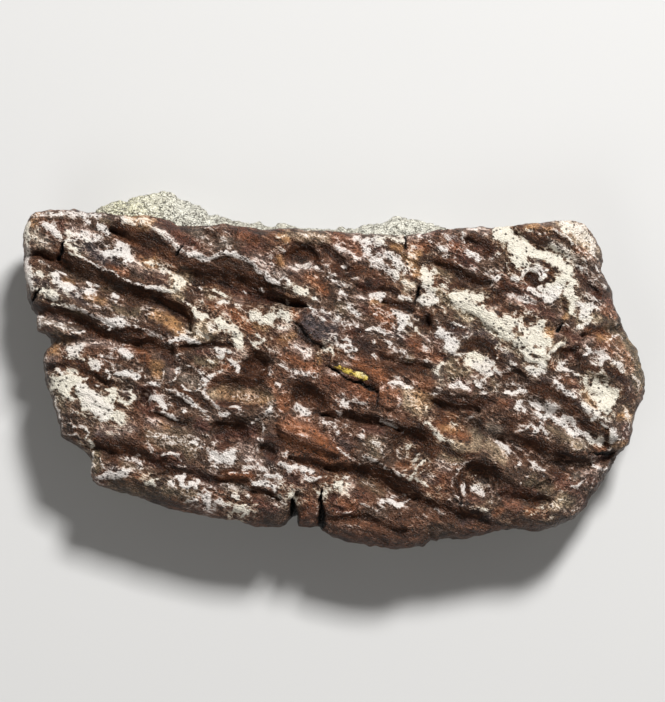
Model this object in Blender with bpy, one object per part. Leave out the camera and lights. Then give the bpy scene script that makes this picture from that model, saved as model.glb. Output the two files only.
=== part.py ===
"""Dermal scute of a metoposaur: a broken plate of ridged and pitted fossil bone on the pale
rock that it was found in. The ornamented face looks up (+Z), the long ridges run along X, and
the rock's flat underside rests on z = 0. Sizes below are in millimetres and become metres when
a vertex is placed."""

import bmesh
import bpy
import numpy as np
from mathutils import Vector, noise

MM = 0.001

# Driving dimensions
PLATE_LENGTH = 70.0
PLATE_WIDTH = 35.0
ROCK_TOP = 4.3
BED_GAP = 0.3
BONE_UNDERSIDE = ROCK_TOP + BED_GAP
RIM_HEIGHT = 10.4
CROWN_HEIGHT = 1.7

# Squares along and across the ornamented face, and the rock's upper side
FACE_ALONG = 80
FACE_ACROSS = 44
ROCK_ALONG = 56
ROCK_ACROSS = 10

# Rings of the walls, from the face down: share of the way to the underside, inset
BONE_WALL = ((0.35, -0.15), (0.70, 0.30), (1.00, 1.00))
ROCK_WALL = ((0.50, 0.10), (1.00, 0.90))
WALL_GRAIN = 0.25

# Half the length and width of the plate's middle, towards which its walls lean inwards
MIDDLE_X = 24.0
MIDDLE_Y = 8.0

# The plate's outline seen from above, as four edges of (x, y) that meet at the corners
NORTH_EDGE = (
    (-34.2, 17.2), (-33.5, 17.8), (-31.8, 18.0), (-29.5, 17.95), (-27.5, 17.7), (-26.0, 17.6),
    (-24.5, 17.35), (-22.0, 17.3), (-20.3, 17.2), (-18.7, 16.7), (-17.5, 16.2), (-15.0, 16.1),
    (-12.0, 16.2), (-10.0, 15.9), (-8.0, 15.6), (-5.0, 15.6), (-1.0, 15.4), (3.0, 15.1),
    (6.0, 15.0), (9.0, 15.0), (12.0, 15.5), (14.0, 15.75), (17.0, 15.9), (20.0, 16.0),
    (22.0, 16.4), (24.5, 16.5), (27.5, 16.75), (28.6, 16.2), (29.6, 15.0),
)
EAST_EDGE = (
    (29.6, 15.0), (30.2, 13.8), (30.5, 12.4), (30.3, 11.3), (30.7, 10.2), (31.4, 8.6),
    (31.9, 7.3), (32.3, 6.0), (32.9, 4.6), (33.7, 3.1), (34.3, 1.9), (34.8, 0.5), (35.0, -0.9),
    (34.9, -2.4), (34.4, -3.9), (33.9, -5.0), (33.7, -6.6), (33.3, -8.3), (32.2, -9.2),
    (31.4, -9.9), (31.1, -10.9), (30.4, -12.0), (29.7, -13.0), (28.9, -14.2), (28.0, -15.8),
)
SOUTH_EDGE = (
    (-27.1, -12.3), (-26.5, -12.9), (-25.0, -13.3), (-22.0, -14.3), (-18.0, -15.4),
    (-15.0, -16.1), (-12.0, -16.9), (-9.0, -17.3), (-7.0, -17.6), (-6.0, -17.7), (-5.2, -17.0),
    (-4.5, -16.2), (-4.0, -16.5), (-3.8, -17.5), (-1.7, -17.4), (-1.0, -18.2), (0.5, -18.9),
    (3.0, -19.5), (6.0, -20.0), (8.5, -20.1), (10.0, -19.8), (11.2, -19.0), (13.0, -18.95),
    (15.0, -18.8), (18.0, -18.2), (20.5, -17.9), (23.0, -17.9), (25.0, -17.4), (26.8, -16.6),
    (28.0, -15.8),
)
WEST_EDGE = (
    (-27.1, -12.3), (-26.9, -11.0), (-26.9, -9.7), (-27.6, -9.0), (-28.6, -8.5), (-29.5, -7.9),
    (-30.4, -7.4), (-30.6, -6.2), (-31.0, -4.7), (-31.5, -3.0), (-31.9, -1.4), (-32.3, 0.2),
    (-32.2, 1.4), (-31.7, 2.6), (-31.9, 3.5), (-33.1, 4.3), (-33.3, 6.0), (-33.9, 7.2),
    (-34.2, 8.8), (-34.6, 10.6), (-34.8, 12.2), (-34.6, 13.2), (-34.8, 14.2), (-35.0, 15.2),
    (-34.7, 16.3), (-34.2, 17.2),
)

# How far each edge of the face rounds over: (edge, reach inwards, drop)
ROUNDED_EDGES = (
    (NORTH_EDGE, 1.6, 1.0), (EAST_EDGE, 5.0, 3.0), (SOUTH_EDGE, 2.6, 1.6), (WEST_EDGE, 1.8, 1.0),
)

# Grooves between the ridges: depth, then the centre line as (x, y, half width)
GROOVES = (
    (1.3, ((-34.9, 13.0, 0.8), (-32.8, 13.2, 0.9), (-30.8, 12.4, 1.3), (-28.2, 11.0, 1.8),
           (-26.0, 10.2, 1.8), (-24.0, 9.2, 1.7), (-21.5, 8.3, 1.6), (-19.2, 7.9, 1.5),
           (-17.4, 7.1, 1.5), (-16.2, 5.6, 1.2), (-15.6, 4.6, 0.8))),
    (1.2, ((-33.9, 6.8, 0.9), (-32.0, 6.6, 1.2), (-30.0, 6.1, 1.6), (-28.0, 5.4, 1.6),
           (-26.0, 4.6, 1.5), (-24.0, 4.1, 1.3), (-22.0, 3.6, 1.3), (-20.3, 3.3, 1.2),
           (-18.5, 2.6, 1.2))),
    (0.9, ((-32.3, 3.5, 1.0), (-30.0, 3.2, 1.2), (-28.0, 3.2, 1.0), (-25.5, 3.3, 0.8),
           (-23.0, 2.8, 1.0), (-21.0, 2.2, 1.1))),
    (0.8, ((-16.4, 2.4, 0.8), (-14.6, 2.7, 1.0), (-12.6, 2.8, 1.0), (-10.8, 2.2, 0.9))),
    (1.3, ((-25.3, 15.6, 0.8), (-23.5, 15.2, 1.3), (-21.8, 14.4, 2.0), (-20.0, 13.6, 2.3),
           (-18.3, 12.4, 2.0), (-17.0, 11.4, 1.5))),
    (1.5, ((-16.0, 10.9, 1.6), (-14.5, 10.8, 2.3), (-12.0, 10.7, 2.8), (-9.8, 9.8, 2.5),
           (-7.6, 8.8, 2.0), (-5.6, 8.0, 1.5), (-3.6, 7.4, 1.1), (-2.8, 7.0, 0.7))),
    (0.8, ((-1.2, 13.8, 0.8), (0.0, 13.1, 1.1), (1.0, 12.2, 1.1), (1.9, 11.2, 1.0), (3.0, 10.6, 0.8))),
    (0.6, ((-6.6, 12.6, 0.7), (-6.0, 11.4, 1.0), (-5.6, 10.4, 0.7))),
    (0.7, ((-4.4, 5.6, 0.7), (-3.7, 4.3, 0.8), (-2.9, 3.2, 0.8), (-1.6, 2.4, 0.7), (-0.6, 2.2, 0.5))),
    (0.6, ((3.0, 9.2, 0.7), (4.6, 9.0, 1.0), (6.0, 8.9, 0.9), (7.4, 8.3, 0.7))),
    (0.7, ((5.4, 7.6, 0.6), (7.0, 7.1, 0.9), (8.9, 6.6, 0.8))),
    (0.7, ((14.8, 14.8, 0.9), (16.2, 14.3, 1.2), (17.4, 13.4, 1.2), (18.3, 12.6, 0.8))),
    (0.9, ((11.8, 12.2, 0.8), (13.2, 11.6, 1.1), (14.6, 10.7, 1.2), (15.6, 9.9, 1.2), (17.2, 9.8, 0.9))),
    (0.8, ((18.2, 7.2, 0.6), (18.9, 8.2, 1.0), (19.8, 8.8, 1.2), (21.4, 8.1, 0.9), (23.0, 7.3, 0.7))),
    (0.3, ((12.0, 7.8, 0.5), (13.6, 7.0, 0.6), (14.8, 6.0, 0.6), (16.4, 5.5, 0.6), (17.8, 4.6, 0.6),
           (19.2, 3.3, 0.6), (20.4, 1.8, 0.5))),
    (0.8, ((20.6, 15.9, 0.8), (22.0, 15.0, 1.1), (23.6, 14.0, 1.4), (25.4, 13.1, 1.5),
           (27.2, 12.3, 1.4), (28.6, 10.8, 1.3), (29.6, 9.2, 1.1), (30.6, 7.6, 0.8))),
    (1.3, ((22.4, -3.4, 1.2), (24.0, -4.2, 1.7), (26.0, -5.3, 1.9), (28.0, -6.5, 1.9),
           (29.6, -7.5, 1.6), (30.8, -8.1, 1.0))),
    (1.2, ((18.6, -7.6, 1.0), (20.4, -8.5, 1.6), (22.5, -9.5, 2.0), (24.6, -10.3, 2.0),
           (27.0, -10.7, 1.7), (29.2, -10.2, 1.2), (31.5, -9.5, 0.8))),
    (0.8, ((18.2, -13.9, 0.8), (20.0, -14.2, 1.0), (22.0, -14.5, 1.1), (24.0, -14.6, 0.8))),
    (0.5, ((22.6, -13.8, 0.6), (24.4, -12.6, 0.7), (26.4, -12.0, 0.8), (28.2, -11.6, 0.6))),
    (1.0, ((-0.8, -5.2, 0.8), (1.0, -5.3, 1.1), (3.0, -5.5, 1.2), (5.0, -5.9, 1.1), (6.6, -6.6, 0.9))),
    (1.2, ((-5.5, -9.4, 0.8), (-3.0, -10.2, 1.1), (-1.0, -10.8, 1.3), (1.2, -11.2, 1.6),
           (3.4, -11.6, 1.7), (5.2, -12.4, 1.7), (7.0, -13.3, 1.7), (8.8, -14.0, 1.6),
           (10.6, -14.9, 1.4), (12.4, -15.8, 1.3), (14.6, -16.8, 1.2), (17.4, -16.9, 0.9))),
    (1.0, ((-26.8, -8.7, 0.9), (-25.0, -9.2, 1.4), (-23.0, -9.6, 1.7), (-21.0, -10.3, 1.6),
           (-19.2, -10.9, 1.2))),
    (0.7, ((-20.0, -11.8, 0.6), (-17.5, -11.7, 0.8), (-15.0, -12.0, 0.9), (-12.6, -12.7, 0.9),
           (-10.4, -13.2, 0.9), (-8.2, -13.8, 0.8), (-6.0, -14.6, 0.6))),
    (0.7, ((-32.3, 0.5, 0.7), (-30.0, 0.3, 0.8), (-28.4, -0.1, 1.0), (-26.8, -1.0, 1.3),
           (-25.0, -1.9, 1.2), (-23.4, -2.2, 0.8))),
    (0.8, ((28.2, 3.9, 0.7), (30.0, 4.4, 1.2), (32.0, 5.0, 1.3), (33.4, 5.2, 0.8))),
    (0.6, ((0.0, -16.9, 0.6), (3.0, -16.8, 0.9), (6.0, -17.4, 0.9), (8.0, -18.3, 0.7))),
    (0.6, ((-19.6, -4.9, 0.5), (-18.0, -5.7, 0.7), (-16.4, -6.1, 0.8), (-15.0, -6.9, 0.8))),
    (0.8, ((10.6, -3.4, 0.8), (12.4, -3.8, 1.0), (14.4, -4.3, 1.0), (16.5, -4.2, 1.0), (19.5, -3.9, 0.7))),
    (0.7, ((5.8, 0.9, 0.8), (8.0, 0.7, 1.1), (9.8, 0.3, 0.9), (11.0, -0.3, 0.6))),
    (1.8, ((-4.6, -18.0, 0.8), (-4.4, -16.5, 0.8), (-4.3, -15.2, 0.6), (-4.0, -14.3, 0.5))),
    (1.0, ((-1.1, -18.3, 0.6), (-1.2, -16.6, 0.6), (-1.0, -15.2, 0.5), (-0.6, -14.2, 0.4))),
)

# Pits of the ornament: (x, y, radius along, radius across, turn in degrees, depth)
PITS = (
    (16.0, 1.5, 2.4, 2.1, -10, 1.1), (20.4, -1.9, 2.5, 2.2, -15, 0.9),
    (30.4, -2.6, 2.8, 2.5, -20, 1.2), (22.5, 10.0, 1.2, 1.1, 0, 0.6),
    (8.6, -8.9, 2.9, 2.8, 0, 1.5), (16.4, -12.9, 3.1, 2.7, -10, 1.6),
    (14.0, -6.0, 3.2, 1.8, -25, 0.8), (-2.9, -3.9, 2.5, 2.3, 0, 1.4),
    (-8.5, 0.4, 2.1, 1.8, 10, 1.3), (-10.4, -3.1, 4.0, 2.1, -12, 1.0),
    (-11.4, -7.4, 2.9, 2.0, -8, 1.1), (-21.2, -3.6, 1.6, 1.7, 0, 1.0),
    (-17.4, -4.2, 2.4, 1.5, -25, 0.6), (-16.4, -1.2, 2.0, 1.7, 0, 0.5),
    (-18.8, 1.7, 1.9, 1.2, -35, 0.8), (26.4, 0.6, 2.0, 1.8, 0, 0.9),
    (-3.4, 12.3, 2.4, 2.1, 8, 1.2), (-14.0, 14.7, 1.5, 1.4, 0, 0.5),
    (-7.0, -9.8, 1.8, 1.3, 0, 0.8), (29.8, 0.9, 1.5, 1.4, 0, 0.5),
    (3.8, 2.8, 1.6, 1.3, -20, 0.7), (10.6, 5.2, 0.9, 0.9, 0, 0.7),
)

# Ridge crests that stand above the face: height, then the line as (x, y, half width)
CRESTS = (
    (0.45, ((-30.2, 13.6, 0.7), (-28.5, 12.4, 0.8), (-25.4, 11.1, 0.8), (-22.4, 9.6, 0.8),
            (-20.0, 9.0, 0.8), (-17.8, 9.1, 0.8))),
    (0.40, ((-31.6, 8.4, 0.8), (-29.8, 7.6, 0.8), (-26.4, 5.8, 0.7), (-22.6, 5.1, 0.8), (-19.0, 3.9, 0.7))),
    (0.30, ((-33.2, 5.0, 0.9), (-31.0, 4.6, 0.9), (-29.0, 4.0, 0.8), (-27.4, 3.9, 0.6))),
    (0.45, ((-16.0, 12.8, 0.8), (-12.6, 13.0, 0.9), (-11.0, 13.3, 0.8), (-9.6, 12.5, 0.8),
            (-8.0, 11.1, 0.8), (-6.4, 9.9, 0.8), (-4.2, 8.9, 0.9))),
    (0.60, ((-17.6, 9.9, 0.9), (-17.1, 8.9, 0.9))),
    (0.35, ((-24.0, 16.7, 0.9), (-21.0, 16.3, 0.9), (-19.2, 15.2, 0.9), (-16.6, 13.3, 0.8))),
    (0.45, ((2.4, -9.6, 0.8), (4.4, -10.2, 0.8), (6.0, -11.1, 0.8), (9.4, -12.2, 0.9), (10.8, -11.4, 0.8))),
    (0.40, ((13.2, -12.4, 0.8), (13.6, -14.4, 0.8), (15.2, -15.9, 0.8), (17.6, -15.8, 0.8))),
    (0.80, ((-5.8, -7.2, 0.9), (-3.8, -7.4, 1.2), (-1.6, -8.2, 1.2), (0.2, -9.4, 0.8))),
    (0.45, ((-12.6, -12.1, 0.6), (-11.0, -12.3, 0.8), (-9.4, -12.4, 0.6))),
    (0.35, ((23.6, -1.2, 0.9), (25.6, -2.6, 0.9), (27.4, -4.0, 0.9), (29.2, -5.4, 0.9), (31.0, -6.6, 0.9))),
    (0.35, ((22.4, -5.8, 0.8), (24.4, -7.2, 1.0), (26.4, -8.3, 1.0), (28.4, -9.0, 0.8))),
    (0.35, ((9.4, 10.0, 1.2), (13.4, 8.3, 1.5), (17.6, 6.1, 1.4), (21.6, 3.0, 1.5), (23.0, 1.4, 1.2))),
    (0.40, ((24.2, 0.8, 0.6), (25.0, 2.0, 0.6), (25.7, 2.9, 0.6))),
    (0.45, ((-14.2, -3.8, 0.7), (-12.4, -4.9, 0.7), (-10.0, -5.5, 0.7), (-8.0, -5.6, 0.7), (-6.7, -4.2, 0.7))),
    (0.35, ((10.8, -6.6, 1.2), (12.6, -8.2, 1.4), (17.4, -9.8, 1.5), (20.6, -12.8, 1.2))),
    (0.40, ((11.0, -2.3, 0.8), (13.0, -2.6, 0.8), (15.0, -3.1, 0.8), (17.0, -3.0, 0.8))),
)

# The rock that shows past the bone's north edge: (x, reach beyond the edge)
ROCK_REACH = (
    (-36.0, -1.2), (-27.4, -1.2), (-26.4, 0.5), (-25.4, 1.1), (-24.4, 1.9), (-23.4, 1.8),
    (-21.6, 2.5), (-19.3, 3.2), (-17.4, 3.2), (-16.2, 2.8), (-14.8, 2.2), (-14.0, 1.4),
    (-12.2, 1.05), (-9.0, 0.95), (-3.0, 0.95), (0.0, 1.0), (2.5, 1.15), (4.0, 1.5), (6.5, 2.0),
    (7.3, 2.35), (8.5, 2.1), (10.0, 2.0), (11.5, 1.4), (13.0, 0.9), (13.8, 0.5), (14.9, -1.2),
    (36.0, -1.2),
)
ROCK_LIP_HEIGHT = 8.7

# The lip rises from the bed to its full height as that reach grows from the first value to the second
LIP_STARTS = 0.55
LIP_FULL = 1.0

# The crack between the bone's north wall and the lip, and how far the rock stays inside the other edges
CRACK_GAP = 0.45
ROCK_INSET = 1.5


def resampled(edge, share):
    """Points at the given shares of an edge's length."""
    line = np.array(edge, float)
    run = np.concatenate([[0.0], np.cumsum(np.linalg.norm(np.diff(line, axis=0), axis=1))])
    return np.stack([np.interp(share * run[-1], run, line[:, k]) for k in (0, 1)], axis=-1)


def plate_point(u, v):
    """The plan point at share u along and share v across the plate: a Coons patch, which adds the
    blend of the north and south edges to that of the west and east ones and takes the corners' own off."""
    u, v = (np.clip(np.asarray(a, float), 0.0, 1.0) for a in (u, v))
    south, north = resampled(SOUTH_EDGE, u), resampled(NORTH_EDGE, u)
    west, east = resampled(WEST_EDGE, v), resampled(EAST_EDGE, 1.0 - v)
    u, v = u[..., None], v[..., None]
    corners = (1 - v) * ((1 - u) * np.array(SOUTH_EDGE[0]) + u * np.array(SOUTH_EDGE[-1]))
    corners = corners + v * ((1 - u) * np.array(NORTH_EDGE[0]) + u * np.array(NORTH_EDGE[-1]))
    return (1 - v) * south + v * north + (1 - u) * west + u * east - corners


def inwards(x, y):
    """Unit vector from a point of the outline towards the middle of the plate."""
    way = np.array((np.clip(x, -MIDDLE_X, MIDDLE_X) - x, np.clip(y, -MIDDLE_Y, MIDDLE_Y) - y))
    return way / np.linalg.norm(way)


def distance_to_line(points, line):
    """Each point's distance to a polyline of (x, y, half width), and the half width where it is nearest."""
    line = np.array(line, float)
    nearest = np.full(len(points), np.inf)
    width = np.zeros(len(points))
    for start, end in zip(line[:-1], line[1:]):
        run = end[:2] - start[:2]
        t = np.clip((points - start[:2]) @ run / (run @ run), 0.0, 1.0)
        gap = np.linalg.norm(points - start[:2] - t[:, None] * run, axis=1)
        closer = gap < nearest
        nearest = np.where(closer, gap, nearest)
        width = np.where(closer, start[2] + t * (end[2] - start[2]), width)
    return nearest, width


def swell(share):
    """1 at the middle of a form and 0 at its border, by half a cosine wave."""
    return 0.5 + 0.5 * np.cos(np.pi * np.clip(share, 0.0, 1.0))


def hollows(points):
    """Depth of the grooves and pits. Where they meet, the fourth-power mean keeps the deeper."""
    total = np.zeros(len(points))
    for depth, line in GROOVES:
        gap, width = distance_to_line(points, line)
        total += (depth * swell(gap / width)) ** 4
    for x, y, along, across, turn, depth in PITS:
        c, s = np.cos(np.radians(turn)), np.sin(np.radians(turn))
        away = points - (x, y)
        share = np.hypot((away @ (c, s)) / along, (away @ (-s, c)) / across)
        total += (depth * swell(1.25 * share - 0.25)) ** 4
    return total**0.25


def crests(points):
    """Height of the ridge crests, the tallest where they meet."""
    total = np.zeros(len(points))
    for height, line in CRESTS:
        gap, width = distance_to_line(points, line)
        total = np.maximum(total, height * swell(gap / width))
    return total


def rounding(points):
    """How far the face drops towards its edges: the drop times (1 - distance / reach) squared."""
    total = np.zeros(len(points))
    for edge, reach, drop in ROUNDED_EDGES:
        gap, _ = distance_to_line(points, [(x, y, reach) for x, y in edge])
        total = np.maximum(total, drop * np.clip(1 - gap / reach, 0.0, 1.0) ** 2)
    return total


def grain(x, y, z, size, height):
    """Roughness of a broken surface: fractal noise of that size and height."""
    return height * noise.fractal(Vector((x, y, z)) / size, 0.8, 2.0, 3)


def face_height(points):
    """Height of the ornamented face: a low crown, the ridge crests, the hollows and the rounded edges."""
    across = (points[:, 0] / (0.5 * PLATE_LENGTH)) ** 2 + (points[:, 1] / (0.6 * PLATE_WIDTH)) ** 2
    crown = CROWN_HEIGHT * (1 - 0.7 * across)
    rough = np.array([grain(x, y, 0.0, 2.2, 0.10) for x, y in points])
    return RIM_HEIGHT + crown + crests(points) - hollows(points) - rounding(points) + rough


def extruded_ring(bm, ring):
    """Extrudes a closed ring of edges. Returns the new ring's edges and vertices."""
    made = bmesh.ops.extrude_edge_only(bm, edges=ring)["geom"]
    verts = {v for v in made if isinstance(v, bmesh.types.BMVert)}
    edges = [e for e in made if isinstance(e, bmesh.types.BMEdge) and set(e.verts) <= verts]
    return edges, verts


def object_of(bm, name, material):
    """The finished mesh as an object, smooth except where faces meet sharply."""
    bmesh.ops.recalc_face_normals(bm, faces=bm.faces)
    mesh = bpy.data.meshes.new(name)
    bm.to_mesh(mesh)
    bm.free()
    mesh.shade_smooth()
    mesh.set_sharp_from_angle(angle=np.radians(50))
    mesh.materials.append(material)
    obj = bpy.data.objects.new(name, mesh)
    bpy.context.scene.collection.objects.link(obj)
    return obj


def make_material(name, colour, roughness):
    material = bpy.data.materials.new(name)
    material.use_nodes = True
    shader = material.node_tree.nodes["Principled BSDF"]
    shader.inputs["Base Color"].default_value = (*colour, 1.0)
    shader.inputs["Roughness"].default_value = roughness
    shader.inputs["Metallic"].default_value = 0.0
    return material


def make_slab(name, material, squares, face_at, wall_rings, foot):
    """A closed slab: a face of squares whose points face_at places, a wall below its border in rings
    of (share of the way down, inset), and a flat underside at the foot's height."""
    bm = bmesh.new()
    at_u = bm.verts.layers.float.new("share_along")
    at_v = bm.verts.layers.float.new("share_across")
    bmesh.ops.create_grid(bm, x_segments=squares[0], y_segments=squares[1], size=1.0)
    face = list(bm.verts)
    for v in face:
        v[at_u], v[at_v] = 0.5 + 0.5 * v.co.x, 0.5 + 0.5 * v.co.y
    points = face_at(np.array([v[at_u] for v in face]), np.array([v[at_v] for v in face]))
    for v, point in zip(face, points):
        v.co = Vector(point) * MM

    ring = [e for e in bm.edges if e.is_boundary]
    rim = {(v[at_u], v[at_v]): np.array(v.co) / MM for e in ring for v in e.verts}
    for down, inset in wall_rings:
        ring, verts = extruded_ring(bm, ring)
        for v in verts:
            x, y, top = rim[v[at_u], v[at_v]]
            height = top + down * (foot - top)
            rough = 0.0 if down == 1.0 else grain(x, y, height, 1.6, WALL_GRAIN)
            v.co = Vector((*((x, y) + inwards(x, y) * (inset + rough)), height)) * MM
    bmesh.ops.contextual_create(bm, geom=ring)
    return object_of(bm, name, material)


def bone_face(u, v):
    """The ornamented face: the plate's plan, raised to the height of its relief."""
    plan = plate_point(u, v)
    return np.column_stack([plan, face_height(plan)])


def rock_face(u, v):
    """The rock's upper side. Most of its rows lie flat under the bone. The last ones rise beside the
    bone's north wall as a lip, as far as the rock reaches past it, and start down its outer side."""
    u_in, v_in = ROCK_INSET / PLATE_LENGTH, ROCK_INSET / PLATE_WIDTH
    u = u_in + u * (1 - 2 * u_in)
    row = np.rint(v * ROCK_ACROSS).astype(int) - (ROCK_ACROSS - 3)
    bed = plate_point(u, np.where(row < 0, v_in + (1 - v_in) * v / (1 - 3 / ROCK_ACROSS), 1.0))
    x = bed[:, 0]
    reach = np.interp(x, *np.transpose(ROCK_REACH))
    lift = np.clip((reach - LIP_STARTS) / (LIP_FULL - LIP_STARTS), 0.0, 1.0)
    lip = ROCK_TOP - 0.1 + lift * (ROCK_LIP_HEIGHT - ROCK_TOP)
    beside = np.where(reach > 0, CRACK_GAP, reach - 0.4)
    past = np.choose(row.clip(0, 3), [beside, beside, np.maximum(reach - 0.25, beside + 0.15),
                                      np.maximum(reach, beside + 0.25)])
    height = np.choose(row.clip(0, 3), [ROCK_TOP, lip, lip - 0.25, 0.55 * lip])
    return np.column_stack([x, bed[:, 1] + np.where(row < 0, 0.0, past), height])


def make_bone_plate():
    material = make_material("fossil_bone", (0.15, 0.09, 0.06), 0.5)
    squares = (FACE_ALONG, FACE_ACROSS)
    return make_slab("bone_plate", material, squares, bone_face, BONE_WALL, BONE_UNDERSIDE)


def make_rock_matrix():
    material = make_material("pale_rock", (0.55, 0.53, 0.46), 0.85)
    squares = (ROCK_ALONG, ROCK_ACROSS)
    return make_slab("rock_matrix", material, squares, rock_face, ROCK_WALL, 0.0)


def main():
    for obj in list(bpy.data.objects):
        bpy.data.objects.remove(obj)
    make_bone_plate()
    make_rock_matrix()


main()
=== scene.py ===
"""Looks of the metoposaur scute: the ornamented bone with its crusts and stains, the granular
rock behind it and the yellow mineral in its crack. Lengths in this file are millimetres."""

import math

import bpy
import numpy as np
from mathutils import Matrix

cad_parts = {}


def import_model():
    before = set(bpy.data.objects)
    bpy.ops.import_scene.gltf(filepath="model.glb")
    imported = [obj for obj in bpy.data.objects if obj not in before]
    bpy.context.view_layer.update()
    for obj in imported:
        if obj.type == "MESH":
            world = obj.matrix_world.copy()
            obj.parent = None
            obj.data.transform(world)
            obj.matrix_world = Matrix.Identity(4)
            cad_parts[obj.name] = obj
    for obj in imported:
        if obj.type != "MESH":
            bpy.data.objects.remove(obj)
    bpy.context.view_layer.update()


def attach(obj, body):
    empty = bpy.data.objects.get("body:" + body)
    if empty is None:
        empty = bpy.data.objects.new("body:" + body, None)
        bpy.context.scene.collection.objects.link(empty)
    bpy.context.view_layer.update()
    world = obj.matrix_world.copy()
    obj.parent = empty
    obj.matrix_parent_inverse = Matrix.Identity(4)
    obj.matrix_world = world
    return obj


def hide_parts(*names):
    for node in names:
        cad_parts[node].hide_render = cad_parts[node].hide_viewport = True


MM = 0.001

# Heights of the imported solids, which the fine surfaces keep to
PLATE_LENGTH = 70.0
PLATE_WIDTH = 35.0
BONE_UNDERSIDE = 4.6
RIM_HEIGHT = 10.4
CROWN_HEIGHT = 1.7
ROCK_LIP_HEIGHT = 8.7
ROCK_INSET = 1.5

# Squares along and across the bone's face, rings of its wall, and squares of its underside
FACE_SQUARES = (376, 208)
WALL_RINGS = 9
UNDER_SQUARES = (94, 52)

# Squares along and across the rock's upper side, rings of its wall, and squares of its underside
ROCK_SQUARES = (560, 72)
ROCK_RINGS = 8
ROCK_UNDER_SQUARES = (140, 18)

# Way to the key light in plan, as a unit vector, and how far a groove's floor lies from the middle
# of its dark side, as a share of its half width
LIGHT_WAY = (0.42, 0.91)
SHADE_SHIFT = 0.55

# The plate's outline seen from above, as four edges of (x, y) that meet at the corners
NORTH_EDGE = (
    (-34.2, 17.1), (-33.6, 17.7), (-31.8, 18.0), (-29.5, 17.95), (-27.5, 17.7), (-26.2, 17.7),
    (-24.5, 17.35), (-22.0, 17.3), (-20.3, 17.25), (-18.7, 16.7), (-17.5, 16.1), (-15.0, 16.05),
    (-12.0, 16.3), (-10.0, 15.9), (-8.0, 15.6), (-6.0, 15.7), (-3.0, 15.5), (0.0, 15.4), (3.0, 15.1),
    (6.0, 14.95), (9.0, 15.0), (10.5, 15.2), (12.0, 15.6), (13.5, 15.7), (15.0, 15.75), (17.0, 15.9),
    (20.0, 15.95), (22.0, 16.4), (24.0, 16.5), (26.0, 16.6), (27.5, 16.75), (28.6, 16.2), (29.6, 15.0),
)
EAST_EDGE = (
    (29.6, 15.0), (30.2, 13.8), (30.6, 12.4), (30.4, 11.2), (30.7, 10.3), (31.3, 8.8), (31.8, 7.5),
    (32.2, 6.2), (32.8, 4.8), (33.4, 3.5), (34.0, 2.5), (34.5, 1.5), (34.9, 0.3), (35.1, -0.9),
    (35.0, -2.2), (34.6, -3.8), (34.0, -4.8), (33.8, -6.0), (33.6, -7.2), (33.3, -8.3), (32.3, -9.2),
    (31.4, -10.0), (31.1, -10.9), (30.5, -11.9), (29.8, -12.9), (29.0, -14.0), (28.2, -15.3),
    (27.9, -15.8),
)
SOUTH_EDGE = (
    (-27.1, -12.2), (-26.7, -12.7), (-25.5, -13.1), (-24.0, -13.6), (-22.0, -14.3), (-20.0, -14.9),
    (-18.0, -15.4), (-16.0, -15.8), (-14.0, -16.4), (-12.0, -16.9), (-9.5, -17.2), (-7.5, -17.5),
    (-6.0, -17.7), (-5.4, -17.2), (-4.6, -16.4), (-4.0, -16.2), (-3.9, -17.5), (-3.5, -17.6),
    (-1.6, -17.4), (-1.0, -18.2), (0.0, -18.8), (2.0, -19.3), (4.0, -19.7), (6.5, -20.0), (8.5, -20.1),
    (10.0, -19.8), (10.9, -18.9), (11.7, -19.3), (12.1, -18.9), (13.0, -18.95), (15.0, -18.85),
    (16.5, -18.5), (18.5, -18.1), (20.0, -17.9), (22.5, -17.9), (24.5, -17.6), (26.0, -17.0),
    (27.2, -16.4), (27.9, -15.8),
)
WEST_EDGE = (
    (-27.1, -12.2), (-26.9, -11.0), (-26.8, -10.0), (-27.0, -9.4), (-27.5, -9.0), (-28.4, -8.6),
    (-29.3, -8.0), (-30.3, -7.5), (-30.5, -6.4), (-30.8, -5.2), (-31.3, -4.0), (-31.6, -2.5),
    (-31.9, -1.4), (-32.3, 0.0), (-32.3, 0.9), (-32.0, 2.0), (-31.5, 2.8), (-31.6, 3.4), (-32.2, 4.1),
    (-33.2, 4.35), (-33.3, 5.5), (-33.3, 6.2), (-33.8, 7.0), (-34.0, 7.8), (-34.3, 9.0), (-34.6, 10.5),
    (-34.8, 12.0), (-34.7, 13.2), (-34.8, 14.3), (-34.9, 15.2), (-34.6, 16.1), (-34.2, 17.1),
)

# How far each edge of the face rounds over: (edge, reach inwards, drop)
ROUNDED_EDGES = (
    (NORTH_EDGE, 1.1, 0.8), (EAST_EDGE, 4.6, 2.8), (SOUTH_EDGE, 2.2, 1.4), (WEST_EDGE, 1.3, 0.9),
)

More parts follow.
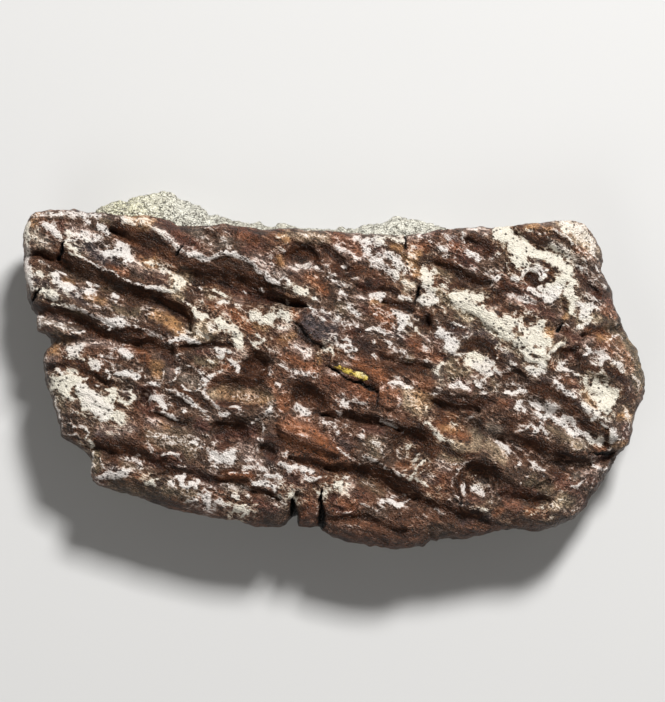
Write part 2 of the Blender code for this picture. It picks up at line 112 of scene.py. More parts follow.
# Grooves between the ridges: depth, then the middle of the dark side as (x, y, half width)
GROOVES = (
    (1.25, ((-34.9, 13.0, 0.7), (-32.8, 13.2, 0.8), (-30.9, 12.3, 1.2), (-28.4, 11.2, 1.7),
           (-26.0, 10.2, 1.8), (-24.0, 9.2, 1.7), (-21.5, 8.3, 1.5), (-19.2, 7.8, 1.4),
           (-17.4, 7.0, 1.3), (-16.2, 5.8, 1.1), (-15.7, 4.8, 0.7))),
    (1.1, ((-33.9, 6.9, 0.8), (-32.0, 6.7, 1.1), (-30.0, 6.2, 1.5), (-28.0, 5.5, 1.6),
           (-26.0, 4.3, 1.2), (-24.0, 3.5, 1.0), (-22.0, 3.0, 0.9), (-20.3, 3.3, 1.0))),
    (0.7, ((-32.3, 3.5, 0.9), (-30.0, 3.2, 1.1), (-28.0, 3.3, 0.9), (-25.5, 3.4, 0.8),
           (-23.0, 3.1, 0.9), (-21.0, 2.8, 1.0), (-18.0, 2.5, 0.9))),
    (0.5, ((-17.0, 2.4, 0.4), (-15.5, 2.5, 0.6), (-13.0, 2.7, 0.6), (-11.0, 2.3, 0.5))),
    (1.2, ((-25.3, 15.8, 0.4), (-23.5, 15.3, 1.2), (-21.8, 14.6, 2.0), (-20.0, 13.8, 2.3),
           (-18.3, 12.6, 2.0), (-16.9, 11.4, 1.4))),
    (1.8, ((-16.2, 10.9, 1.5), (-14.5, 10.9, 2.3), (-12.0, 10.8, 2.8), (-9.8, 10.0, 2.5),
           (-7.6, 8.9, 1.9), (-5.6, 7.9, 0.9), (-3.6, 7.3, 0.5), (-2.8, 7.0, 0.3))),
    (0.8, ((-1.2, 13.8, 0.8), (0.0, 13.1, 1.1), (1.0, 12.3, 1.1), (1.9, 11.4, 0.9))),
    (0.6, ((-6.6, 12.6, 0.6), (-6.0, 11.4, 0.9), (-5.6, 10.4, 0.6))),
    (0.4, ((-4.4, 5.3, 0.6), (-3.8, 4.5, 0.7), (-3.1, 3.5, 0.7), (-2.1, 2.6, 0.6), (-0.8, 2.3, 0.4))),
    (0.6, ((3.0, 9.1, 0.6), (4.5, 9.0, 0.9), (5.9, 9.1, 0.8), (7.2, 8.4, 0.7))),
    (0.6, ((5.5, 7.5, 0.5), (7.0, 7.0, 0.8), (8.9, 6.6, 0.7))),
    (0.6, ((14.9, 14.8, 0.8), (16.2, 14.3, 1.1), (17.4, 13.4, 1.1), (18.3, 12.6, 0.7))),
    (0.9, ((11.8, 12.2, 0.7), (13.2, 11.6, 1.0), (14.8, 10.6, 1.1), (16.3, 9.9, 1.1), (18.0, 9.8, 0.8))),
    (0.35, ((18.2, 7.2, 0.5), (18.6, 8.4, 0.9), (19.8, 8.6, 1.0), (21.4, 7.9, 0.8), (23.0, 7.2, 0.6))),
    (0.3, ((12.0, 7.8, 0.5), (13.5, 7.0, 0.6), (14.6, 6.1, 0.6), (16.1, 5.8, 0.6), (17.6, 4.8, 0.6),
           (19.0, 3.5, 0.6), (20.5, 2.0, 0.5))),
    (0.9, ((20.5, 15.9, 0.7), (22.0, 15.0, 1.0), (23.5, 14.1, 1.3), (25.2, 13.4, 1.4),
           (26.8, 12.9, 1.3), (28.2, 11.6, 1.2), (29.2, 10.2, 1.1), (30.2, 8.6, 0.8))),
    (1.0, ((22.2, -3.2, 1.1), (23.6, -3.7, 1.6), (25.2, -4.7, 1.9), (27.2, -5.9, 2.0),
           (29.0, -7.1, 1.8), (30.5, -7.9, 1.1))),
    (1.3, ((18.6, -7.5, 0.9), (20.2, -8.0, 1.5), (22.3, -8.8, 1.9), (24.4, -9.7, 2.0),
           (26.8, -10.4, 1.7), (29.0, -10.1, 1.2), (31.5, -9.4, 0.7))),
    (0.8, ((18.2, -13.8, 0.7), (20.0, -14.2, 0.9), (22.4, -14.5, 1.0), (24.4, -14.8, 0.7))),
    (0.5, ((22.8, -13.5, 0.5), (24.5, -12.6, 0.7), (26.5, -12.0, 0.8), (28.2, -11.2, 0.6))),
    (1.2, ((-1.0, -5.2, 0.7), (1.0, -5.2, 1.0), (3.0, -5.4, 1.1), (5.0, -5.8, 1.1),
           (6.5, -6.2, 0.9), (7.5, -6.8, 0.7))),
    (0.7, ((-4.6, -10.2, 0.6), (-3.0, -10.5, 0.9), (-1.0, -10.9, 1.2), (1.0, -11.2, 1.3))),
    (1.4, ((-0.6, -11.0, 0.7), (0.6, -11.1, 1.1), (2.0, -11.3, 1.4),
           (4.0, -11.5, 1.6), (5.5, -12.2, 1.7), (7.0, -13.0, 1.7), (8.6, -13.6, 1.6),
           (9.6, -14.2, 1.0))),
    (0.8, ((8.6, -13.8, 1.2), (10.0, -14.6, 1.3), (11.4, -15.4, 1.3), (14.0, -16.4, 1.3),
           (17.2, -16.7, 1.0))),
    (1.1, ((-26.6, -8.6, 0.8), (-25.0, -8.8, 1.3), (-23.0, -9.1, 1.7), (-21.0, -9.7, 1.6),
           (-19.0, -10.4, 1.1))),
    (0.7, ((-20.0, -11.8, 0.6), (-18.0, -11.6, 0.8), (-15.0, -12.0, 0.9), (-12.0, -12.6, 0.8),
           (-10.0, -13.1, 0.8), (-8.0, -13.7, 0.7), (-6.0, -14.5, 0.6))),
    (0.7, ((-32.2, 0.4, 0.6), (-30.0, 0.4, 0.8), (-28.5, 0.0, 0.9), (-26.8, -0.8, 1.2),
           (-25.0, -1.6, 1.1), (-22.6, -2.0, 0.8))),
    (0.8, ((28.2, 3.9, 0.6), (30.0, 4.4, 1.0), (31.8, 4.8, 1.2), (33.2, 5.0, 0.8))),
    (0.6, ((0.0, -16.9, 0.6), (3.0, -16.8, 0.9), (6.0, -17.4, 0.9), (8.0, -18.3, 0.7))),
    (0.6, ((-19.6, -4.9, 0.5), (-18.0, -5.7, 0.7), (-16.4, -6.1, 0.8), (-15.0, -6.9, 0.8))),
    (0.9, ((10.6, -3.4, 0.8), (12.4, -3.8, 1.0), (14.4, -4.3, 0.9), (16.2, -4.6, 0.6))),
    (0.7, ((5.8, 1.1, 0.7), (7.8, 1.0, 1.0), (9.6, 0.6, 0.9), (11.0, 0.0, 0.6))),
)

# Pits of the ornament: (x, y, radius along, radius across, turn in degrees, depth)
PITS = (
    (16.0, 1.5, 2.5, 2.2, -10, 1.2), (20.4, -1.9, 2.5, 2.2, -15, 0.9),
    (30.2, -2.6, 2.7, 2.5, -20, 1.3), (22.4, 10.0, 1.2, 1.1, 0, 0.5),
    (8.5, -9.0, 2.8, 2.7, 0, 1.7), (16.4, -12.9, 3.1, 2.8, -10, 1.8),
    (14.0, -6.0, 3.2, 1.8, -25, 0.9), (-2.9, -3.8, 2.6, 2.4, 0, 1.6),
    (-8.5, 0.3, 2.1, 1.8, 10, 1.5), (-10.2, -3.0, 4.0, 2.1, -12, 1.2),
    (-11.3, -7.5, 3.0, 2.0, -8, 1.2), (-21.2, -3.6, 1.6, 1.7, 0, 1.2),
    (-17.4, -4.2, 2.4, 1.5, -25, 0.7), (-16.4, -1.2, 2.0, 1.7, 0, 0.6),
    (-18.6, 1.4, 1.7, 1.2, -35, 0.8), (26.4, 0.6, 2.0, 1.8, 0, 1.0),
    (-3.4, 12.4, 2.5, 2.1, 8, 1.4), (-14.0, 14.6, 1.5, 1.4, 0, 0.6),
    (-7.4, -9.6, 1.6, 1.3, 0, 0.8), (29.7, 1.0, 1.3, 1.2, 0, 0.6),
    (10.6, 5.2, 0.6, 0.8, 0, 1.0), (-8.3, -7.5, 0.9, 0.9, 0, 0.5),
    (-4.0, -14.4, 0.6, 0.9, 0, 0.9),
)

# Ridge crests that stand above the face: height, then the line as (x, y, half width)
CRESTS = (
    (0.5, ((-30.2, 13.6, 0.6), (-29.0, 12.8, 0.7), (-27.0, 11.7, 0.7), (-25.0, 10.7, 0.7),
           (-22.0, 9.3, 0.7), (-20.0, 8.9, 0.7), (-17.8, 9.0, 0.8))),
    (0.5, ((-31.5, 8.2, 0.8), (-30.0, 7.5, 0.8), (-28.5, 6.8, 0.7), (-26.0, 5.6, 0.7),
           (-24.5, 5.2, 0.7), (-22.0, 4.8, 0.7), (-20.0, 4.2, 0.7), (-18.5, 3.7, 0.6))),
    (0.35, ((-33.2, 5.0, 0.8), (-31.5, 4.6, 0.8), (-29.5, 4.0, 0.8), (-28.0, 3.8, 0.6))),
    (0.5, ((-16.0, 12.7, 0.7), (-14.8, 12.8, 0.7), (-13.0, 12.8, 0.8), (-11.0, 13.2, 0.8),
           (-9.6, 12.4, 0.8), (-8.0, 11.0, 0.8), (-6.4, 9.9, 0.8), (-4.2, 8.9, 0.9))),
    (0.7, ((-17.9, 10.0, 0.8), (-17.2, 8.7, 0.8))),
    (0.4, ((-24.0, 16.7, 0.8), (-20.6, 16.0, 0.9), (-18.6, 14.8, 0.8), (-16.6, 13.3, 0.7))),
    (0.5, ((2.4, -9.7, 0.7), (3.6, -10.1, 0.8), (5.0, -10.5, 0.8), (6.4, -11.4, 0.8),
           (8.0, -12.1, 0.8), (9.6, -12.1, 0.8), (11.0, -11.2, 0.7), (11.6, -9.6, 0.7))),
    (0.5, ((13.0, -12.4, 0.8), (13.4, -14.4, 0.8), (15.2, -15.9, 0.8), (17.6, -15.8, 0.8),
           (19.6, -14.6, 0.7))),
    (1.0, ((-5.8, -7.0, 0.9), (-3.8, -7.5, 1.3), (-1.6, -8.6, 1.3), (0.4, -9.7, 0.8))),
    (0.5, ((-12.6, -12.0, 0.6), (-11.0, -12.0, 0.8), (-9.4, -12.2, 0.6))),
    (0.4, ((23.6, -1.3, 0.8), (26.0, -2.9, 0.8), (27.5, -4.0, 0.8), (29.2, -5.2, 0.8), (31.0, -6.3, 0.8))),
    (0.45, ((22.4, -5.6, 0.7), (23.5, -6.2, 0.8), (25.5, -7.4, 0.9), (28.0, -8.8, 0.8))),
    (0.35, ((9.4, 10.0, 1.1), (13.4, 8.2, 1.4), (17.6, 6.1, 1.4), (21.6, 3.0, 1.5), (23.0, 1.4, 1.1))),
    (0.6, ((24.2, 0.7, 0.5), (24.7, 1.6, 0.55), (25.3, 2.4, 0.55), (25.9, 3.1, 0.5))),
    (0.5, ((-14.2, -3.5, 0.6), (-12.2, -4.6, 0.6), (-10.0, -5.3, 0.6), (-8.2, -5.6, 0.6),
           (-7.0, -4.7, 0.6), (-6.5, -3.6, 0.6))),
    (0.4, ((10.8, -6.6, 1.1), (12.8, -8.3, 1.3), (16.0, -9.7, 1.4), (18.2, -10.4, 1.3), (20.6, -12.8, 1.1))),
    (0.4, ((11.0, -2.3, 0.7), (13.0, -2.6, 0.7), (15.0, -3.1, 0.7), (17.0, -3.0, 0.7))),
    (0.4, ((20.8, 16.3, 0.6), (24.5, 16.0, 0.7), (26.2, 14.9, 0.7), (27.6, 13.6, 0.7), (28.9, 12.2, 0.7))),
)

# Blocks that stand above their surroundings: (x, y, half length, half width, turn, height)
BLOCKS = (
    (-1.5, 4.2, 2.3, 1.9, -20, 0.6), (2.2, -2.5, 2.9, 1.4, -20, 0.35), (6.4, -3.3, 1.4, 1.2, -20, 0.45),
    (-2.6, -16.2, 1.2, 1.5, 0, 0.4), (1.2, -15.2, 1.2, 0.9, 0, 0.4), (29.6, 9.6, 1.2, 2.2, 15, 0.3),
    (-28.0, -4.2, 2.4, 1.8, -30, 0.2), (31.5, -7.4, 0.7, 0.8, 0, 0.4), (-13.2, 4.4, 2.6, 0.9, -15, 0.4),
    (0.65, 0.7, 0.45, 0.3, -45, 0.35), (-24.0, 5.0, 1.0, 0.7, -20, 0.5),
)

# Cracks: depth, then the line as (x, y, half width)
CRACKS = (
    (1.2, ((-30.4, 14.3, 0.15), (-30.5, 13.3, 0.22), (-31.0, 12.4, 0.2))),
    (0.9, ((-33.9, 7.6, 0.15), (-33.5, 8.2, 0.22), (-33.0, 8.9, 0.12))),
    (0.8, ((9.75, 9.0, 0.12), (9.5, 8.0, 0.18), (9.2, 7.0, 0.12))),
    (0.7, ((8.2, 15.2, 0.15), (8.2, 13.6, 0.12))),
    (0.7, ((-0.7, 0.15, 0.08), (0.4, -0.45, 0.13), (1.2, -1.1, 0.15), (2.3, -1.7, 0.14),
           (3.3, -2.0, 0.18), (4.3, -2.5, 0.2), (5.1, -2.9, 0.14))),
    (0.4, ((5.1, -2.9, 0.09), (5.05, -3.9, 0.1), (5.0, -4.8, 0.08))),
    (0.45, ((-4.3, 5.0, 0.1), (-3.6, 4.4, 0.14), (-3.1, 3.6, 0.15), (-2.2, 2.7, 0.14), (-0.9, 2.3, 0.1))),
    (0.8, ((-17.0, 13.6, 0.12), (-17.6, 12.8, 0.14))),
    (2.2, ((-4.2, -18.2, 0.35), (-4.3, -16.6, 0.4), (-4.5, -15.6, 0.3), (-4.5, -14.8, 0.2))),
    (1.2, ((-1.3, -17.8, 0.3), (-1.2, -16.4, 0.3), (-1.3, -15.0, 0.24), (-1.3, -14.0, 0.16))),
    (0.8, ((25.9, 5.0, 0.12), (25.3, 4.1, 0.14))),
    (0.5, ((28.8, -9.5, 0.1), (29.8, -9.6, 0.14), (31.8, -9.4, 0.16))),
)

# The rock that shows past the bone's north edge: (x, reach beyond the edge)
ROCK_REACH = (
    (-36.0, -1.2), (-27.4, -1.2), (-26.8, 0.6), (-25.8, 1.5), (-24.9, 2.2), (-24.3, 2.5),
    (-23.5, 2.3), (-22.8, 2.8), (-21.6, 3.1), (-20.2, 3.35), (-19.3, 4.0), (-18.4, 4.05),
    (-17.5, 3.8), (-16.2, 3.4), (-14.8, 2.7), (-14.3, 1.9), (-13.2, 1.9), (-12.2, 1.4),
    (-11.7, 1.0), (-10.7, 1.3), (-9.6, 0.9), (-8.3, 1.4), (-7.9, 1.0), (-6.5, 0.9), (-6.2, 1.15),
    (-4.5, 1.1), (-3.0, 0.9), (-1.0, 0.9), (0.5, 0.9), (1.0, 1.3), (1.5, 1.1), (2.5, 1.2),
    (4.0, 1.8), (5.5, 2.1), (6.5, 2.4), (7.3, 2.85), (8.5, 2.5), (10.0, 2.3), (11.0, 1.8),
    (12.0, 1.2), (13.0, 0.7), (14.0, 0.3), (14.9, -1.0), (36.0, -1.2),
)

# The yellow mineral in the middle crack, as (x, y, half width)
SLIVER = (
    (0.0, -0.05, 0.06), (0.5, -0.1, 0.15), (0.9, -0.2, 0.2), (1.3, -0.3, 0.3), (1.8, -0.6, 0.35),
    (2.4, -0.9, 0.3), (3.0, -0.95, 0.36), (3.4, -1.15, 0.45), (3.8, -1.25, 0.3), (4.0, -1.2, 0.08),
)

# Camera: aim in millimetres, degrees above the level, and distance in metres
CAMERA_AIM = (0.0, 1.9, 10.5)
CAMERA_ELEVATION = 84.5
CAMERA_DISTANCE = 0.395
LENS = 180.0

# Lights: bearing and height in degrees, distance and side in metres, and power in watts
KEY_LIGHT = (25, 50, 0.60, 0.12, 5.6)
FILL_LIGHT = (-150, 45, 0.80, 0.40, 1.0)
LIGHT_AIM = (0.0, 0.0, 0.010)
WORLD_COLOUR = (1.0, 0.98, 0.95, 1.0)
WORLD_STRENGTH = 0.155

# Floor: half its side in metres, and its linear colour
FLOOR_REACH = 1.5
FLOOR_COLOUR = (0.56, 0.555, 0.545, 1.0)

# Linear colours: the dark brown of the hollows and gaps, partly painted shade and partly the bone's own dark
# matter; plain bone; and the redder bone of the middle
SHADE_AND_DARK_BROWN = (0.050, 0.0145, 0.0032)
PLAIN_BROWN = (0.082, 0.0445, 0.0275)
WARM_BROWN = (0.112, 0.047, 0.0245)

# Stains on the bone: the linear colour, then brush strokes as (strength, half width, x, y, x, y, ...)
STAINS = {
    "grey": ((0.25, 0.20, 0.155), (
        (0.8, 0.7, -34.3, 15.6, -33.3, 14.7, -32.2, 14), (0.5, 0.4, -32, 17.3, -29.6, 17.2),
        (0.7, 0.5, -33, 5, -31.5, 5, -30, 4.5, -28.5, 4.1),
        (0.7, 0.6, -16.6, -1.2, -15.8, -1.4, -15.6, -2),
        (0.5, 0.4, -12.2, -13.2, -11.2, -13.4, -10.4, -13.7),
        (0.5, 0.6, -15.4, 15.2, -13, 14.2, -12, 14.2), (0.6, 0.15, 23.3, 1.9, 23.3, 1.4),
        (0.6, 0.3, 15.4, 4.9, 15.4, 4.4), (0.6, 0.4, 16.6, -12.6, 17.6, -12.8),
        (0.6, 0.35, 18.6, -6.9, 17.4, -6.8), (0.6, 0.25, 23.2, 13, 23.4, 12.8),
        (0.6, 0.5, 25.4, 13.8, 26.4, 13.2, 27.6, 12.4), (0.6, 0.3, 27.4, 4, 28.2, 4.4),
        (0.5, 0.5, 26.8, -8.2, 28.2, -9), (0.6, 0.3, 27.2, -12.2, 27.6, -12),
        (0.7, 0.7, 24.6, 14, 25.6, 13.3, 26.8, 12.6), (0.7, 0.8, 11.4, -0.4, 12, -1.2),
    )),
    "tan": ((0.50, 0.37, 0.24), (
        (1, 0.4, -17.9, 10.2, -17.4, 9.8, -16.8, 10, -16.3, 10.1), (1, 0.3, -17, 10.4, -16.4, 10.5),
        (1, 0.35, -17.4, 9.2, -17.6, 8.6, -17.3, 8, -17, 7.7),
        (0.8, 0.6, -15.4, 4.6, -14.8, 4.2, -14.8, 3.6, -14, 3.4), (0.6, 0.3, -20.9, 16.6, -20.6, 16),
        (0.5, 0.3, -11.4, -3.2, -8.2, -3.2),
        (0.6, 0.4, -5, 14.9, -3.5, 14.8, -2.2, 14.9, -1.2, 14.7, -0.4, 14.6),
        (0.6, 0.4, 8, 9.6, 8.6, 9.2, 8.2, 8.6), (0.8, 0.4, 8.2, -2.6, 8.6, -3.4, 8.2, -4),
        (0.5, 0.5, 9.2, -3.2, 10, -3.4, 9.6, -4.4), (0.6, 0.35, 14.2, 5.6, 15, 5.4),
        (0.6, 0.35, 13.6, -8.8, 14.6, -9.2, 15.4, -9.4), (0.6, 0.5, 15.4, -7.4, 16.2, -8.2, 16, -9),
        (0.6, 0.5, 17.4, -8.6, 18.2, -9.4, 19, -10.4),
        (0.6, 0.5, 25.6, 16.4, 27, 16.6, 28.4, 15.8, 29.4, 14.8), (0.7, 0.3, 24.9, 1.6, 25.6, 2.6),
        (0.6, 0.4, 33.4, -0.4, 34.4, -1.4), (0.6, 0.5, 26, -14.8, 24.6, -15.8),
        (0.5, 0.4, 26.4, -7.4, 27.4, -8.8), (0.8, 1, 27, 15.8, 28.6, 14.8, 29.4, 13.4),
        (0.9, 0.6, 32.9, -4.6, 33.3, -5.3), (0.8, 0.6, -13, -2.9, -11, -3, -8.5, -3, -7, -3.6),
        (0.8, 1, 8.6, -3.4, 9.6, -4.6), (1, 0.5, -17.6, 10.3, -17, 9.6, -17.6, 8.6),
    )),
    "olive": ((0.20, 0.15, 0.09), (
        (0.6, 0.3, -26, 16.6, -25, 16.3), (0.9, 0.3, -29.8, 6.6, -28.4, 6),
        (0.8, 0.4, -32.4, 3.7, -31, 3.4, -29.8, 3.2),
        (0.9, 0.35, -26.5, -9.4, -26.5, -10.6, -26.4, -11.6), (0.6, 0.4, -23.4, -10.8, -22.6, -11),
        (0.6, 0.3, -30.9, -3, -30.6, -4, -30.3, -4.8), (0.6, 0.4, -24.6, 6.6, -23.2, 6, -22, 6.2),
        (0.6, 0.3, -14.2, 8.5, -13.6, 8), (0.7, 0.4, -15.2, 0.9, -14.6, 0.5, -13.8, 0.6, -13.4, 0.4),
        (0.5, 0.8, -20.4, -7.6, -19, -8, -17.8, -8.2, -16.6, -8.4, -16, -9.2),
        (0.7, 0.6, -18.6, -14, -17, -14.2, -15.4, -14.2), (0.5, 0.5, 0.8, 6.6, 1.2, 6.4),
        (0.6, 0.3, 8.6, 0.9, 8.8, 0.9), (0.6, 0.4, 3.4, -12.9, 4.2, -13, 4.8, -13.5, 5.4, -14.1),
        (0.5, 0.5, 4.2, -8.4, 5, -8.6, 4.6, -9.2), (0.6, 0.3, 4.4, -9.8, 5, -9.9),
        (0.6, 0.35, 12, 10.8, 13, 10.4, 13.4, 10),
        (0.8, 0.4, 11.9, 8.4, 12.2, 8, 12.6, 7.6, 13.2, 7.3, 13.9, 6.8, 14.6, 6.2, 15.6, 5.9, 16.4,
         5.9, 17, 5.4, 17.8, 4.7, 18.6, 4, 19.2, 3.4), (0.6, 0.2, 19.4, 14, 19.6, 13.6),
        (0.6, 0.4, 13.4, 0.7, 13.2, 0, 13.6, -0.4),
        (0.7, 0.4, 13.4, -1, 14.2, -0.6, 15, -0.7, 15.4, -0.9), (0.5, 0.4, 18, -1.4, 18.2, -2.2),
        (0.7, 0.45, 12.4, -10.2, 13.4, -10.6, 14.2, -10.4), (0.6, 0.5, 22.4, -12.6, 21.8, -13.2),
        (0.6, 0.15, 19.9, 2.8, 20.4, 2.2, 20.8, 1.6), (0.6, 0.2, 20.9, 3.5, 20.9, 3.5),
        (0.6, 0.3, 22.3, 1.9, 22.4, 1.5), (0.6, 0.25, 22.9, 0.8, 22.9, 0.8),
        (0.8, 0.3, 26, 7.4, 26.3, 6.6, 26.4, 5.9), (0.8, 0.2, 27.6, 5.3, 28.1, 5.1),
        (0.7, 0.4, 29.6, 5.9, 30.2, 5.5), (0.6, 0.3, 24.3, 2.8, 24.6, 2.6),
        (0.6, 0.3, 22.2, 1.9, 22.6, 1.5), (0.6, 0.2, 23.3, 1.9, 23.2, 1.3),
        (0.7, 0.3, 28.8, -0.5, 29.8, -0.6, 30.4, -0.9), (0.5, 0.4, 24.4, -6.8, 26, -7.8, 27.6, -8.4),
        (0.7, 0.3, 31.8, -8.4, 32.8, -8.8), (0.5, 0.5, 22.6, -12.8, 24.4, -13.6),
        (0.5, 0.5, 25.8, -14.6, 26.6, -15.2), (0.9, 1.2, 31.5, 4.5, 33, 2.5, 34, 0.5, 34.2, -1.5),
        (0.8, 0.4, 26, 7.4, 26.2, 6.5), (0.8, 0.5, 13.4, 7.3, 14.4, 6.2, 15.4, 5.6),
        (0.8, 0.6, -24.6, -12.9, -22, -13.3, -19.5, -14), (0.7, 0.7, -30, 11.3, -27.5, 10.3, -25, 9.2),
    )),
    "pink": ((0.40, 0.27, 0.22), (
        (0.6, 0.6, -29.8, 15.5, -28.4, 15.3, -27.2, 15), (0.6, 0.6, -22.4, 12, -21.2, 11),
        (0.6, 0.3, -29, 2.8, -26, 2.7, -24.4, 2.6), (0.6, 0.3, -31.6, 1, -31, 0.8),
        (0.7, 0.3, -26.2, -6.9, -25.6, -6.7), (0.6, 0.6, -25, -7.4, -23.8, -7.2, -22.6, -6.8),
        (0.7, 0.35, -20.4, 15.9, -19.6, 15.5, -18.9, 15, -18.3, 14.5, -17.8, 13.9, -17.3, 13.3, -16.7,
         13.2), (0.6, 0.4, -20.4, 11.2, -19.2, 10.6), (0.7, 0.5, -8.6, 12.4, -8, 11.8, -7.4, 11.2),
        (0.6, 0.2, -10.9, 7.8, -10.3, 7.3), (0.7, 0.25, -12.2, 6.1, -11.7, 5.8),
        (0.7, 0.35, -11, 1.6, -10.2, 1.7, -9.8, 1.2), (0.6, 0.3, -18.2, -0.4, -18.3, -1),
        (0.6, 0.4, -20.8, -6, -19.8, -6.3, -18.9, -6.6), (0.5, 0.5, -10.4, -8.8, -9.6, -9.2),
        (0.7, 0.3, -8.3, -8.2, -7.9, -8.3), (0.7, 0.5, -9.6, -10.2, -9, -10.6, -8.6, -11.1),
        (0.6, 0.5, -4.8, 11.3, -3.8, 11.2, -2.8, 11.2, -2.6, 11.8),
        (0.7, 0.35, 0.4, 13.6, 1.2, 13.2, 1.9, 12.8, 2.6, 12.3, 3.4, 12.3, 3.8, 12.6),
        (0.7, 0.35, 3, 7.9, 3.6, 7.7), (0.6, 0.3, 8.6, 14.6, 8.8, 14.4),
        (0.8, 0.4, -4.2, 2.4, -3.2, 1.9, -2.6, 1.6, -3, 1.1),
        (0.7, 0.4, -5.9, 4.4, -5.2, 4.2, -4.8, 4.6), (0.7, 0.3, -0.4, -0.6, 0.4, -0.9, 1.2, -0.9),
        (0.7, 0.2, 1.2, 0.3, 1.8, 0.2), (0.5, 0.6, 5.8, -2.9, 6.4, -3.3, 7, -3.7, 6, -3.9),
        (0.5, 0.6, -5, -6.2, -4, -6.4, -3, -6.8, -2, -7.4, -1, -8.2),
        (0.7, 0.35, 1.6, -13.2, 2, -13, 1.6, -13.9, 1.2, -14.2, 1.8, -14.6),
        (0.6, 0.4, 16.8, 15, 17.5, 15.3), (0.6, 0.25, 15.4, 15.5, 16.4, 15.6, 17.6, 15.6),
        (0.6, 0.4, 17.6, 6.6, 18.4, 6.6), (0.6, 0.4, 20.4, 7.8, 21, 7.5),
        (0.6, 0.35, 19.8, 8.1, 20.4, 8), (0.7, 0.3, 15.6, -1.1, 16.2, -1),
        (0.6, 0.3, 10.2, 3.4, 10.8, 2.9), (0.6, 0.35, 11.8, -10.8, 12.4, -11.2, 13, -11.4),
        (0.6, 0.3, 19.6, -14.8, 20.6, -15.8), (0.6, 0.3, 23.6, 15.9, 23.9, 15.8),
        (0.7, 0.2, 25.8, 6, 25.4, 5.6), (0.7, 0.25, 25.2, 3.8, 25.5, 3.6),
        (0.6, 0.3, 28.4, 2.6, 28.8, 2.9), (0.6, 0.3, 21.6, 8.4, 22.4, 7.6),
        (0.5, 0.4, 31.6, 7, 31.9, 6.4), (0.6, 0.3, 30, -10.8, 29.6, -12),
        # The last pink stroke, (-5.3, -7.2) to (-2.3, -8.1), is a painted highlight along the top of the red
        # lump
        (0.6, 0.3, 28, -11.8, 29, -11.6), (0.95, 0.35, -5.3, -7.2, -4.4, -7.5, -3.4, -7.8, -2.3, -8.1),
    )),
    "purple": ((0.075, 0.058, 0.060), (
        (0.9, 0.5, -28.5, 13.7, -27.4, 13.5, -26.2, 12.6, -25.2, 12, -24.3, 11.7),
        (0.7, 0.35, -34, 10.3, -33.2, 9.6, -32.2, 9.2),
        (0.8, 0.3, -31.2, 8.9, -29.8, 8.5, -28.6, 8.1, -27.8, 7.3),
        (0.6, 0.3, -32.3, 6.3, -31, 5.7, -29.6, 5.4), (0.6, 0.25, -26.4, -7.6, -25.8, -7.6),
        (0.6, 0.3, -24.9, -11.2, -24.3, -11.4), (0.5, 0.4, -23.4, -2.8, -22.6, -3.2),
        (0.8, 0.5, -14.4, -12.5, -13.4, -12.6, -12.8, -13),
        (0.7, 0.5, -7.6, -8.2, -6.6, -8.2, -6.4, -9, -7.2, -9.6, -6.8, -10.3),
        (0.5, 0.4, -17, -11.5, -15.6, -11.8, -14.6, -12.2), (0.5, 0.5, -19, 1.2, -18, 0.6),
        (1, 1, -3, 5, -2.2, 4.6, -1.2, 4.4, -0.4, 3.8, -1.6, 3.4),
        (0.6, 0.3, 4.4, 13.7, 5.4, 13.2, 5.9, 12.9), (0.7, 0.5, 2.6, 2.6, 3.6, 2.4, 4.4, 2),
        (0.5, 0.4, 6.8, 3.8, 7.6, 3.4), (0.6, 0.6, 1, -8.4, 1.8, -8.8),
        (0.7, 0.3, 15.6, 3.8, 16.6, 3.8, 17.4, 3.9), (0.7, 0.4, 17.6, 3, 18.2, 2.9),
        (0.7, 0.25, 19.6, 1.4, 20.1, 1.2), (0.8, 0.45, 13.6, 4.2, 14.4, 4.2, 15, 4.1),
        (0.6, 0.4, 10.2, -12.4, 10.8, -12.8), (0.7, 0.4, 14.6, -17.4, 16, -16.6, 17.4, -16.7),
        (0.6, 0.3, 13.2, 14.6, 14, 14.2), (0.7, 0.5, 24.4, 13.8, 25.4, 13.4),
        (0.6, 0.35, 22.6, 12, 23.6, 11.9), (0.6, 0.3, 24.2, -1.5, 23.4, -1.6),
        (0.5, 0.4, 27.6, -4, 28.6, -4.8), (0.6, 0.3, 28.8, 9.2, 29.4, 9),
        (1, 1.1, -2.8, 5.4, -1.6, 4.4, -0.8, 3.4),
    )),
    "maroon": ((0.120, 0.046, 0.032), (
        (0.8, 0.35, -30.9, 16.4, -30.2, 15.7), (0.8, 0.4, -22, -3.6, -21.5, -4),
        (0.6, 0.3, -26.4, -8.2, -25.6, -9.2), (0.5, 0.7, -21.6, 13.6, -20.8, 13),
        (0.9, 0.5, -20.3, 16.9, -19.3, 16.5, -18.6, 16.2, -17.8, 15.4, -17.2, 14.8, -16.6, 14.2, -15.5,
         13.9), (0.5, 0.5, -20.6, 10.3, -19.2, 9.9, -18.4, 9.8),
        (0.6, 0.8, -10.6, 15.4, -9, 14.6, -8.4, 13.6, -9.6, 13.4),
        (0.9, 0.5, -11.5, 8.8, -10, 8.6, -9, 8.2, -8, 7.8, -7, 7.6),
        (0.8, 0.4, -15.2, 1.7, -14.2, 1.6, -13.7, 1.4),
        (0.8, 0.3, -12.8, -4.2, -11.6, -4, -10.6, -4.1), (0.8, 0.4, -20.8, -4.6, -20.2, -5),
        (0.9, 0.5, -15, -6.4, -14.2, -6.8), (0.9, 0.6, -12.6, -7.6, -11, -7.4, -9.4, -7.4, -8.8, -7.8),
        (0.6, 0.5, -12.6, -9, -11.8, -8.8), (0.9, 0.5, -19.2, -10.6, -18.4, -10.4, -17.8, -10.6),
        (0.7, 0.5, -8.6, -15.2, -7.4, -15.6, -6.4, -15.8), (0.6, 0.3, -10, -1.9, -8.6, -1.9),
        (0.6, 0.4, -4.6, 10.2, -3.4, 10.1),
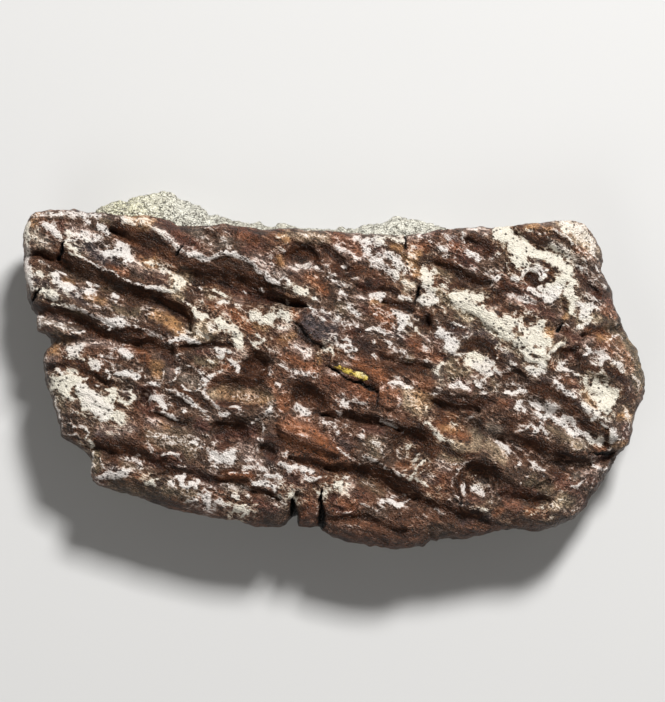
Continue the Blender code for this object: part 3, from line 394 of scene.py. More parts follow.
        (0.8, 0.5, 0.2, 14.8, 1.2, 14.5, 2, 13.9, 2.6, 13.3, 3.1, 12.9),
        (0.6, 0.3, 4.4, 13.7, 5.4, 13.2, 5.9, 12.9), (0.9, 0.35, 3.2, 9, 4.2, 9, 5, 9.1, 4.4, 8.7),
        (0.6, 0.3, 3.2, 6.8, 3.8, 6.2), (0.8, 0.35, 2.2, 3.8, 2.8, 3.9, 3.4, 3.9),
        (0.7, 0.25, 2.4, 0.9, 3.6, 0.6),
        (0.7, 0.6, -0.6, -1.6, 0.6, -1.8, 1.8, -2, 3, -2.6, 4.2, -3, 4.6, -3.4),
        (0.5, 0.4, 1, -2.6, 3.6, -3.4), (0.7, 0.4, 8.8, 2.4, 8.2, 3),
        (0.6, 0.5, -5, -12.3, -4.2, -12.8, -3.6, -13.2, -4.8, -13.4),
        (0.7, 0.6, -3.4, -15, -2.8, -15.4, -2.4, -16.2, -3.2, -16.6),
        (0.9, 0.6, 0.2, -14.9, 0.8, -15.1, 1.6, -15.3, 1.9, -15.8, 0.8, -15.8),
        (0.7, 0.5, 3.4, -7, 4.6, -6.9, 5.2, -7.1), (0.5, 0.5, 3, -14.4, 3.8, -14.6),
        (0.7, 0.15, 9.6, 15, 11, 15.2, 12.3, 15.4),
        (0.8, 0.5, 13.2, 13.8, 14.2, 13.5, 14.6, 12.8, 15.2, 12, 15.8, 11.4),
        (0.8, 0.6, 16.4, 13.6, 17.6, 13.6, 18, 13),
        (0.8, 0.35, 21.6, 9, 22.2, 8.4, 22.9, 7.8, 23.5, 7.2), (0.7, 0.5, 21.9, 10.2, 22.5, 9.8),
        (0.9, 0.5, 19, 9.4, 20.2, 8.7, 21.4, 8.4),
        (0.9, 0.5, 9, 2.6, 9.8, 2, 10.4, 1.5, 11.2, 1.2, 11.8, 0.9, 12.2, 0.9),
        (0.5, 0.35, 11.3, 3.4, 11.8, 2.6, 12, 2.2),
        (0.8, 0.15, 14.2, -1.6, 14.8, -1.9, 15.4, -2, 15.6, -2.3, 15.4, -3),
        (0.5, 0.5, 14, -3.7, 16, -4.2, 17.8, -3.7), (0.8, 0.4, 22, 7, 22.8, 6.7, 23.4, 6.3, 24, 6),
        (0.6, 0.4, 18.8, -3.8, 19.4, -4.2, 20, -3.8), (0.7, 0.6, 9.4, -7.6, 9.8, -8.2),
        (0.7, 0.5, 12.4, -12.4, 12.6, -13, 12, -12.6), (0.7, 0.4, 19, -13.9, 21.2, -13.9, 22.4, -14.2),
        (0.6, 0.5, 19.6, -14.8, 20, -15.4, 20.6, -15.8), (0.6, 0.5, 15.4, -14.6, 16.4, -14.8),
        (0.7, 0.4, 22.2, 14.3, 23.4, 14.4), (0.7, 0.5, 22.2, 10.2, 22.7, 9.7),
        (0.8, 0.35, 21.8, 9, 22.6, 8.2, 23.5, 7.2), (0.8, 0.3, 21.2, 8, 21.8, 7.4),
        (0.8, 0.5, 23.6, 6.4, 24.2, 5.9, 24.8, 5.6), (0.7, 0.5, 27.6, 10.8, 28.4, 10.4, 28.2, 9.6),
        (0.8, 0.4, 29.6, 8.6, 31, 8.2, 31.4, 7.6), (0.7, 0.5, 26.4, 3.9, 27.4, 3.2, 26.6, 2.4),
        (0.8, 0.5, 26.4, 1.5, 27.4, 1.5), (0.8, 0.5, 32.2, -0.9, 33.2, -1.7, 33.4, -2.4),
        (0.7, 0.4, 27, -1.6, 27.6, -2.4, 27.2, -3), (0.6, 0.5, 25, -12, 25.6, -13, 27.6, -13.8),
        (0.6, 0.4, 28.6, -12.4, 29.6, -12.8), (0.6, 0.5, 28.2, -14.6, 28.4, -15.2),
        (0.7, 0.4, 32.9, -7.4, 33, -6.6), (0.7, 0.4, 29.4, -10, 30.8, -10),
        (0.9, 0.8, -21.4, -2.6, -20.8, -3.6, -20.6, -4.8), (0.9, 0.7, -19.6, -10.6, -17.6, -10.2),
    )),
    "rust": ((0.26, 0.092, 0.036), (
        (0.8, 0.35, -25, 11.4, -23.4, 10.7), (0.7, 0.25, -24.5, 14.9, -22.6, 14.4, -21.8, 14.1),
        (0.6, 0.25, -22.2, 12.6, -21.2, 12.1),
        (0.9, 0.4, -22.9, 2.1, -22, 1.7, -21.4, 1.4, -21.2, 0.8),
        (0.5, 0.5, -22.6, -12.3, -21.4, -12.4),
        (0.7, 0.5, -20.2, 13.2, -19, 12.6, -18.2, 12, -17.8, 11.4), (0.8, 0.3, -20.8, 1, -20.6, 0.2),
        (0.8, 0.4, -11.4, 6.2, -10.6, 5.4, -9.8, 4.7, -9.2, 4.1), (0.6, 0.5, -13.4, 6.8, -12.2, 6.6),
        (0.6, 0.25, -12, 0.1, -11.9, -0.5), (0.6, 0.4, -6.8, -1.8, -6.2, -3.4),
        (0.9, 0.35, -12.6, -12.3, -11.4, -12.3, -10.2, -12.3, -9.2, -12.2),
        (0.5, 0.4, -10.4, 15, -8.8, 14.2), (0.9, 0.6, -2.6, 10.2, -1.8, 9.6, -1.2, 8.9, -0.8, 8.5),
        (0.5, 0.5, 0.2, 14.8, 1.2, 14.5, 2, 13.9, 2.6, 13.3, 3.1, 12.9),
        (0.8, 0.3, -4.4, 6.2, -4, 5.4),
        (0.7, 0.5, 4.6, 6.9, 5.4, 6.2, 5.8, 5.4, 6.2, 4.7, 6.6, 5.4, 6.4, 6.6),
        (0.8, 0.3, -5.6, 1.2, -4.6, 0.8, -3.4, 0.4, -2.4, 0, -1.6, -0.4),
        (0.7, 0.5, -6, -3.6, -5.6, -4.4, -5.4, -3.2),
        (0.5, 0.6, -0.6, -1.6, 0.6, -1.8, 1.8, -2, 3, -2.6, 4.2, -3, 4.6, -3.4),
        (0.95, 0.5, 2.6, 0.3, 3.6, -0.1, 4.6, -0.5, 5.4, -0.8, 5.2, -1.4, 5.9, -1.4),
        (0.8, 0.6, 5.8, -2.9, 6.4, -3.3, 7, -3.7, 6, -3.9),
        (0.8, 0.6, -5, -6.2, -4, -6.4, -3, -6.8, -2, -7.4, -1, -8.2, -0.4, -9, 0.1, -9.4),
        (0.5, 0.6, -3.4, -15, -2.8, -15.4, -2.4, -16.2, -3.2, -16.6), (0.6, 0.4, 7.6, -11, 8.6, -11),
        (0.7, 0.45, 9, 13.5, 9.8, 13.6, 10.4, 13.6), (0.5, 0.4, 13.2, 13.8, 14.2, 13.5),
        (0.7, 0.45, 9, 2.6, 9.8, 2, 10.4, 1.5, 11.2, 1.2, 11.8, 0.9), (0.5, 0.4, 9.2, 3.4, 9.8, 3),
        (0.5, 0.6, 9.4, -1.6, 10.2, -2.4, 11, -1.6), (0.8, 0.5, 12, -6.6, 13, -7, 14, -7.3, 15, -7.8),
        (0.7, 0.4, 12.8, -6, 13.6, -5.6), (0.8, 0.4, 12.4, -12.4, 12.6, -13),
        (0.6, 0.3, 18.8, -3.8, 19.4, -4.2), (0.5, 0.4, 19.6, -14.8, 20.6, -15.8),
        (0.5, 0.4, 18.2, -16.2, 18.8, -16.2), (0.5, 0.4, 21.9, 10.2, 22.5, 9.8),
        (0.7, 0.35, 27.4, 13.4, 28.4, 13.3, 29.2, 12.5), (0.7, 0.4, 31.2, 6.8, 30.4, 6.6, 31.8, 6),
        (0.7, 0.6, 30.4, 3.6, 31.4, 3, 30.4, 2.4, 31.4, 1.8), (0.6, 0.5, 32.4, 2.6, 33.2, 1, 33.6, 0),
        (0.8, 0.3, 24.5, 0.7, 24.6, 0), (0.5, 0.4, 25.6, -1.4, 26.6, -1.6),
        (0.8, 0.3, 29.6, -8.9, 30.6, -9), (0.7, 0.5, 28.8, 4, 30.4, 4),
        (0.6, 0.4, 22, -16.2, 24, -16.4), (0.9, 0.7, -5.4, -8.3, -4, -8.7, -2.4, -9.2, -0.8, -9.7),
        (1, 1, -5.2, -6.8, -3.6, -7.4, -1.8, -8.2, -0.4, -9.2), (0.9, 0.8, 5.6, -3, 7, -3.4),
        (0.9, 0.7, 3.4, -2.6, 4.4, -3.2), (0.9, 0.6, 1.2, -15.1, 2, -15.4),
    )),
    "orange": ((0.46, 0.24, 0.10), (
        (0.8, 0.35, -33.4, 17.3, -33.8, 16.3), (0.6, 0.6, -22.3, 16.8, -21.3, 16),
        (0.6, 0.25, -30.2, 9.9, -29.3, 9.5), (0.6, 0.35, -27.6, 7.9, -25.8, 7.4),
        (0.7, 0.4, -31.3, 2.3, -31.4, 1.8), (0.6, 0.3, -20.9, 16.6, -20.6, 16),
        (0.9, 0.3, -20.8, 12, -20.2, 11.6, -20, 12.1),
        (0.9, 0.5, -20, 6, -19, 5.6, -18.2, 5.1, -17.6, 4.6, -17.3, 4.1),
        (0.8, 0.35, -20.2, 0.3, -19.7, 0.1, -19.8, -0.6, -19.3, -0.9),
        (0.6, 0.4, -8.4, 4.6, -7.6, 4.4),
        (0.6, 0.5, -12.4, -2.9, -11.4, -3.2, -10.6, -3.3, -9.9, -3.1, -9, -3.3, -8.2, -3.2, -7.6,
         -3.7), (0.6, 0.2, -19.2, -6.4, -18.6, -6.8), (0.7, 0.3, -5.8, 14.9, -5.2, 14.5),
        (0.6, 0.3, -6, 12.2, -5.6, 11.6), (0.7, 0.25, 6.8, 13.6, 7.8, 13.4),
        (0.9, 0.3, 8.2, 12.3, 8.6, 11.9, 8.8, 12.4), (0.8, 0.1, 4.4, 7.4, 5.8, 7.2),
        (0.6, 0.2, -1.7, 1, -1.5, 0.6), (0.5, 0.5, -4.8, 3.4, -5.6, 3),
        (0.8, 0.3, 9.2, 12.9, 9.8, 12.8), (0.7, 0.25, 9.3, 12, 9.4, 11.4, 9.6, 10.6, 9.2, 10.2),
        (0.6, 0.3, 22.2, 16.2, 23, 16.1), (0.6, 0.5, 9.2, -3.2, 10, -3.4, 10.4, -3.8, 9.6, -4.4),
        (0.6, 0.4, 12.6, -6.8, 13.6, -7), (0.8, 0.1, 23.9, 3.8, 23.9, 3.5),
        (0.7, 0.4, 22.2, 16.1, 23, 16.1), (0.6, 0.3, 23.8, 15.6, 24.4, 15.5),
        (0.7, 0.35, 24.1, 4, 24.6, 3.8), (0.8, 0.25, 26, 5.5, 26.2, 5.7),
        (0.9, 0.4, 32.4, -5.4, 33.2, -5, 33, -4.6), (0.6, 0.3, 32, -8.6, 32.8, -8.5),
        (0.7, 0.3, 30.2, 3.4, 31, 3.2), (0.6, 0.3, 28.4, -2.4, 28.6, -3.4, 29.6, -4.6),
        (0.8, 0.6, -22.8, 16.7, -20.6, 16.4), (0.8, 0.5, -21, 11.9, -20.2, 11.8),
    )),
}

# Dark brown, partly the bone's own dark matter in gaps and partly painted shade on the shaded
# sides of the ridges and in the grooves and pits: brush strokes as above, of which those stronger
# than 1 also cut through the crust and darken further
SHADES = (
    (1, 0.65, -33.5, 6.8, -32.5, 6.7, -31, 6.6, -30, 6.3, -29, 5.6, -28, 4.9, -27, 4.4, -26, 4, -25,
     3.8, -23.8, 3.6, -22.8, 4, -21.8, 3.8),
    (1, 0.95, -30.9, 12, -29.5, 11.5, -28, 10.8, -26.5, 10.2, -25, 9.7, -23.5, 9.1, -22, 8.6, -21,
     8.2), (1, 0.2, -34.6, 13.1, -33.6, 13.2, -32.4, 13.3),
    (0.6, 0.4, -34.2, 12.7, -32.6, 12.6, -31.6, 12.6),
    (0.7, 0.15, -32.8, 15.6, -31.8, 15, -30.9, 14.6),
    (1, 0.8, -25, 15.9, -23.6, 15.6, -22, 15, -21, 14.6),
    (0.7, 0.7, -22.6, 14.6, -21.6, 13.6, -20.8, 13), (0.6, 0.1, -30, 16.2, -28.4, 16.1),
    (0.6, 0.25, -26, 8.6, -25.2, 8.5), (0.8, 0.4, -32.4, 3.7, -31, 3.4, -29.8, 3.2, -28.8, 3.4),
    (0.9, 0.5, -31.6, 0.2, -30.8, 0.4, -30, 0.7, -29.2, 0.5, -28.4, 0.2, -27.6, -0.3, -26.6, -0.6, -26,
     -1.3, -25.2, -1.8, -24.4, -2.2), (0.7, 0.5, -28.2, -1.2, -27, -1.6, -26.4, -2.4),
    (0.6, 0.4, -23.8, 0.6, -23.2, 0.2, -22.6, 0.4, -22.2, 0),
    (0.9, 0.1, -22.8, 2.4, -21.6, 2.3, -21, 2.4), (0.6, 0.25, -24, 7.4, -22.6, 7.5, -21.6, 7.6),
    (0.9, 0.2, -24.4, -3.9, -24, -4.2, -23.3, -4.5), (0.9, 0.3, -21.4, -0.8, -21.4, -1.6),
    (0.6, 0.3, -29.8, -5.6, -28.8, -5.4), (0.9, 0.2, -29.4, -7.2, -28.6, -7, -28, -7.5),
    (0.9, 0.2, -29.3, -7.8, -28.2, -7.9, -27.8, -8.5), (1, 0.45, -26.4, -8.2, -26, -8.7, -25.6, -9.2),
    (0.9, 0.7, -25.4, -8.4, -24.4, -8.8, -23.2, -9.2, -22, -9.4, -21.2, -9.7),
    (0.5, 0.4, -25.2, -10.4, -24.4, -10.6, -23.8, -10.8), (0.7, 0.1, -25.5, -10.9, -24.4, -11),
    (0.6, 0.2, -26.4, -12.4, -25, -12.7, -23.6, -12.7), (0.6, 0.3, -22.5, -5.2, -22, -5),
    (0.9, 0.1, -17, 13.6, -17.4, 13.1), (1, 0.6, -21, 14.9, -20, 14.5, -19.2, 13.8, -18.3, 13.3),
    (0.8, 0.5, -18.2, 13, -17, 12.4, -16.6, 11.8), (0.5, 0.3, -19.6, 16.6, -17.8, 15.4, -16, 14),
    (1, 0.6, -19.5, 7.9, -18.5, 7.6, -17.5, 7, -16.6, 6.4, -16, 5.8, -15.7, 5.2),
    (0.8, 0.35, -14.2, 15.3, -13.6, 15.1, -13, 14.4), (0.6, 0.15, -11.2, 15.6, -10.9, 14.9, -11, 14.2),
    (1, 1.1, -15.8, 11.4, -14.8, 11, -13.5, 10.5, -12, 10.4, -10.5, 10, -9.5, 10, -8.6, 9.6, -7.8, 9.2,
     -7, 9.1), (0.9, 0.35, -13, 12, -12, 12.2, -11, 12.1, -10.2, 11.9),
    (0.9, 0.3, -16.6, 11.9, -16.2, 11.3), (0.7, 0.5, -11.5, 8.8, -10, 8.6, -9, 8.2, -8, 7.8, -7, 7.6),
    (0.6, 0.3, -20.6, 5.2, -19.2, 4.5, -18.4, 3.9), (0.8, 0.1, -16.3, 3.7, -16, 3.3),
    (0.9, 0.15, -12.4, 3.7, -12.2, 3.6), (0.9, 0.15, -9.8, 2.5, -9.6, 2.5),
    (0.9, 0.3, -12.8, 2.5, -11.8, 2.5, -11.2, 2.4),
    (0.95, 0.4, -18.9, 1.6, -17.6, 1.9, -16.2, 2.2, -15, 2.5, -14, 2.5, -13.2, 2.7),
    (0.8, 0.5, -18.6, 1.2, -18, 0.6, -17.6, 0.2), (0.5, 0.5, -16.8, 1, -15.8, 0.8),
    (0.8, 0.25, -16.3, -0.4, -16, -0.4), (1, 0.6, -9.6, 0.6, -8.6, 0.9, -8, 0.3, -9.2, 0, -10, -0.4),
    (1, 0.5, -13.2, -1.6, -12, -1.5, -11, -1.6, -10, -1.4, -9, -1, -8.2, -1.6, -7.4, -0.6),
    (0.9, 0.4, -13.6, -2.2, -12.8, -2.2), (0.8, 0.3, -12.8, -4.2, -11.6, -4, -10.6, -4.1),
    (0.7, 0.4, -9.8, -4.6, -9.4, -4.4), (0.8, 0.2, -20.8, -2.3, -19.4, -2.5),
    (0.9, 0.35, -18.8, -1.9, -18.2, -2.3, -17, -2.4, -16.4, -3, -15.6, -3.4, -14.8, -3.8, -14, -4.3),
    (0.9, 0.3, -17.8, -3.9, -17.4, -4.4, -16.6, -3.9, -16.2, -4.2), (0.9, 0.3, -18.4, -5, -17.8, -4.9),
    (0.9, 0.2, -20.8, -5.2, -19.8, -5.4, -18.8, -5.7, -17.8, -6.1, -16.8, -6.5),
    (0.7, 0.3, -16.8, -5.6, -15.8, -5.6), (1, 0.6, -13, -6.4, -12, -6.6, -11, -6.6, -10, -6.6),
    (0.5, 0.6, -12.6, -7.6, -11, -7.4, -9.4, -7.4), (0.7, 0.5, -12.6, -9, -11.8, -8.8),
    (0.7, 0.25, -8.4, -6.8, -8, -7.1),
    (0.9, 0.5, -7.6, -8.2, -6.6, -8.2, -6.4, -9, -7.2, -9.6, -6.8, -10.3),
    (0.9, 0.25, -8, -9.3, -7.6, -8.7), (0.8, 0.5, -19.2, -10.6, -18.4, -10.4, -17.8, -10.6),
    (0.8, 0.2, -20, -9.8, -19.3, -9.6), (0.6, 0.2, -20.6, -8.6, -20.3, -9.4),
    (0.8, 0.4, -19.6, -11.4, -18, -11.4, -16.8, -11.6, -15.6, -11.8, -14.6, -12.2),
    (0.8, 0.5, -14.4, -12.5, -13.4, -12.6, -12.8, -13), (1, 0.2, -16.5, -12.6, -16.3, -12.6),
    (0.9, 0.15, -12.6, -11.8, -11.6, -11.6, -10.6, -11.6, -9.6, -11.6),
    (0.9, 0.2, -12.6, -12.8, -11, -12.7, -10, -12.9, -9.2, -13.2, -8.2, -13.7, -7.4, -14, -6.6, -14.3),
    (0.8, 0.15, -12.2, -14.4, -11, -15, -10, -15.2, -9, -15.2),
    (1, 0.35, -6, 8.6, -5.4, 8.2, -4.6, 7.6, -3.8, 7.4, -3.2, 7.2),
    (1, 0.6, -5, 12.9, -4, 13.2, -3, 13.3, -2.4, 13, -1.8, 12.3, -1.6, 11.8),
    (0.8, 0.5, -4.8, 12.4, -3.2, 12.6, -2.2, 12.4), (0.8, 0.05, -4.4, 9.2, -4.3, 8.4),
    (0.85, 0.45, -1, 13.8, -0.4, 13.2, 0.3, 12.6, 0.9, 12.1, 0.4, 11.5),
    (0.9, 0.35, 0.6, 10.6, 1.4, 10.4, 2.2, 10.7, 2.6, 10.9),
    (0.9, 0.3, 2.2, 11.7, 2.8, 11.3, 3.4, 11.2), (0.9, 0.35, 4.2, 10.6, 4.7, 10.3),
    (0.8, 0.15, 3.9, 11, 4.1, 10.9), (0.8, 0.35, 3.2, 9, 4.2, 9, 5, 9.1, 4.4, 8.7),
    (0.95, 0.3, 5.8, 9.6, 6.4, 8.9, 7.2, 8.5), (0.9, 0.3, 5.8, 7.6, 6.8, 7.3, 7.6, 7),
    (0.9, 0.3, 8.3, 7.1, 8.9, 6.9), (1, 0.1, 8.2, 14.9, 8.2, 14.3, 8.2, 13.9),
    (1, 0.2, -4, 4.8, -3.6, 4.5, -3.2, 3.9, -2.7, 3.2, -2, 2.7, -1.4, 2.5),
    (0.8, 0.35, 2.2, 3.8, 2.8, 3.9, 3.4, 3.9),
    (0.8, 0.5, 2.6, 2.6, 3.6, 2.4, 4.4, 2, 3.4, 1.8, 2.8, 1.6),
    (0.8, 0.4, 4.4, 1.6, 5.4, 1.5, 5.2, 2.4),
    (1, 0.6, -4.6, -2, -3.6, -2.1, -2.6, -2.3, -1.8, -2.6, -1, -3.2, -0.8, -4.2, -1.8, -4),
    (1, 0.6, -4.2, -3.2, -3, -3.2, -1.8, -3.4), (0.7, 0.15, -3.2, -1.3, -2.6, -1.5),
    (1, 0.15, 1.2, -1.1, 1.8, -1.4, 2.3, -1.6), (1, 0.25, 3.2, -1.8, 3.9, -2.1, 4.6, -2.4, 5.1, -2.8),
    (0.9, 0.1, -0.5, 0.1, -0.2, -0.1), (0.9, 0.1, 5, -2.9, 5, -3.6, 5, -4.4, 4.9, -5),
    (0.8, 0.2, 0.2, -4.3, 0.8, -4.8), (0.9, 0.3, 6.2, -0.8, 7, -0.2, 8, 0.1, 9, 0.3),
    (0.8, 0.3, 8.2, -1.4, 9, -1.2), (0.6, 0.2, 6, -1.1, 6.6, -1.4),
    (0.9, 0.3, 1.2, -5.2, 2.6, -5, 4, -5.4, 5, -5.8, 5.6, -6.5, 6.6, -7),
    (0.55, 0.5, -5.8, -8.4, -4.6, -8.9, -3.4, -9.3, -2, -9.7, -0.6, -10.1, 0.4, -10.2),
    (0.85, 0.5, -3.9, -10.4, -3, -10.6, -1.8, -10.9, -0.4, -11.2),
    (1, 0.6, 0.6, -11.4, 2.4, -11.5, 3.6, -11.5, 4.8, -11.6, 5.6, -12, 6.6, -12.6, 7.8, -13, 9, -13.3),
    (0.8, 0.25, -2.4, -13.2, -1.4, -12.7), (0.7, 0.1, 0.8, -12.8, 1.3, -12.9, 1.5, -13.3),
    (1, 0.35, -4.9, -15.2, -4.5, -16, -4.6, -16.6), (1, 0.3, -1.2, -15.6, -1, -16.4, -0.6, -16.9),
    (0.8, 0.15, -0.4, -14.6, -0.5, -15.4), (1, 0.6, 6.6, -7.4, 7.4, -7.4, 8.4, -7.3, 9, -7.6),
    (0.8, 0.5, 0.6, -16.9, 2, -17, 3, -16.6, 4.4, -17), (0.8, 0.3, -5.8, -9.2, -5.2, -8.9),
    (1, 0.5, 15.1, 14.3, 15.8, 14.6, 16.6, 14.3, 17.3, 14, 17.8, 13.4, 17.3, 12.8),
    (0.7, 0.25, 18.2, 15.6, 18, 16),
    (1, 0.4, 11.2, 12.2, 12, 12.3, 12.8, 11.9, 13.4, 11.4, 14.2, 10.9, 15, 10.2, 15.8, 9.7, 16.6, 9.9,
     17.2, 10.1), (0.9, 0.4, 13.6, 9.9, 14, 9.4, 14.6, 9.2, 14.8, 9),
    (0.8, 0.15, 17.4, 9.9, 18.1, 9.6), (0.8, 0.3, 17.2, 8.9, 18.2, 8.4, 17.8, 8.6),
    (1, 0.5, 19, 9.5, 19.4, 9, 20.2, 8.7, 20.9, 8.5), (1, 0.3, 18.8, 8.6, 18.8, 8, 18.6, 7.4),
    (0.9, 0.2, 10.5, 12.9, 10.3, 12.5, 10.5, 12.1), (0.8, 0.2, 10.2, 14.4, 10, 14),
    (1, 0.1, 9.8, 8.9, 9.5, 8.2, 9.2, 7.4, 9, 7), (0.8, 0.3, 12.2, 9.6, 12.4, 9.2),
    (0.7, 0.3, 20.7, 15.3, 21.4, 15.2), (0.8, 0.2, 20.7, 14.8, 20.7, 14.8),
    (0.8, 0.15, 18.6, 14.2, 19, 13.4, 19.6, 12.4, 20, 12),
    (1, 0.6, 21.8, 15, 22.6, 14.6, 23.6, 14.6, 24.2, 14.4), (0.9, 0.35, 22.8, 13.8, 23.6, 13.4),
    (0.8, 0.25, 20, 11.4, 20.7, 11.4, 20.8, 11), (0.7, 0.3, 22.4, 12, 22, 11.8),
    (0.9, 0.3, 23.6, 12.1, 23.8, 11.9), (0.9, 0.1, 23.2, 9.5, 23.9, 9.5),
    (0.8, 0.3, 21.4, 8.4, 21.8, 7.9, 22, 7.2), (0.8, 0.2, 10.2, 6.4, 10.1, 6.2),
    (0.8, 0.25, 11.6, 6.2, 11.8, 6.4), (0.8, 0.2, 9.1, 6.2, 9.2, 6.4),
    (1, 0.4, 10.1, 5.4, 10.6, 5.6, 11.1, 5.8), (1, 0.4, 10.2, 4.6, 10.8, 5, 10.8, 4.5, 11.3, 4.5),
    (1, 0.2, 9.2, 4.9, 9.6, 4.7), (1, 0.35, 12.3, 4.8, 12.8, 4.7, 13, 4.5),
    (0.9, 0.35, 13.6, 4.2, 14.4, 4.2, 15, 4.1),
    (1, 0.5, 14.6, 1.9, 15, 2.2, 15.6, 2.5, 16.4, 2.7, 17.2, 2.5, 17.8, 2, 18.1, 1.5, 18.3, 1),
    (0.9, 0.35, 15.6, 3.2, 16.4, 3.2, 17, 3), (0.7, 0.15, 14.4, 0.7, 14.4, 0.3),
    (0.9, 0.2, 12.3, 1.5, 12.6, 1.2), (1, 0.5, 9, 0.2, 9.8, 0, 10.6, -0.4),
    (1, 0.4, 9.2, -0.4, 10, -0.5), (0.8, 0.25, 11, -0.8, 11.4, -1.2),
    (0.9, 0.15, 12.3, -2.8, 12.8, -2.4),
    (1, 0.5, 12, -3.5, 13, -3.3, 14, -3.7, 15, -4.1, 16, -4.2, 17, -3.9, 17.8, -3.7),
    (0.9, 0.6, 11.4, -3.9, 12.4, -4.4, 14, -4.7), (0.9, 0.15, 14.4, -3.3, 15.2, -3.2),
    (0.9, 0.1, 16.9, -0.9, 17.4, -1),
    (0.9, 0.2, 19, -1.4, 19.6, -0.9, 20.2, -0.6, 20.6, -0.4, 21.4, -0.8, 22, -1.4),
    (0.8, 0.25, 18.7, 1.1, 18.9, 0.5, 19.2, 0.1), (0.8, 0.15, 20.2, -0.1, 20.9, 0.2),
    (0.9, 0.3, 17.2, 7.3, 18, 7.2, 18.8, 7.4, 19.4, 7.9), (0.9, 0.25, 19.6, 6.4, 20.2, 6.6),
    (0.8, 0.2, 19.9, 5.7, 19.9, 5.7), (0.8, 0.2, 20.8, 5.8, 20.9, 6.4),
    (0.9, 0.2, 21.6, 5.3, 22.4, 5.4, 22.8, 5.8),
    (1, 0.6, 22.2, -2.6, 22.8, -2.4, 23.4, -2.2, 24.2, -2.4, 23.7, -3.2),
    (0.8, 0.2, 22.1, -1.6, 22.6, -1.9), (1, 0.5, 9, -6.8, 9.8, -6.9, 10.4, -7.4, 10.9, -8, 11.1, -8.8),
    (0.7, 0.5, 9.4, -7.6, 9.8, -7.8),
    (1, 0.3, 11.4, -9, 12.4, -9, 13, -9.6, 14, -10, 15, -9.9, 16.2, -9.9),
    (0.9, 0.45, 11, -9.6, 11.4, -10.4),
    (1, 0.6, 15.6, -10.8, 16.6, -11, 17.6, -11.4, 18.4, -12, 19, -12.8),
    (0.9, 0.4, 15.4, -11.4, 16.6, -11.8, 18, -12.8), (1, 0.3, 14.4, -12.2, 14, -13.2, 14.1, -13.9),
    (1, 0.35, 19, -13.9, 20.2, -13.8, 21.2, -13.9, 22.4, -14.2),
    (0.8, 0.5, 21.6, -14.6, 22.6, -14.8, 23.4, -14.6), (0.8, 0.3, 19.8, -16.8, 20.4, -16.6),
    (0.9, 0.2, 20.2, -9, 20.5, -9.3), (1, 0.5, 20.6, -7.8, 21.6, -8, 22.6, -8.4, 23.6, -8.6, 24.2, -9),
    (0.9, 0.5, 19, -6.4, 20, -6.2, 20.2, -7), (0.8, 0.4, 17, -5.8, 16.8, -7),
    (0.8, 0.3, 14.8, -5.4, 15.6, -5), (0.8, 0.2, 21.2, -6.3, 21.8, -5.6),
    (0.9, 0.25, 19.6, -13, 20.3, -13.2), (1, 0.5, 9.8, -15, 10.8, -15.2, 12, -15.4, 12.8, -15.7),
    (0.8, 0.2, 12.2, -14.9, 12.8, -15.2), (1, 0.4, 13.4, -16.4, 14.4, -16.6, 15.2, -16.6),
    (0.7, 0.3, 16, -17.2, 17.6, -17.3), (0.6, 0.05, 10.2, -10.9, 9.7, -11.4),
    (1, 0.5, 27.8, -6, 28.4, -6.6, 29.4, -6.6, 30.4, -6.9, 30.8, -7.4),
    (1, 0.4, 24.4, 13.4, 25, 12.9, 26, 12.6), (0.7, 0.5, 23.4, 14.2, 24.4, 13.8),
    (0.8, 0.3, 25.2, 14.8, 26.2, 14.4, 26.9, 13.8, 27.3, 13.2),
    (1, 0.35, 23.6, 12.1, 24.2, 11.5, 24.6, 10.9, 24.4, 10.2, 23.9, 9.5),
    (0.8, 0.2, 24.8, 10.1, 25.1, 9.7), (0.8, 0.15, 25.9, 9.1, 26.1, 9.1),
    (0.6, 0.1, 26.2, 8.6, 26.7, 8.3), (0.8, 0.15, 29.3, 11.5, 29.8, 10.9, 30.2, 10.7),
    (0.6, 0.4, 28, 10.3, 28.2, 9.6, 28.9, 9), (0.8, 0.35, 29.6, 8.7, 30.4, 8.4, 31, 8.4),
    (0.8, 0.1, 28.4, 8, 29.6, 8), (1, 0.25, 29.1, 6.4, 29.2, 6.3), (0.9, 0.15, 26, 5, 25.7, 4.5),
    (0.9, 0.3, 28.3, 3.9, 29, 4.3, 30, 4.4, 31, 4), (0.6, 0.4, 30.6, 5.1, 31.4, 5, 32, 4.6),
    (0.9, 0.25, 25.9, 2.9, 26.4, 2.7), (1, 0.3, 24.8, 1.5, 25.4, 1.9, 26.2, 1.9, 27.2, 2, 27.8, 2.4),
    (0.9, 0.4, 27.4, 1.4, 28.2, 0.8, 28, 0.2, 28.1, -0.5),
    (1, 0.5, 28.4, 0.1, 29.2, -0.1, 30, -0.3, 31, -0.4, 32, -0.7, 32.8, -1.3, 33.2, -1.9),
    (1, 0.2, 29.4, -1.7, 29.9, -1.8), (0.9, 0.35, 32.6, -2.8, 33.4, -3, 34, -3, 32.6, -4),
    (1, 0.6, 24, -2.6, 25, -3, 26, -3.6, 26.8, -4.3, 27.2, -4.9), (0.8, 0.4, 22.6, -2.2, 23.6, -2.4),
    (0.9, 0.3, 25.4, -5.3, 26.2, -5.5), (0.7, 0.3, 29.2, -7.4, 29.6, -7.5),
    (0.9, 0.2, 30.7, -8.2, 31, -8.8), (0.9, 0.15, 29.2, -9, 29.6, -9.5, 30.6, -9.5, 31.6, -9.4),
    (0.8, 0.15, 31.6, -8.5, 32.4, -8.4),
    (1, 0.5, 21, -7.8, 22.2, -8.4, 23.6, -9, 25, -9.3, 26.2, -9.8),
    (1, 0.5, 25, -10.4, 26.4, -10.4, 27.6, -10, 28.4, -10.6), (0.8, 0.25, 27.6, -9.6, 28.6, -9.6),
    (0.7, 0.2, 24.4, -11.8, 25.2, -11.8, 25.6, -12.4), (0.9, 0.2, 26.9, -12.7, 27.3, -12.9),
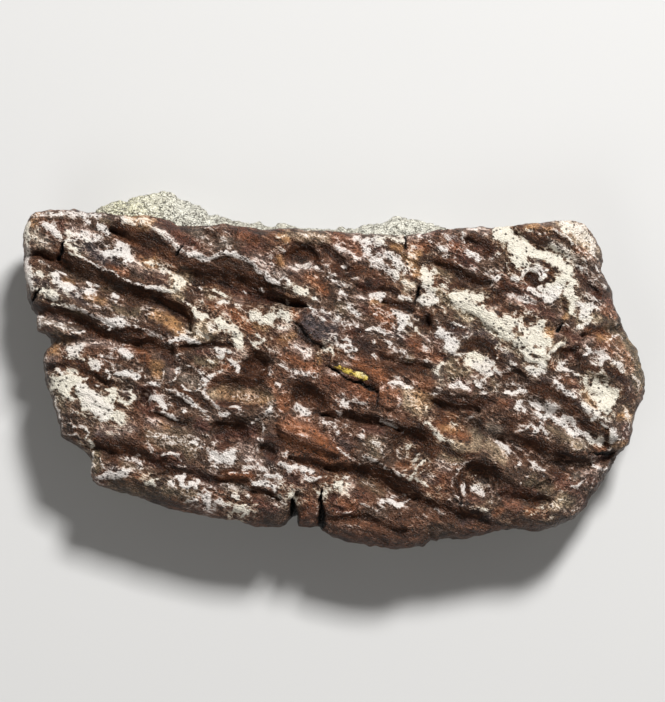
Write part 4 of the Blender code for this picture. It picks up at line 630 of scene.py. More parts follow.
    (1, 0.5, 21.2, -14.2, 22.2, -14.8, 22.8, -15.2), (0.8, 0.05, 24.2, -14.8, 25.1, -14.8),
    (0.7, 0.15, 29.2, -11.3, 29.6, -11.3), (0.7, 0.2, 22, -16.9, 23.2, -16.9),
    (0.8, 0.25, 24.4, 5, 23.9, 4.6), (0.8, 0.3, 26.2, 4, 26.6, 3.8),
    (1.6, 0.35, 5.8, 7.4, 7, 7, 8.2, 6.7, 9, 6.5), (2, 0.45, 10.6, 5.7, 10.6, 4.7),
    (1.8, 0.4, 12.5, 4.8, 12.9, 4.6), (1, 0.4, 4, 9.1, 5.5, 8.7), (1, 0.3, 6.3, 9, 7.1, 8.5),
    (1.9, 0.5, 22, 10.3, 22.5, 10, 22.8, 9.3), (1.7, 0.35, 26, 7.4, 26.2, 6.5),
    (1, 0.3, 28.2, -0.1, 29.6, -0.3, 31, -0.6, 32.2, -1.2, 33, -1.8),
    (1.4, 0.15, 8.2, 15, 8.3, 14, 8.1, 13.5), (1.5, 0.2, 19.7, 14.2, 19.5, 13.4),
    (1.2, 0.12, -32.6, 16.9, -30.4, 16.8, -28.4, 16.6),
    (0.8, 0.5, -24.6, -12.9, -22, -13.3, -19.5, -14),
    (0.9, 0.5, -19.6, -10.8, -18.4, -10.5, -17.4, -10.3), (1, 0.5, -26, -8.4, -24, -8.7, -22, -9.2),
    (1.5, 0.35, -21.9, 15.1, -20.4, 14.6, -19, 13.8),
    (0.9, 0.8, -4.1, -2.7, -3.2, -3.1, -2.2, -3.2, -1.6, -3.4),
    (0.8, 0.45, -1.6, -4.2, -1.3, -4.9, -0.6, -5.4),
    (0.9, 0.5, 0.6, 11.8, 0.8, 10.8, 2, 10.2, 2.8, 10.6, 2.8, 11.6),
    (1, 0.7, 6.8, -7.4, 8.4, -7, 10, -7.4, 10.6, -8.6), (0.8, 0.4, 7, -8.6, 7.2, -9.8, 8, -10.8),
    (1.7, 0.2, 14.1, -12.8, 14.1, -14.2, 14.6, -15.2, 15.6, -15.5), (1.6, 0.2, 15.2, -13, 15.2, -14.2),
    (1, 0.6, 12.4, -15.4, 14, -16.2, 16.4, -16.6),
)

# Thin pale dust, in specks through which the bone shows: brush strokes as above
DUST = (
    (0.6, 0.5, -29.8, 13.8, -28.6, 12.8), (0.65, 0.5, -26.2, 14.9, -25.4, 13.8),
    (0.5, 0.6, -29.8, 15.6, -28.4, 15.3, -27.2, 15), (0.5, 0.6, -22.4, 12, -21.2, 11.2),
    (0.55, 0.4, -33, 12, -32, 11.6), (0.5, 0.6, -34.2, 15.8, -33.5, 14.8, -32.5, 14.2),
    (0.6, 0.5, -33, 5, -31.5, 5, -30, 4.5, -28.8, 4.1), (0.5, 0.3, -29, 2.8, -26, 2.7, -24.4, 2.6),
    (0.8, 0.25, -25.8, 1.2, -25, 1.3, -24.4, 0.9), (0.6, 0.5, -24.8, 1.8, -24.2, 2.2),
    (0.55, 0.5, -27.8, 7.3, -26, 6.7, -24.5, 6.4), (0.7, 0.4, -23.4, -2.8, -22.6, -2.6, -22.6, -3.2),
    (0.55, 0.5, -29.2, -5, -28, -5.2), (0.6, 0.6, -25, -7.4, -23.8, -7.2, -22.6, -6.8),
    (0.7, 0.5, -23, -10.2, -22, -10.4, -21.6, -11.2), (0.55, 0.3, -24.9, -11.2, -24.3, -11.4),
    (0.6, 0.4, -12.2, -13.2, -11.2, -13.4, -10.4, -13.7),
    (0.7, 0.35, -19.9, 12, -19.3, 11.5, -18.6, 11, -18, 10.5), (0.55, 0.4, -20.4, 11.2, -19.2, 10.6),
    (0.7, 0.3, -15.2, 14.8, -14.6, 14.7), (0.6, 0.2, -12.2, 15.6, -11.6, 15.2),
    (0.7, 0.25, -14, 14.2, -13.7, 14), (0.5, 0.3, -14.6, 13.8, -13.6, 13.4),
    (0.6, 0.4, -12.4, 14.6, -12, 13.8, -11.7, 13.4), (0.6, 0.5, -8.6, 12.4, -8, 11.8, -7.4, 11.2),
    (0.7, 0.25, -7.2, 12.6, -6.8, 11.6, -6.6, 10.6), (0.5, 0.5, -16.6, 9, -15.6, 8.4, -14.8, 7.6),
    (0.6, 0.3, -20.8, 6.6, -19.4, 6.3), (0.55, 0.25, -12.2, 6.1, -11.7, 5.8),
    (0.6, 0.3, -10.8, 7, -10, 6.4, -9.4, 6), (0.6, 0.3, -6.9, 6.2, -6.3, 6),
    (0.6, 0.3, -6.8, 4.4, -6.2, 4), (0.55, 0.5, -8.4, 2.2, -7.4, 2, -6.6, 1.6),
    (0.6, 0.35, -11, 1.6, -10.2, 1.7, -9.8, 1.2), (0.5, 0.6, -16.6, -1.2, -15.8, -1.4, -15.6, -2),
    (0.6, 0.3, -18.8, -2.5, -18, -2.7, -17.2, -2.9), (0.7, 0.2, -11.1, -3.3, -10.9, -3.3),
    (0.75, 0.25, -10, -3.1, -9.8, -3.1), (0.6, 0.3, -8.4, -3.3, -8.2, -3.2),
    (0.7, 0.2, -7.1, 0, -6.9, -0.6, -7.1, -1.4), (0.55, 0.4, -20.8, -6, -19.8, -6.3, -18.9, -6.6),
    (0.55, 0.8, -20.4, -7.6, -19, -8, -17.8, -8.2, -16.6, -8.4, -16, -9.2),
    (0.6, 0.3, -20.8, -8.4, -20.2, -9.4), (0.7, 0.3, -14.4, -5.3, -14, -5.6),
    (0.7, 0.3, -8.3, -8.2, -7.9, -8.3), (0.45, 0.5, -10.4, -8.8, -9.6, -9.2),
    (0.7, 0.5, -9.6, -10.2, -9, -10.6, -8.6, -11.1, -9.8, -11.4),
    (0.7, 0.5, -4.8, 11.3, -3.8, 11.2, -2.8, 11.2, -2.6, 11.8), (0.7, 0.3, -5.8, 13.4, -5.4, 13.1),
    (0.6, 0.4, -5, 14.9, -3.5, 14.8, -2.2, 14.9, -1.2, 14.7, -0.4, 14.6),
    (0.5, 0.4, -1.6, 13.6, -1.2, 12.6, -1, 11.8), (0.7, 0.2, 1.3, 10.6, 1.7, 10.5),
    (0.75, 0.35, 0.4, 13.6, 1.2, 13.2, 1.9, 12.8, 2.6, 12.3, 3.4, 12.3, 3.8, 12.6),
    (0.8, 0.6, 2.6, 14.6, 3.6, 14.3, 4.6, 14.4, 5.6, 14.3, 5.2, 13.9), (0.7, 0.4, 5, 13, 5.6, 12.5),
    (0.55, 0.6, 4, 12.2, 5, 11.8, 4.4, 11.4), (0.5, 0.4, 2.4, 9.9, 3.2, 10),
    (0.7, 0.35, 3, 7.9, 3.6, 7.7), (0.65, 0.5, 0, 9.6, 1, 9.2, 2, 9.2), (0.75, 0.5, 1, 8.4, 1.6, 8),
    (0.75, 0.3, -0.4, 10.8, 0.2, 10.4, -0.8, 10), (0.6, 0.3, 8.6, 14.6, 8.8, 14.4),
    (0.7, 0.4, 8.6, 10.6, 8.8, 10.2), (0.6, 0.4, 8, 9.6, 8.6, 9.2, 8.2, 8.6),
    (0.6, 0.4, -1.6, 5.6, -0.8, 5.2), (0.6, 0.4, -1.2, 6.4, -0.4, 5.8, 0.4, 5.5),
    (0.8, 0.25, 0, 5.2, 1, 5, 2, 4.7, 2.8, 4.5), (0.5, 0.5, 4.6, 6.9, 5.4, 6.2, 5.8, 5.4),
    (0.7, 0.25, 4.4, 6.2, 5, 6), (0.7, 0.3, 5.8, 3, 6.6, 2.7, 6.4, 2.2), (0.6, 0.3, 4.5, 1.2, 4.8, 1),
    (0.7, 0.4, -4.2, 2.4, -3.2, 1.9, -2.6, 1.6, -3, 1.1),
    (0.75, 0.35, -5.8, 0.2, -4.8, -0.3, -4, -0.7, -3.2, -0.9, -2.4, -0.8, -1.6, -1.2),
    (0.8, 0.4, -5.9, 4.4, -5.2, 4.2, -4.8, 4.6), (0.6, 0.3, -0.4, -0.6, 0.4, -0.9, 1.2, -0.9),
    (0.6, 0.2, 1.2, 0.3, 1.8, 0.2), (0.7, 0.35, 2.4, -3.6, 3, -4.1, 3.6, -4.3),
    (0.7, 0.5, 7, 2, 7.8, 1.6, 8.4, 1.2), (0.6, 0.1, -1.2, -12, -0.6, -11.8),
    (0.6, 0.2, -0.8, -13, -0.4, -13.3),
    (0.75, 0.35, 1.6, -13.2, 2, -13, 1.6, -13.9, 1.2, -14.2, 1.8, -14.6),
    (0.65, 0.3, -5.9, -14.4, -5.6, -15.2, -5.2, -15.4),
    (0.55, 0.2, 3, -15.3, 4.2, -15.8, 5.4, -16.2, 6.2, -16.8),
    (0.5, 0.4, 3.4, -12.9, 4.2, -13, 4.8, -13.5, 5.4, -14.1), (0.7, 0.2, 8, -14.2, 8.2, -14.2),
    (0.75, 0.35, -1, -6.2, -0.2, -6.4, 0.4, -6.8), (0.6, 0.4, 1, -6.8, 1.8, -6.6),
    (0.6, 0.2, 2, -7.6, 2.4, -8.3), (0.8, 0.25, 3.2, -7.6, 3.4, -7.8),
    (0.65, 0.5, 4.2, -8.4, 5, -8.6, 4.6, -9.2), (0.7, 0.25, 2.3, -10.3, 2.5, -10.3),
    (0.8, 0.2, 3, -10.9, 3.1, -10.9), (0.75, 0.4, 3.4, -10.1, 4.2, -10.4, 4.8, -10.5),
    (0.6, 0.3, 5.6, -9.2, 5.8, -10.2), (0.65, 0.4, 7.3, -9.2, 7.6, -10.2, 8.4, -10.2, 8.4, -9.7),
    (0.8, 0.3, 7, -11.9, 7.8, -12.2, 8.6, -12.5, 9, -12.2),
    (0.5, 0.2, -0.2, -17.7, 1, -17.6, 3, -17.8), (0.6, 0.4, 9.2, 14.8, 10, 14.7, 11, 14.8),
    (0.65, 0.3, 12.5, 15, 13, 14.6, 14, 14.9), (0.6, 0.3, 15.4, 15.5, 16.4, 15.6, 17.6, 15.6),
    (0.65, 0.35, 16.9, 14.8, 17.5, 15.2), (0.65, 0.4, 17.8, 12.2, 18.5, 12.4, 18.8, 12.8),
    (0.5, 0.5, 13.6, 12.8, 14.2, 11.8, 15.4, 11.2, 16.6, 11),
    (0.6, 0.3, 17, 10.7, 17.8, 10.5, 18.2, 9.4), (0.6, 0.35, 19.6, 11.6, 19.8, 11.2),
    (0.55, 0.35, 10.4, 11.8, 10.9, 11.4), (0.6, 0.4, 9.2, 8.4, 9, 9.4),
    (0.6, 0.3, 13, 9.9, 12.9, 9.4, 12.6, 9.9), (0.5, 0.3, 21.4, 15.7, 22.4, 15.5, 23.6, 15.4),
    (0.6, 0.2, 21.4, 8.9, 21.2, 9.4), (0.7, 0.4, 9.6, 7.6, 10.2, 7.2, 11.4, 7.4, 12, 7.3),
    (0.6, 0.25, 9.2, 5.4, 9.5, 5.4), (0.55, 0.3, 9.6, 3.9, 10.4, 3.2, 11, 2.8),
    (0.6, 0.2, 17.3, 4.4, 17.4, 4.3), (0.65, 0.35, 18.4, 2.2, 19.2, 1.9, 19.6, 1.6),
    (0.6, 0.35, 18.6, -0.4, 19.4, -0.4, 20, -0.2), (0.65, 0.35, 11.6, -2.4, 12.2, -2.5, 11.4, -2.9),
    (0.65, 0.25, 15.6, -1.1, 16.2, -1), (0.5, 0.35, 18, -1.4, 18.4, -2.4, 18.5, -3.3),
    (0.7, 0.35, 19.4, -2, 20.2, -1.8, 21, -2), (0.55, 0.35, 20.4, 7.8, 21, 7.5),
    (0.6, 0.35, 19.8, 8.1, 20.4, 8), (0.6, 0.35, 17.6, 6.6, 18.4, 6.6),
    (0.7, 0.3, 20.6, 6.3, 20.4, 5.9), (0.65, 0.3, 21.8, 6, 22.4, 6.2),
    (0.6, 0.3, 22.6, -3.6, 23, -3.6), (0.6, 0.35, 11.8, -10.8, 12.4, -11.2, 13, -11.4, 13.6, -11.7),
    (0.6, 0.25, 17.6, -14.4, 17.9, -15, 17.7, -15.4), (0.55, 0.35, 17.4, -13.6, 17.8, -13.6),
    (0.6, 0.25, 18.2, -5.4, 18.4, -5.7), (0.6, 0.25, 15.2, -5.7, 15.6, -5.6),
    (0.6, 0.1, 18, -8, 18.6, -7.8), (0.6, 0.3, 22.4, -11.2, 23, -11.7, 23.6, -11.4),
    (0.6, 0.2, 23.4, -10.3, 23.6, -10.8), (0.65, 0.3, 12.6, -14.4, 13.2, -15, 13.6, -15.5),
    (0.55, 0.25, 10, -14.2, 10.8, -14.4, 11.8, -14.4), (0.6, 0.35, 9.4, -17, 10.2, -16.6, 10.6, -17.2),
    (0.6, 0.2, 17.6, -9.9, 18.2, -10.8), (0.65, 0.25, 22, 15.5, 23, 15.3, 24, 15.1),
    (0.7, 0.4, 25.4, 13.9, 26.2, 13.3, 27, 12.8, 27.8, 12.2), (0.6, 0.3, 25, 16.4, 25.4, 15.8),
    (0.6, 0.3, 27.4, 14, 28.2, 13, 29.8, 13.2, 30.2, 12.6),
    (0.6, 0.4, 26.8, 11.8, 27.4, 11.4, 28.8, 10.8, 29.4, 9.8, 30.2, 10.6),
    (0.6, 0.4, 29, 8.4, 28, 8.2, 30, 7.6, 29.2, 7.8), (0.6, 0.3, 24, 7.2, 25, 7, 25.6, 6.8),
    (0.6, 0.3, 21.6, 6.2, 22.4, 6.2, 23.4, 5.3), (0.6, 0.3, 25, 5.2, 25.4, 4.6, 26.6, 4.8),
    (0.55, 0.2, 31.4, 5.8, 32, 5.2, 32.4, 4.4), (0.5, 0.3, 31.6, 2.6, 32.6, 1.6, 33.6, 1.6, 34.2, 0.6),
    (0.6, 0.3, 33.8, -0.8, 34.6, -1.4, 34.4, -2.4), (0.6, 0.2, 33.2, -2.2, 34, -2.8),
    (0.6, 0.3, 25.4, 0.1, 26.4, 0.6), (0.6, 0.4, 29.2, 1.4, 30.6, -0.9, 29, -0.6),
    (0.65, 0.2, 24.4, -1, 25.6, -1.2, 24.6, -2.2), (0.7, 0.4, 28.6, -5.2, 30.4, -5.8, 31.2, -6.2),
    (0.5, 0.4, 26.2, -8.6, 27.6, -9.2, 28.6, -8.8), (0.45, 0.3, 24.2, -10.2, 26.2, -10.6, 28.8, -10.9),
    (0.6, 0.3, 29, -12, 28.4, -11.7), (0.5, 0.3, 24.4, -12.8, 25.4, -13.8, 26.8, -14.6),
    (0.6, 0.35, 25.4, -14.9, 24.4, -15.6, 25.6, -15.9, 26.6, -16.2),
    (0.6, 0.25, 28.2, -14.7, 28, -15.6), (0.6, 0.4, 22.2, -11.8, 21.6, -12.6),
    (0.5, 0.3, 22, -16.2, 23.8, -16.2, 25.2, -16.8),
    (0.9, 0.9, 26.2, 16, 28, 15.6, 29.2, 14.4, 29.6, 13),
    (0.75, 0.6, 24.6, 14, 25.6, 13.3, 26.8, 12.6), (0.7, 0.5, 20.2, 7.9, 21.6, 7.7, 22.8, 7.2),
    (0.8, 0.6, 32.9, -4.6, 33.3, -5.3), (0.6, 0.7, 9.2, 13.4, 8.6, 12, 8.6, 10.8),
    (0.85, 0.5, -34.5, 16.4, -34.5, 14, -34.5, 11),
    (0.75, 0.5, -33.6, 17.3, -31, 17.5, -28.5, 17.4, -26.4, 17.2),
    (0.8, 0.8, -29.6, 15.2, -28, 15, -26.8, 14.6), (0.7, 0.5, -33.1, 5.8, -32.9, 4.8),
    (0.8, 0.6, -23.6, 16.7, -21, 16.5), (0.5, 0.8, 8.6, -3.4, 9.6, -4.6),
)

# Pale lines along crests and cracks, partly pale matter and partly painted highlight where the crests catch
# the light: brush strokes as above
PALE_LINES = (
    (0.8, 0.15, -29.6, 13, -28, 12.2, -26.4, 11.4, -25.2, 10.9, -24, 10.3, -23, 9.7, -22, 9.3, -21,
     9.1),
    (0.75, 0.25, -31.6, 7.1, -30.5, 7.1, -29.5, 6.9, -28.4, 6.4, -27.4, 5.9, -26.6, 5.5, -25.6, 5.2,
     -24.5, 5.2), (0.8, 0.15, -23.8, 5, -22.8, 4.8, -21.8, 4.5, -21, 4.2),
    (0.6, 0.1, -29.8, 5.2, -29, 5), (0.6, 0.1, -28.2, 17.1, -26.9, 17, -26.2, 16.7),
    (0.6, 0.1, -30, -6.2, -28.8, -6.4), (0.6, 0.1, -29.8, -7.5, -28.8, -7.5, -28.2, -7.9),
    (0.7, 0.15, -26, -10.2, -25.8, -10.9, -25.5, -11.4),
    (0.75, 0.35, -20.4, 15.9, -19.6, 15.5, -18.9, 15, -18.3, 14.5, -17.8, 13.9, -17.3, 13.3, -16.7,
     13.2), (0.85, 0.25, -21, 9, -20.2, 8.9, -19.4, 8.8, -18.6, 8.7, -18, 8.5),
    (0.6, 0.15, -20.2, 9.1, -19.2, 9.2, -18.2, 9.4),
    (0.6, 0.15, -15.2, 15.6, -14.2, 15.9, -13.4, 15.7, -12.6, 15.9),
    (0.85, 0.3, -14, 12.2, -13.2, 12.4, -12.4, 12.7, -11.6, 12.8, -10.8, 12.7, -10, 12.3, -9.4, 11.9,
     -8.9, 11.6, -8.5, 11, -8.2, 10.7, -7.6, 10.6, -7.2, 10, -6.6, 9.6, -6, 9.3),
    (0.8, 0.2, -16.9, 7.6, -16.3, 7.2, -15.8, 6.9, -15.4, 6.6),
    (0.75, 0.3, -21, 4.1, -20.2, 3.8, -19.6, 3.4, -18.8, 3.2),
    (0.8, 0.2, -18.9, -0.2, -18.9, -0.9, -19, -1.3),
    (0.8, 0.15, -18.6, -1.7, -17.9, -1.6, -17.6, -1.1, -17.6, -0.3, -17.3, 0, -16.9, -0.1),
    (0.7, 0.1, -17.5, -0.5, -17.2, -0.6, -17.2, -1.4), (0.7, 0.1, -16.6, 0.1, -15.8, 0.1, -15.5, -0.3),
    (0.8, 0.1, -17, -1.9, -16.6, -2.4, -16, -2.8, -15.4, -2.8, -14.8, -2.4, -14.2, -1.8, -13.8, -1.4),
    (0.7, 0.2, -14.4, -2.6, -14.3, -3.1, -13.9, -3.6, -13.4, -4, -12.6, -4.7),
    (0.8, 0.3, -17.4, -3, -16.6, -3.3, -16, -3.8, -15.4, -4.4, -14.8, -4.8, -14.2, -5.1),
    (0.8, 0.2, -19.1, -10, -18.6, -9.7, -17.8, -9.7, -17.3, -10, -16.9, -10.5),
    (0.6, 0.1, -18.8, -11.1, -18.3, -11.2), (0.7, 0.15, -17.2, -11.1, -16.4, -11.2),
    (0.7, 0.15, -11.4, -11.9, -10.4, -11.9, -9.4, -12),
    (0.7, 0.2, -9, -6.4, -8.5, -6, -7.9, -6.2, -7.6, -6.8, -7.8, -7.3),
    (0.6, 0.1, 2.9, 3.4, 3.4, 3.3, 3.9, 3.6),
    # Painted highlight along the top of the red lump
    (0.5, 0.25, -5.4, -7.2, -4.6, -7.5, -3.8, -7.7, -3, -8, -2.2, -8.2),
    (0.7, 0.1, 0.4, -16.3, 1.4, -16.4, 2.2, -16.2), (0.6, 0.1, -2.2, -14.8, -1.7, -15.6, -1.7, -16.4),
    (0.85, 0.15, 4.6, -10.4, 5.4, -10.9, 5.9, -11.4, 6.2, -11.6),
    (0.85, 0.25, 0.6, -9.2, 1, -9.6, 1.8, -9.9),
    (0.75, 0.2, 15.2, -10.6, 14.6, -10.9, 14.2, -11.4, 13.8, -12, 13.5, -12.6, 13.4, -13.4, 13.6,
     -14.2, 14, -14.8, 14.6, -15.4, 15.2, -15.8, 16.2, -15.9, 17.2, -16, 17.8, -15.9),
    (0.7, 0.1, 13.8, -3.2, 14.6, -3.6, 15.2, -4), (0.7, 0.1, 20.8, -12.4, 21.1, -12.8, 20.9, -13.2),
    (0.6, 0.15, 13.2, -3, 13.8, -3.1), (0.5, 0.15, 24.4, -7.9, 25.6, -8.1, 26.8, -8.6, 27.6, -8.9),
    (0.7, 0.15, 23.2, -6.2, 23.5, -6.9, 24, -7.5),
    (0.7, 0.2, 24.2, 14.8, 25, 14.3, 26, 13.6, 26.8, 13.4),
    (0.7, 0.1, 28, 12.6, 28.6, 12.2, 28.9, 11.4), (0.6, 0.1, 25.9, -12.2, 26.4, -12.7),
    (0.6, 0.1, 31.7, -4.6, 31.6, -5.6, 32.1, -6.4),
)

# Cream crust, thick enough to hide the bone: brush strokes as above
CREAM_CRUST = (
    (1, 0.7, -31.3, -2, -30.3, -1.7, -29.5, -1.5, -28.6, -1.7),
    (0.9, 0.2, -23.9, -3.7, -23.2, -4.1, -22.7, -4.1, -22.2, -3.2),
    (0.9, 0.25, -30, 14.1, -28.9, 13.3), (0.7, 0.35, -33.2, 10.8, -32.7, 10.3),
    (0.9, 0.45, -33.2, 8.9, -32.4, 8.6, -31.6, 8.2, -31, 7.8),
    (0.7, 0.3, -30.4, 1.3, -29.6, 1.2, -28.6, 1, -27.9, 0.8),
    (0.8, 0.4, -29.6, -0.3, -29, -0.6, -28.7, -0.7), (1, 0.5, -30.5, -2.4, -29.9, -3),
    (0.8, 0.4, -29.6, -3.4, -29, -3.7),
    (1, 0.8, -28.4, -2.6, -28, -3.2, -27, -3.6, -26, -3.9, -25, -3.6),
    (1, 0.8, -27.5, -4.4, -26.4, -4.7, -25.2, -4.8), (0.8, 0.3, -25.4, -2.7, -24.6, -2.5, -24.4, -3.2),
    (0.8, 0.25, -27.2, -8.1, -26.9, -8.6, -27.2, -8.9),
    (1, 0.7, -26.3, -5.3, -25.2, -5.5, -24.4, -5.7, -23.8, -6.1),
    (0.9, 0.25, -13.4, 8.9, -12.8, 8.4, -12.1, 8.1),
    (0.9, 0.4, -15.5, 6.3, -15.2, 5.9, -14.7, 5.6, -14.2, 5.8),
    (0.6, 0.5, -15.4, 4.4, -14.8, 3.8, -14, 3.4),
    (1, 0.6, -12.8, 5.1, -12.2, 4.7, -11.4, 4.4, -10.8, 4, -10.5, 3.5, -10.6, 2.9, -10.4, 2.5),
    (0.7, 0.3, -12.6, 4.3, -12, 3.9), (0.7, 0.2, -14, 0.7, -13.4, 0.5),
    (0.9, 0.6, -9, 6, -8.4, 5.6, -7.8, 5.2, -7.2, 5), (0.7, 0.3, -8.6, 3.6, -8, 3.1, -7.4, 3),
    (0.8, 0.3, -9.2, 2.8, -8.6, 2.6, -7.8, 2.8), (0.8, 0.35, -20.8, -13, -20.2, -13, -19.8, -13.2),
    (0.7, 0.15, -19.6, -12.7, -19.2, -12.9),
    (1, 0.35, -10.9, -15.9, -10.2, -15.8, -9.6, -16.2, -10, -16.5),
    (0.8, 0.15, -9.9, -15.5, -9.5, -15.7), (0.85, 0.4, -5.8, 6.2, -5.2, 5.8, -5, 5.2),
    (1, 0.5, -4.2, 8.6, -3.5, 8.5, -2.9, 8.4), (0.7, 0.4, 6.6, 14.6, 7.4, 14.4, 7.8, 14.8),
    (0.9, 0.2, -1.1, 2.3, -0.8, 1.8, -0.3, 1.9, 0, 1.6), (1, 0.3, -4.5, -14.2, -4.4, -14.7, -4.2, -15),
    (1, 0.3, -1.6, -14.1, -1.1, -14.3, -0.8, -14.1), (1, 0.4, 0.5, -13.2, 0.9, -13.3, 0.9, -13.7),
    (0.9, 0.35, 8.4, -8.9, 8.6, -8.9),
    (0.95, 0.5, 19.6, 5.4, 20.4, 5, 21.2, 4.2, 22.2, 4, 23.2, 4.2, 23.6, 5),
    (1, 1, 18.7, 15.1, 19.4, 15.2, 20.2, 14.4, 21, 13.6, 21.2, 12.5, 21.4, 11.7),
    (0.95, 0.25, 20, 15.6, 20.3, 15.4), (1, 0.6, 21.6, 14.5, 22.2, 13.6, 22.8, 12.9, 23.5, 12.6),
    (1, 0.5, 13.6, 8.1, 14.6, 7.9, 15.8, 7.9, 16.6, 7.7),
    (1, 0.75, 13.8, 7.4, 15, 6.9, 16.2, 6.4, 17.3, 5.7, 18.2, 5, 19, 4.3, 19.7, 3.4),
    (0.75, 0.45, 10.2, 10.8, 10.8, 10.4, 11.4, 10.7), (0.7, 0.35, 11.2, 9.9, 10.4, 9.8),
    (0.7, 0.3, 9.3, 11.1, 9.5, 10.9), (0.8, 0.25, 16.1, 5.3, 16.4, 4.9),
    (0.7, 0.2, 9.4, 4.5, 9.2, 4.2), (1, 0.4, 15.2, 1.3, 16, 1.5, 16.8, 1.2),
    (1, 0.6, 15.2, 0.6, 16, 0.7, 16.8, 0.7, 16, 0.1),
    (0.8, 0.25, 12.4, 0.4, 12, 0.1, 11.6, -0.6, 11.9, -1),
    (1, 0.6, 20.6, 2.7, 21.4, 2.8, 22.4, 3, 23.4, 2.8, 24.2, 2.8),
    (0.95, 0.5, 21.4, 1.8, 22.8, 1.8, 23.8, 1.6), (0.9, 0.5, 21.8, 1, 23.2, 0.7, 24, 0.4),
    (0.7, 0.25, 20.3, 5.2, 21, 5.4, 21.4, 5),
    (0.8, 0.3, 10.3, -6.3, 10.9, -6.7, 11.4, -7.3, 12, -7.9, 12.6, -8.3, 13.4, -8.6),
    (0.85, 0.25, 9.8, -9.7, 9.4, -10.3, 9.1, -10.9), (0.85, 0.25, 10.2, -10.6, 9.6, -11.3, 9.2, -11.9),
    (0.8, 0.25, 9.2, -12.4, 9.6, -12.8, 10.2, -13.2, 10.6, -13.5),
    (0.7, 0.1, 10.8, -11.2, 10.2, -11.6, 9.8, -12), (0.9, 0.2, 13.4, -6.2, 13.7, -6.5),
    (0.8, 0.1, 10.5, -4.2, 10.5, -4.7), (0.8, 0.2, 15.6, -12.1, 16.2, -12),
    (0.9, 0.15, 12, -13.7, 11.9, -13.9), (0.9, 0.1, 22.2, -16.5, 22.6, -16.5),
    (0.9, 0.1, 23.5, -15.4, 23.6, -15.8), (0.7, 0.2, 19.5, -17.4, 19.8, -17.5),
    (0.8, 0.2, 16.8, -16, 17.2, -16), (1, 0.8, 24.2, 12.8, 25, 12.1, 26, 11.4, 26.4, 10.4, 25.8, 9.6),
    (0.95, 0.5, 27, 9.6, 26.4, 8.2, 27.2, 7.8), (0.9, 0.4, 24.2, 9.3, 25.2, 9.2),
    (1, 0.3, 27, 8.8, 27, 6.9, 26.8, 6.2),
    (1, 0.6, 21.6, 4, 22.4, 4.2, 23.2, 3.4, 22.4, 2.9, 21.4, 2.6),
    (0.95, 0.4, 23.6, 2.4, 23.6, 1.4, 23.8, 0.6),
    (0.9, 0.3, 24.2, 0.9, 24.6, 1.6, 25.2, 2.4, 25.9, 2.7), (1, 0.3, 28.4, -1.3, 28.4, -1.9, 29, -2.6),
    (1, 0.5, 29.8, -2.6, 30.8, -2.2, 31.6, -2.6, 31.8, -3.2, 31.2, -4),
    (1, 0.6, 29.4, -3.4, 30.4, -3.8, 30.6, -4.6, 29.9, -4.4), (0.9, 0.25, 30.8, -5.2, 31.2, -4.8),
    (1, 0.3, 29.6, -8, 30, -8.1), (0.8, 0.3, 31, -1.5, 30.4, -1.3), (0.85, 0.2, 28.8, 5, 29, 5.6),
    (0.8, 0.15, 24.4, -16.8, 24.6, -16.9), (0.7, 0.3, 25.8, -14.8, 26.4, -14.9),
    (0.95, 0.8, 10.4, 10.8, 10.8, 9.4, 11, 8), (0.8, 0.4, 12.3, 9.1, 13, 8.8),
    (0.6, 0.5, 26.5, 15.6, 27.6, 15, 28.6, 14.4), (1, 1.3, 29.6, -2.2, 30.6, -2.8, 31, -3.6),
    (0.7, 0.6, 8, 9.8, 8.4, 8.6), (0.7, 0.5, 7, 14.5, 8, 14.2), (0.8, 0.45, -34.6, 15.8, -34.3, 14.6),
    (1, 0.7, -31.2, -1.8, -29.8, -2.4), (0.8, 0.35, -21, 11.9, -20.2, 11.8),
    (0.7, 0.35, -19.6, 11.2, -19, 10.6), (0.6, 0.5, -22.4, 16.6, -20.6, 16.2),
    (1, 0.4, -10.8, -15.6, -9.5, -16.3), (1, 0.3, -4.7, -14.3, -4.3, -14.9),
    (0.6, 0.3, -6.2, 14.6, -5.4, 14.8), (0.9, 0.5, -17.6, 10.3, -17, 9.6, -17.6, 8.6),
    (0.9, 0.6, -9.2, 5.8, -8, 5.2, -7, 5.4, -5.8, 6), (1, 0.45, -4.2, 8.6, -3.6, 8.2),
)

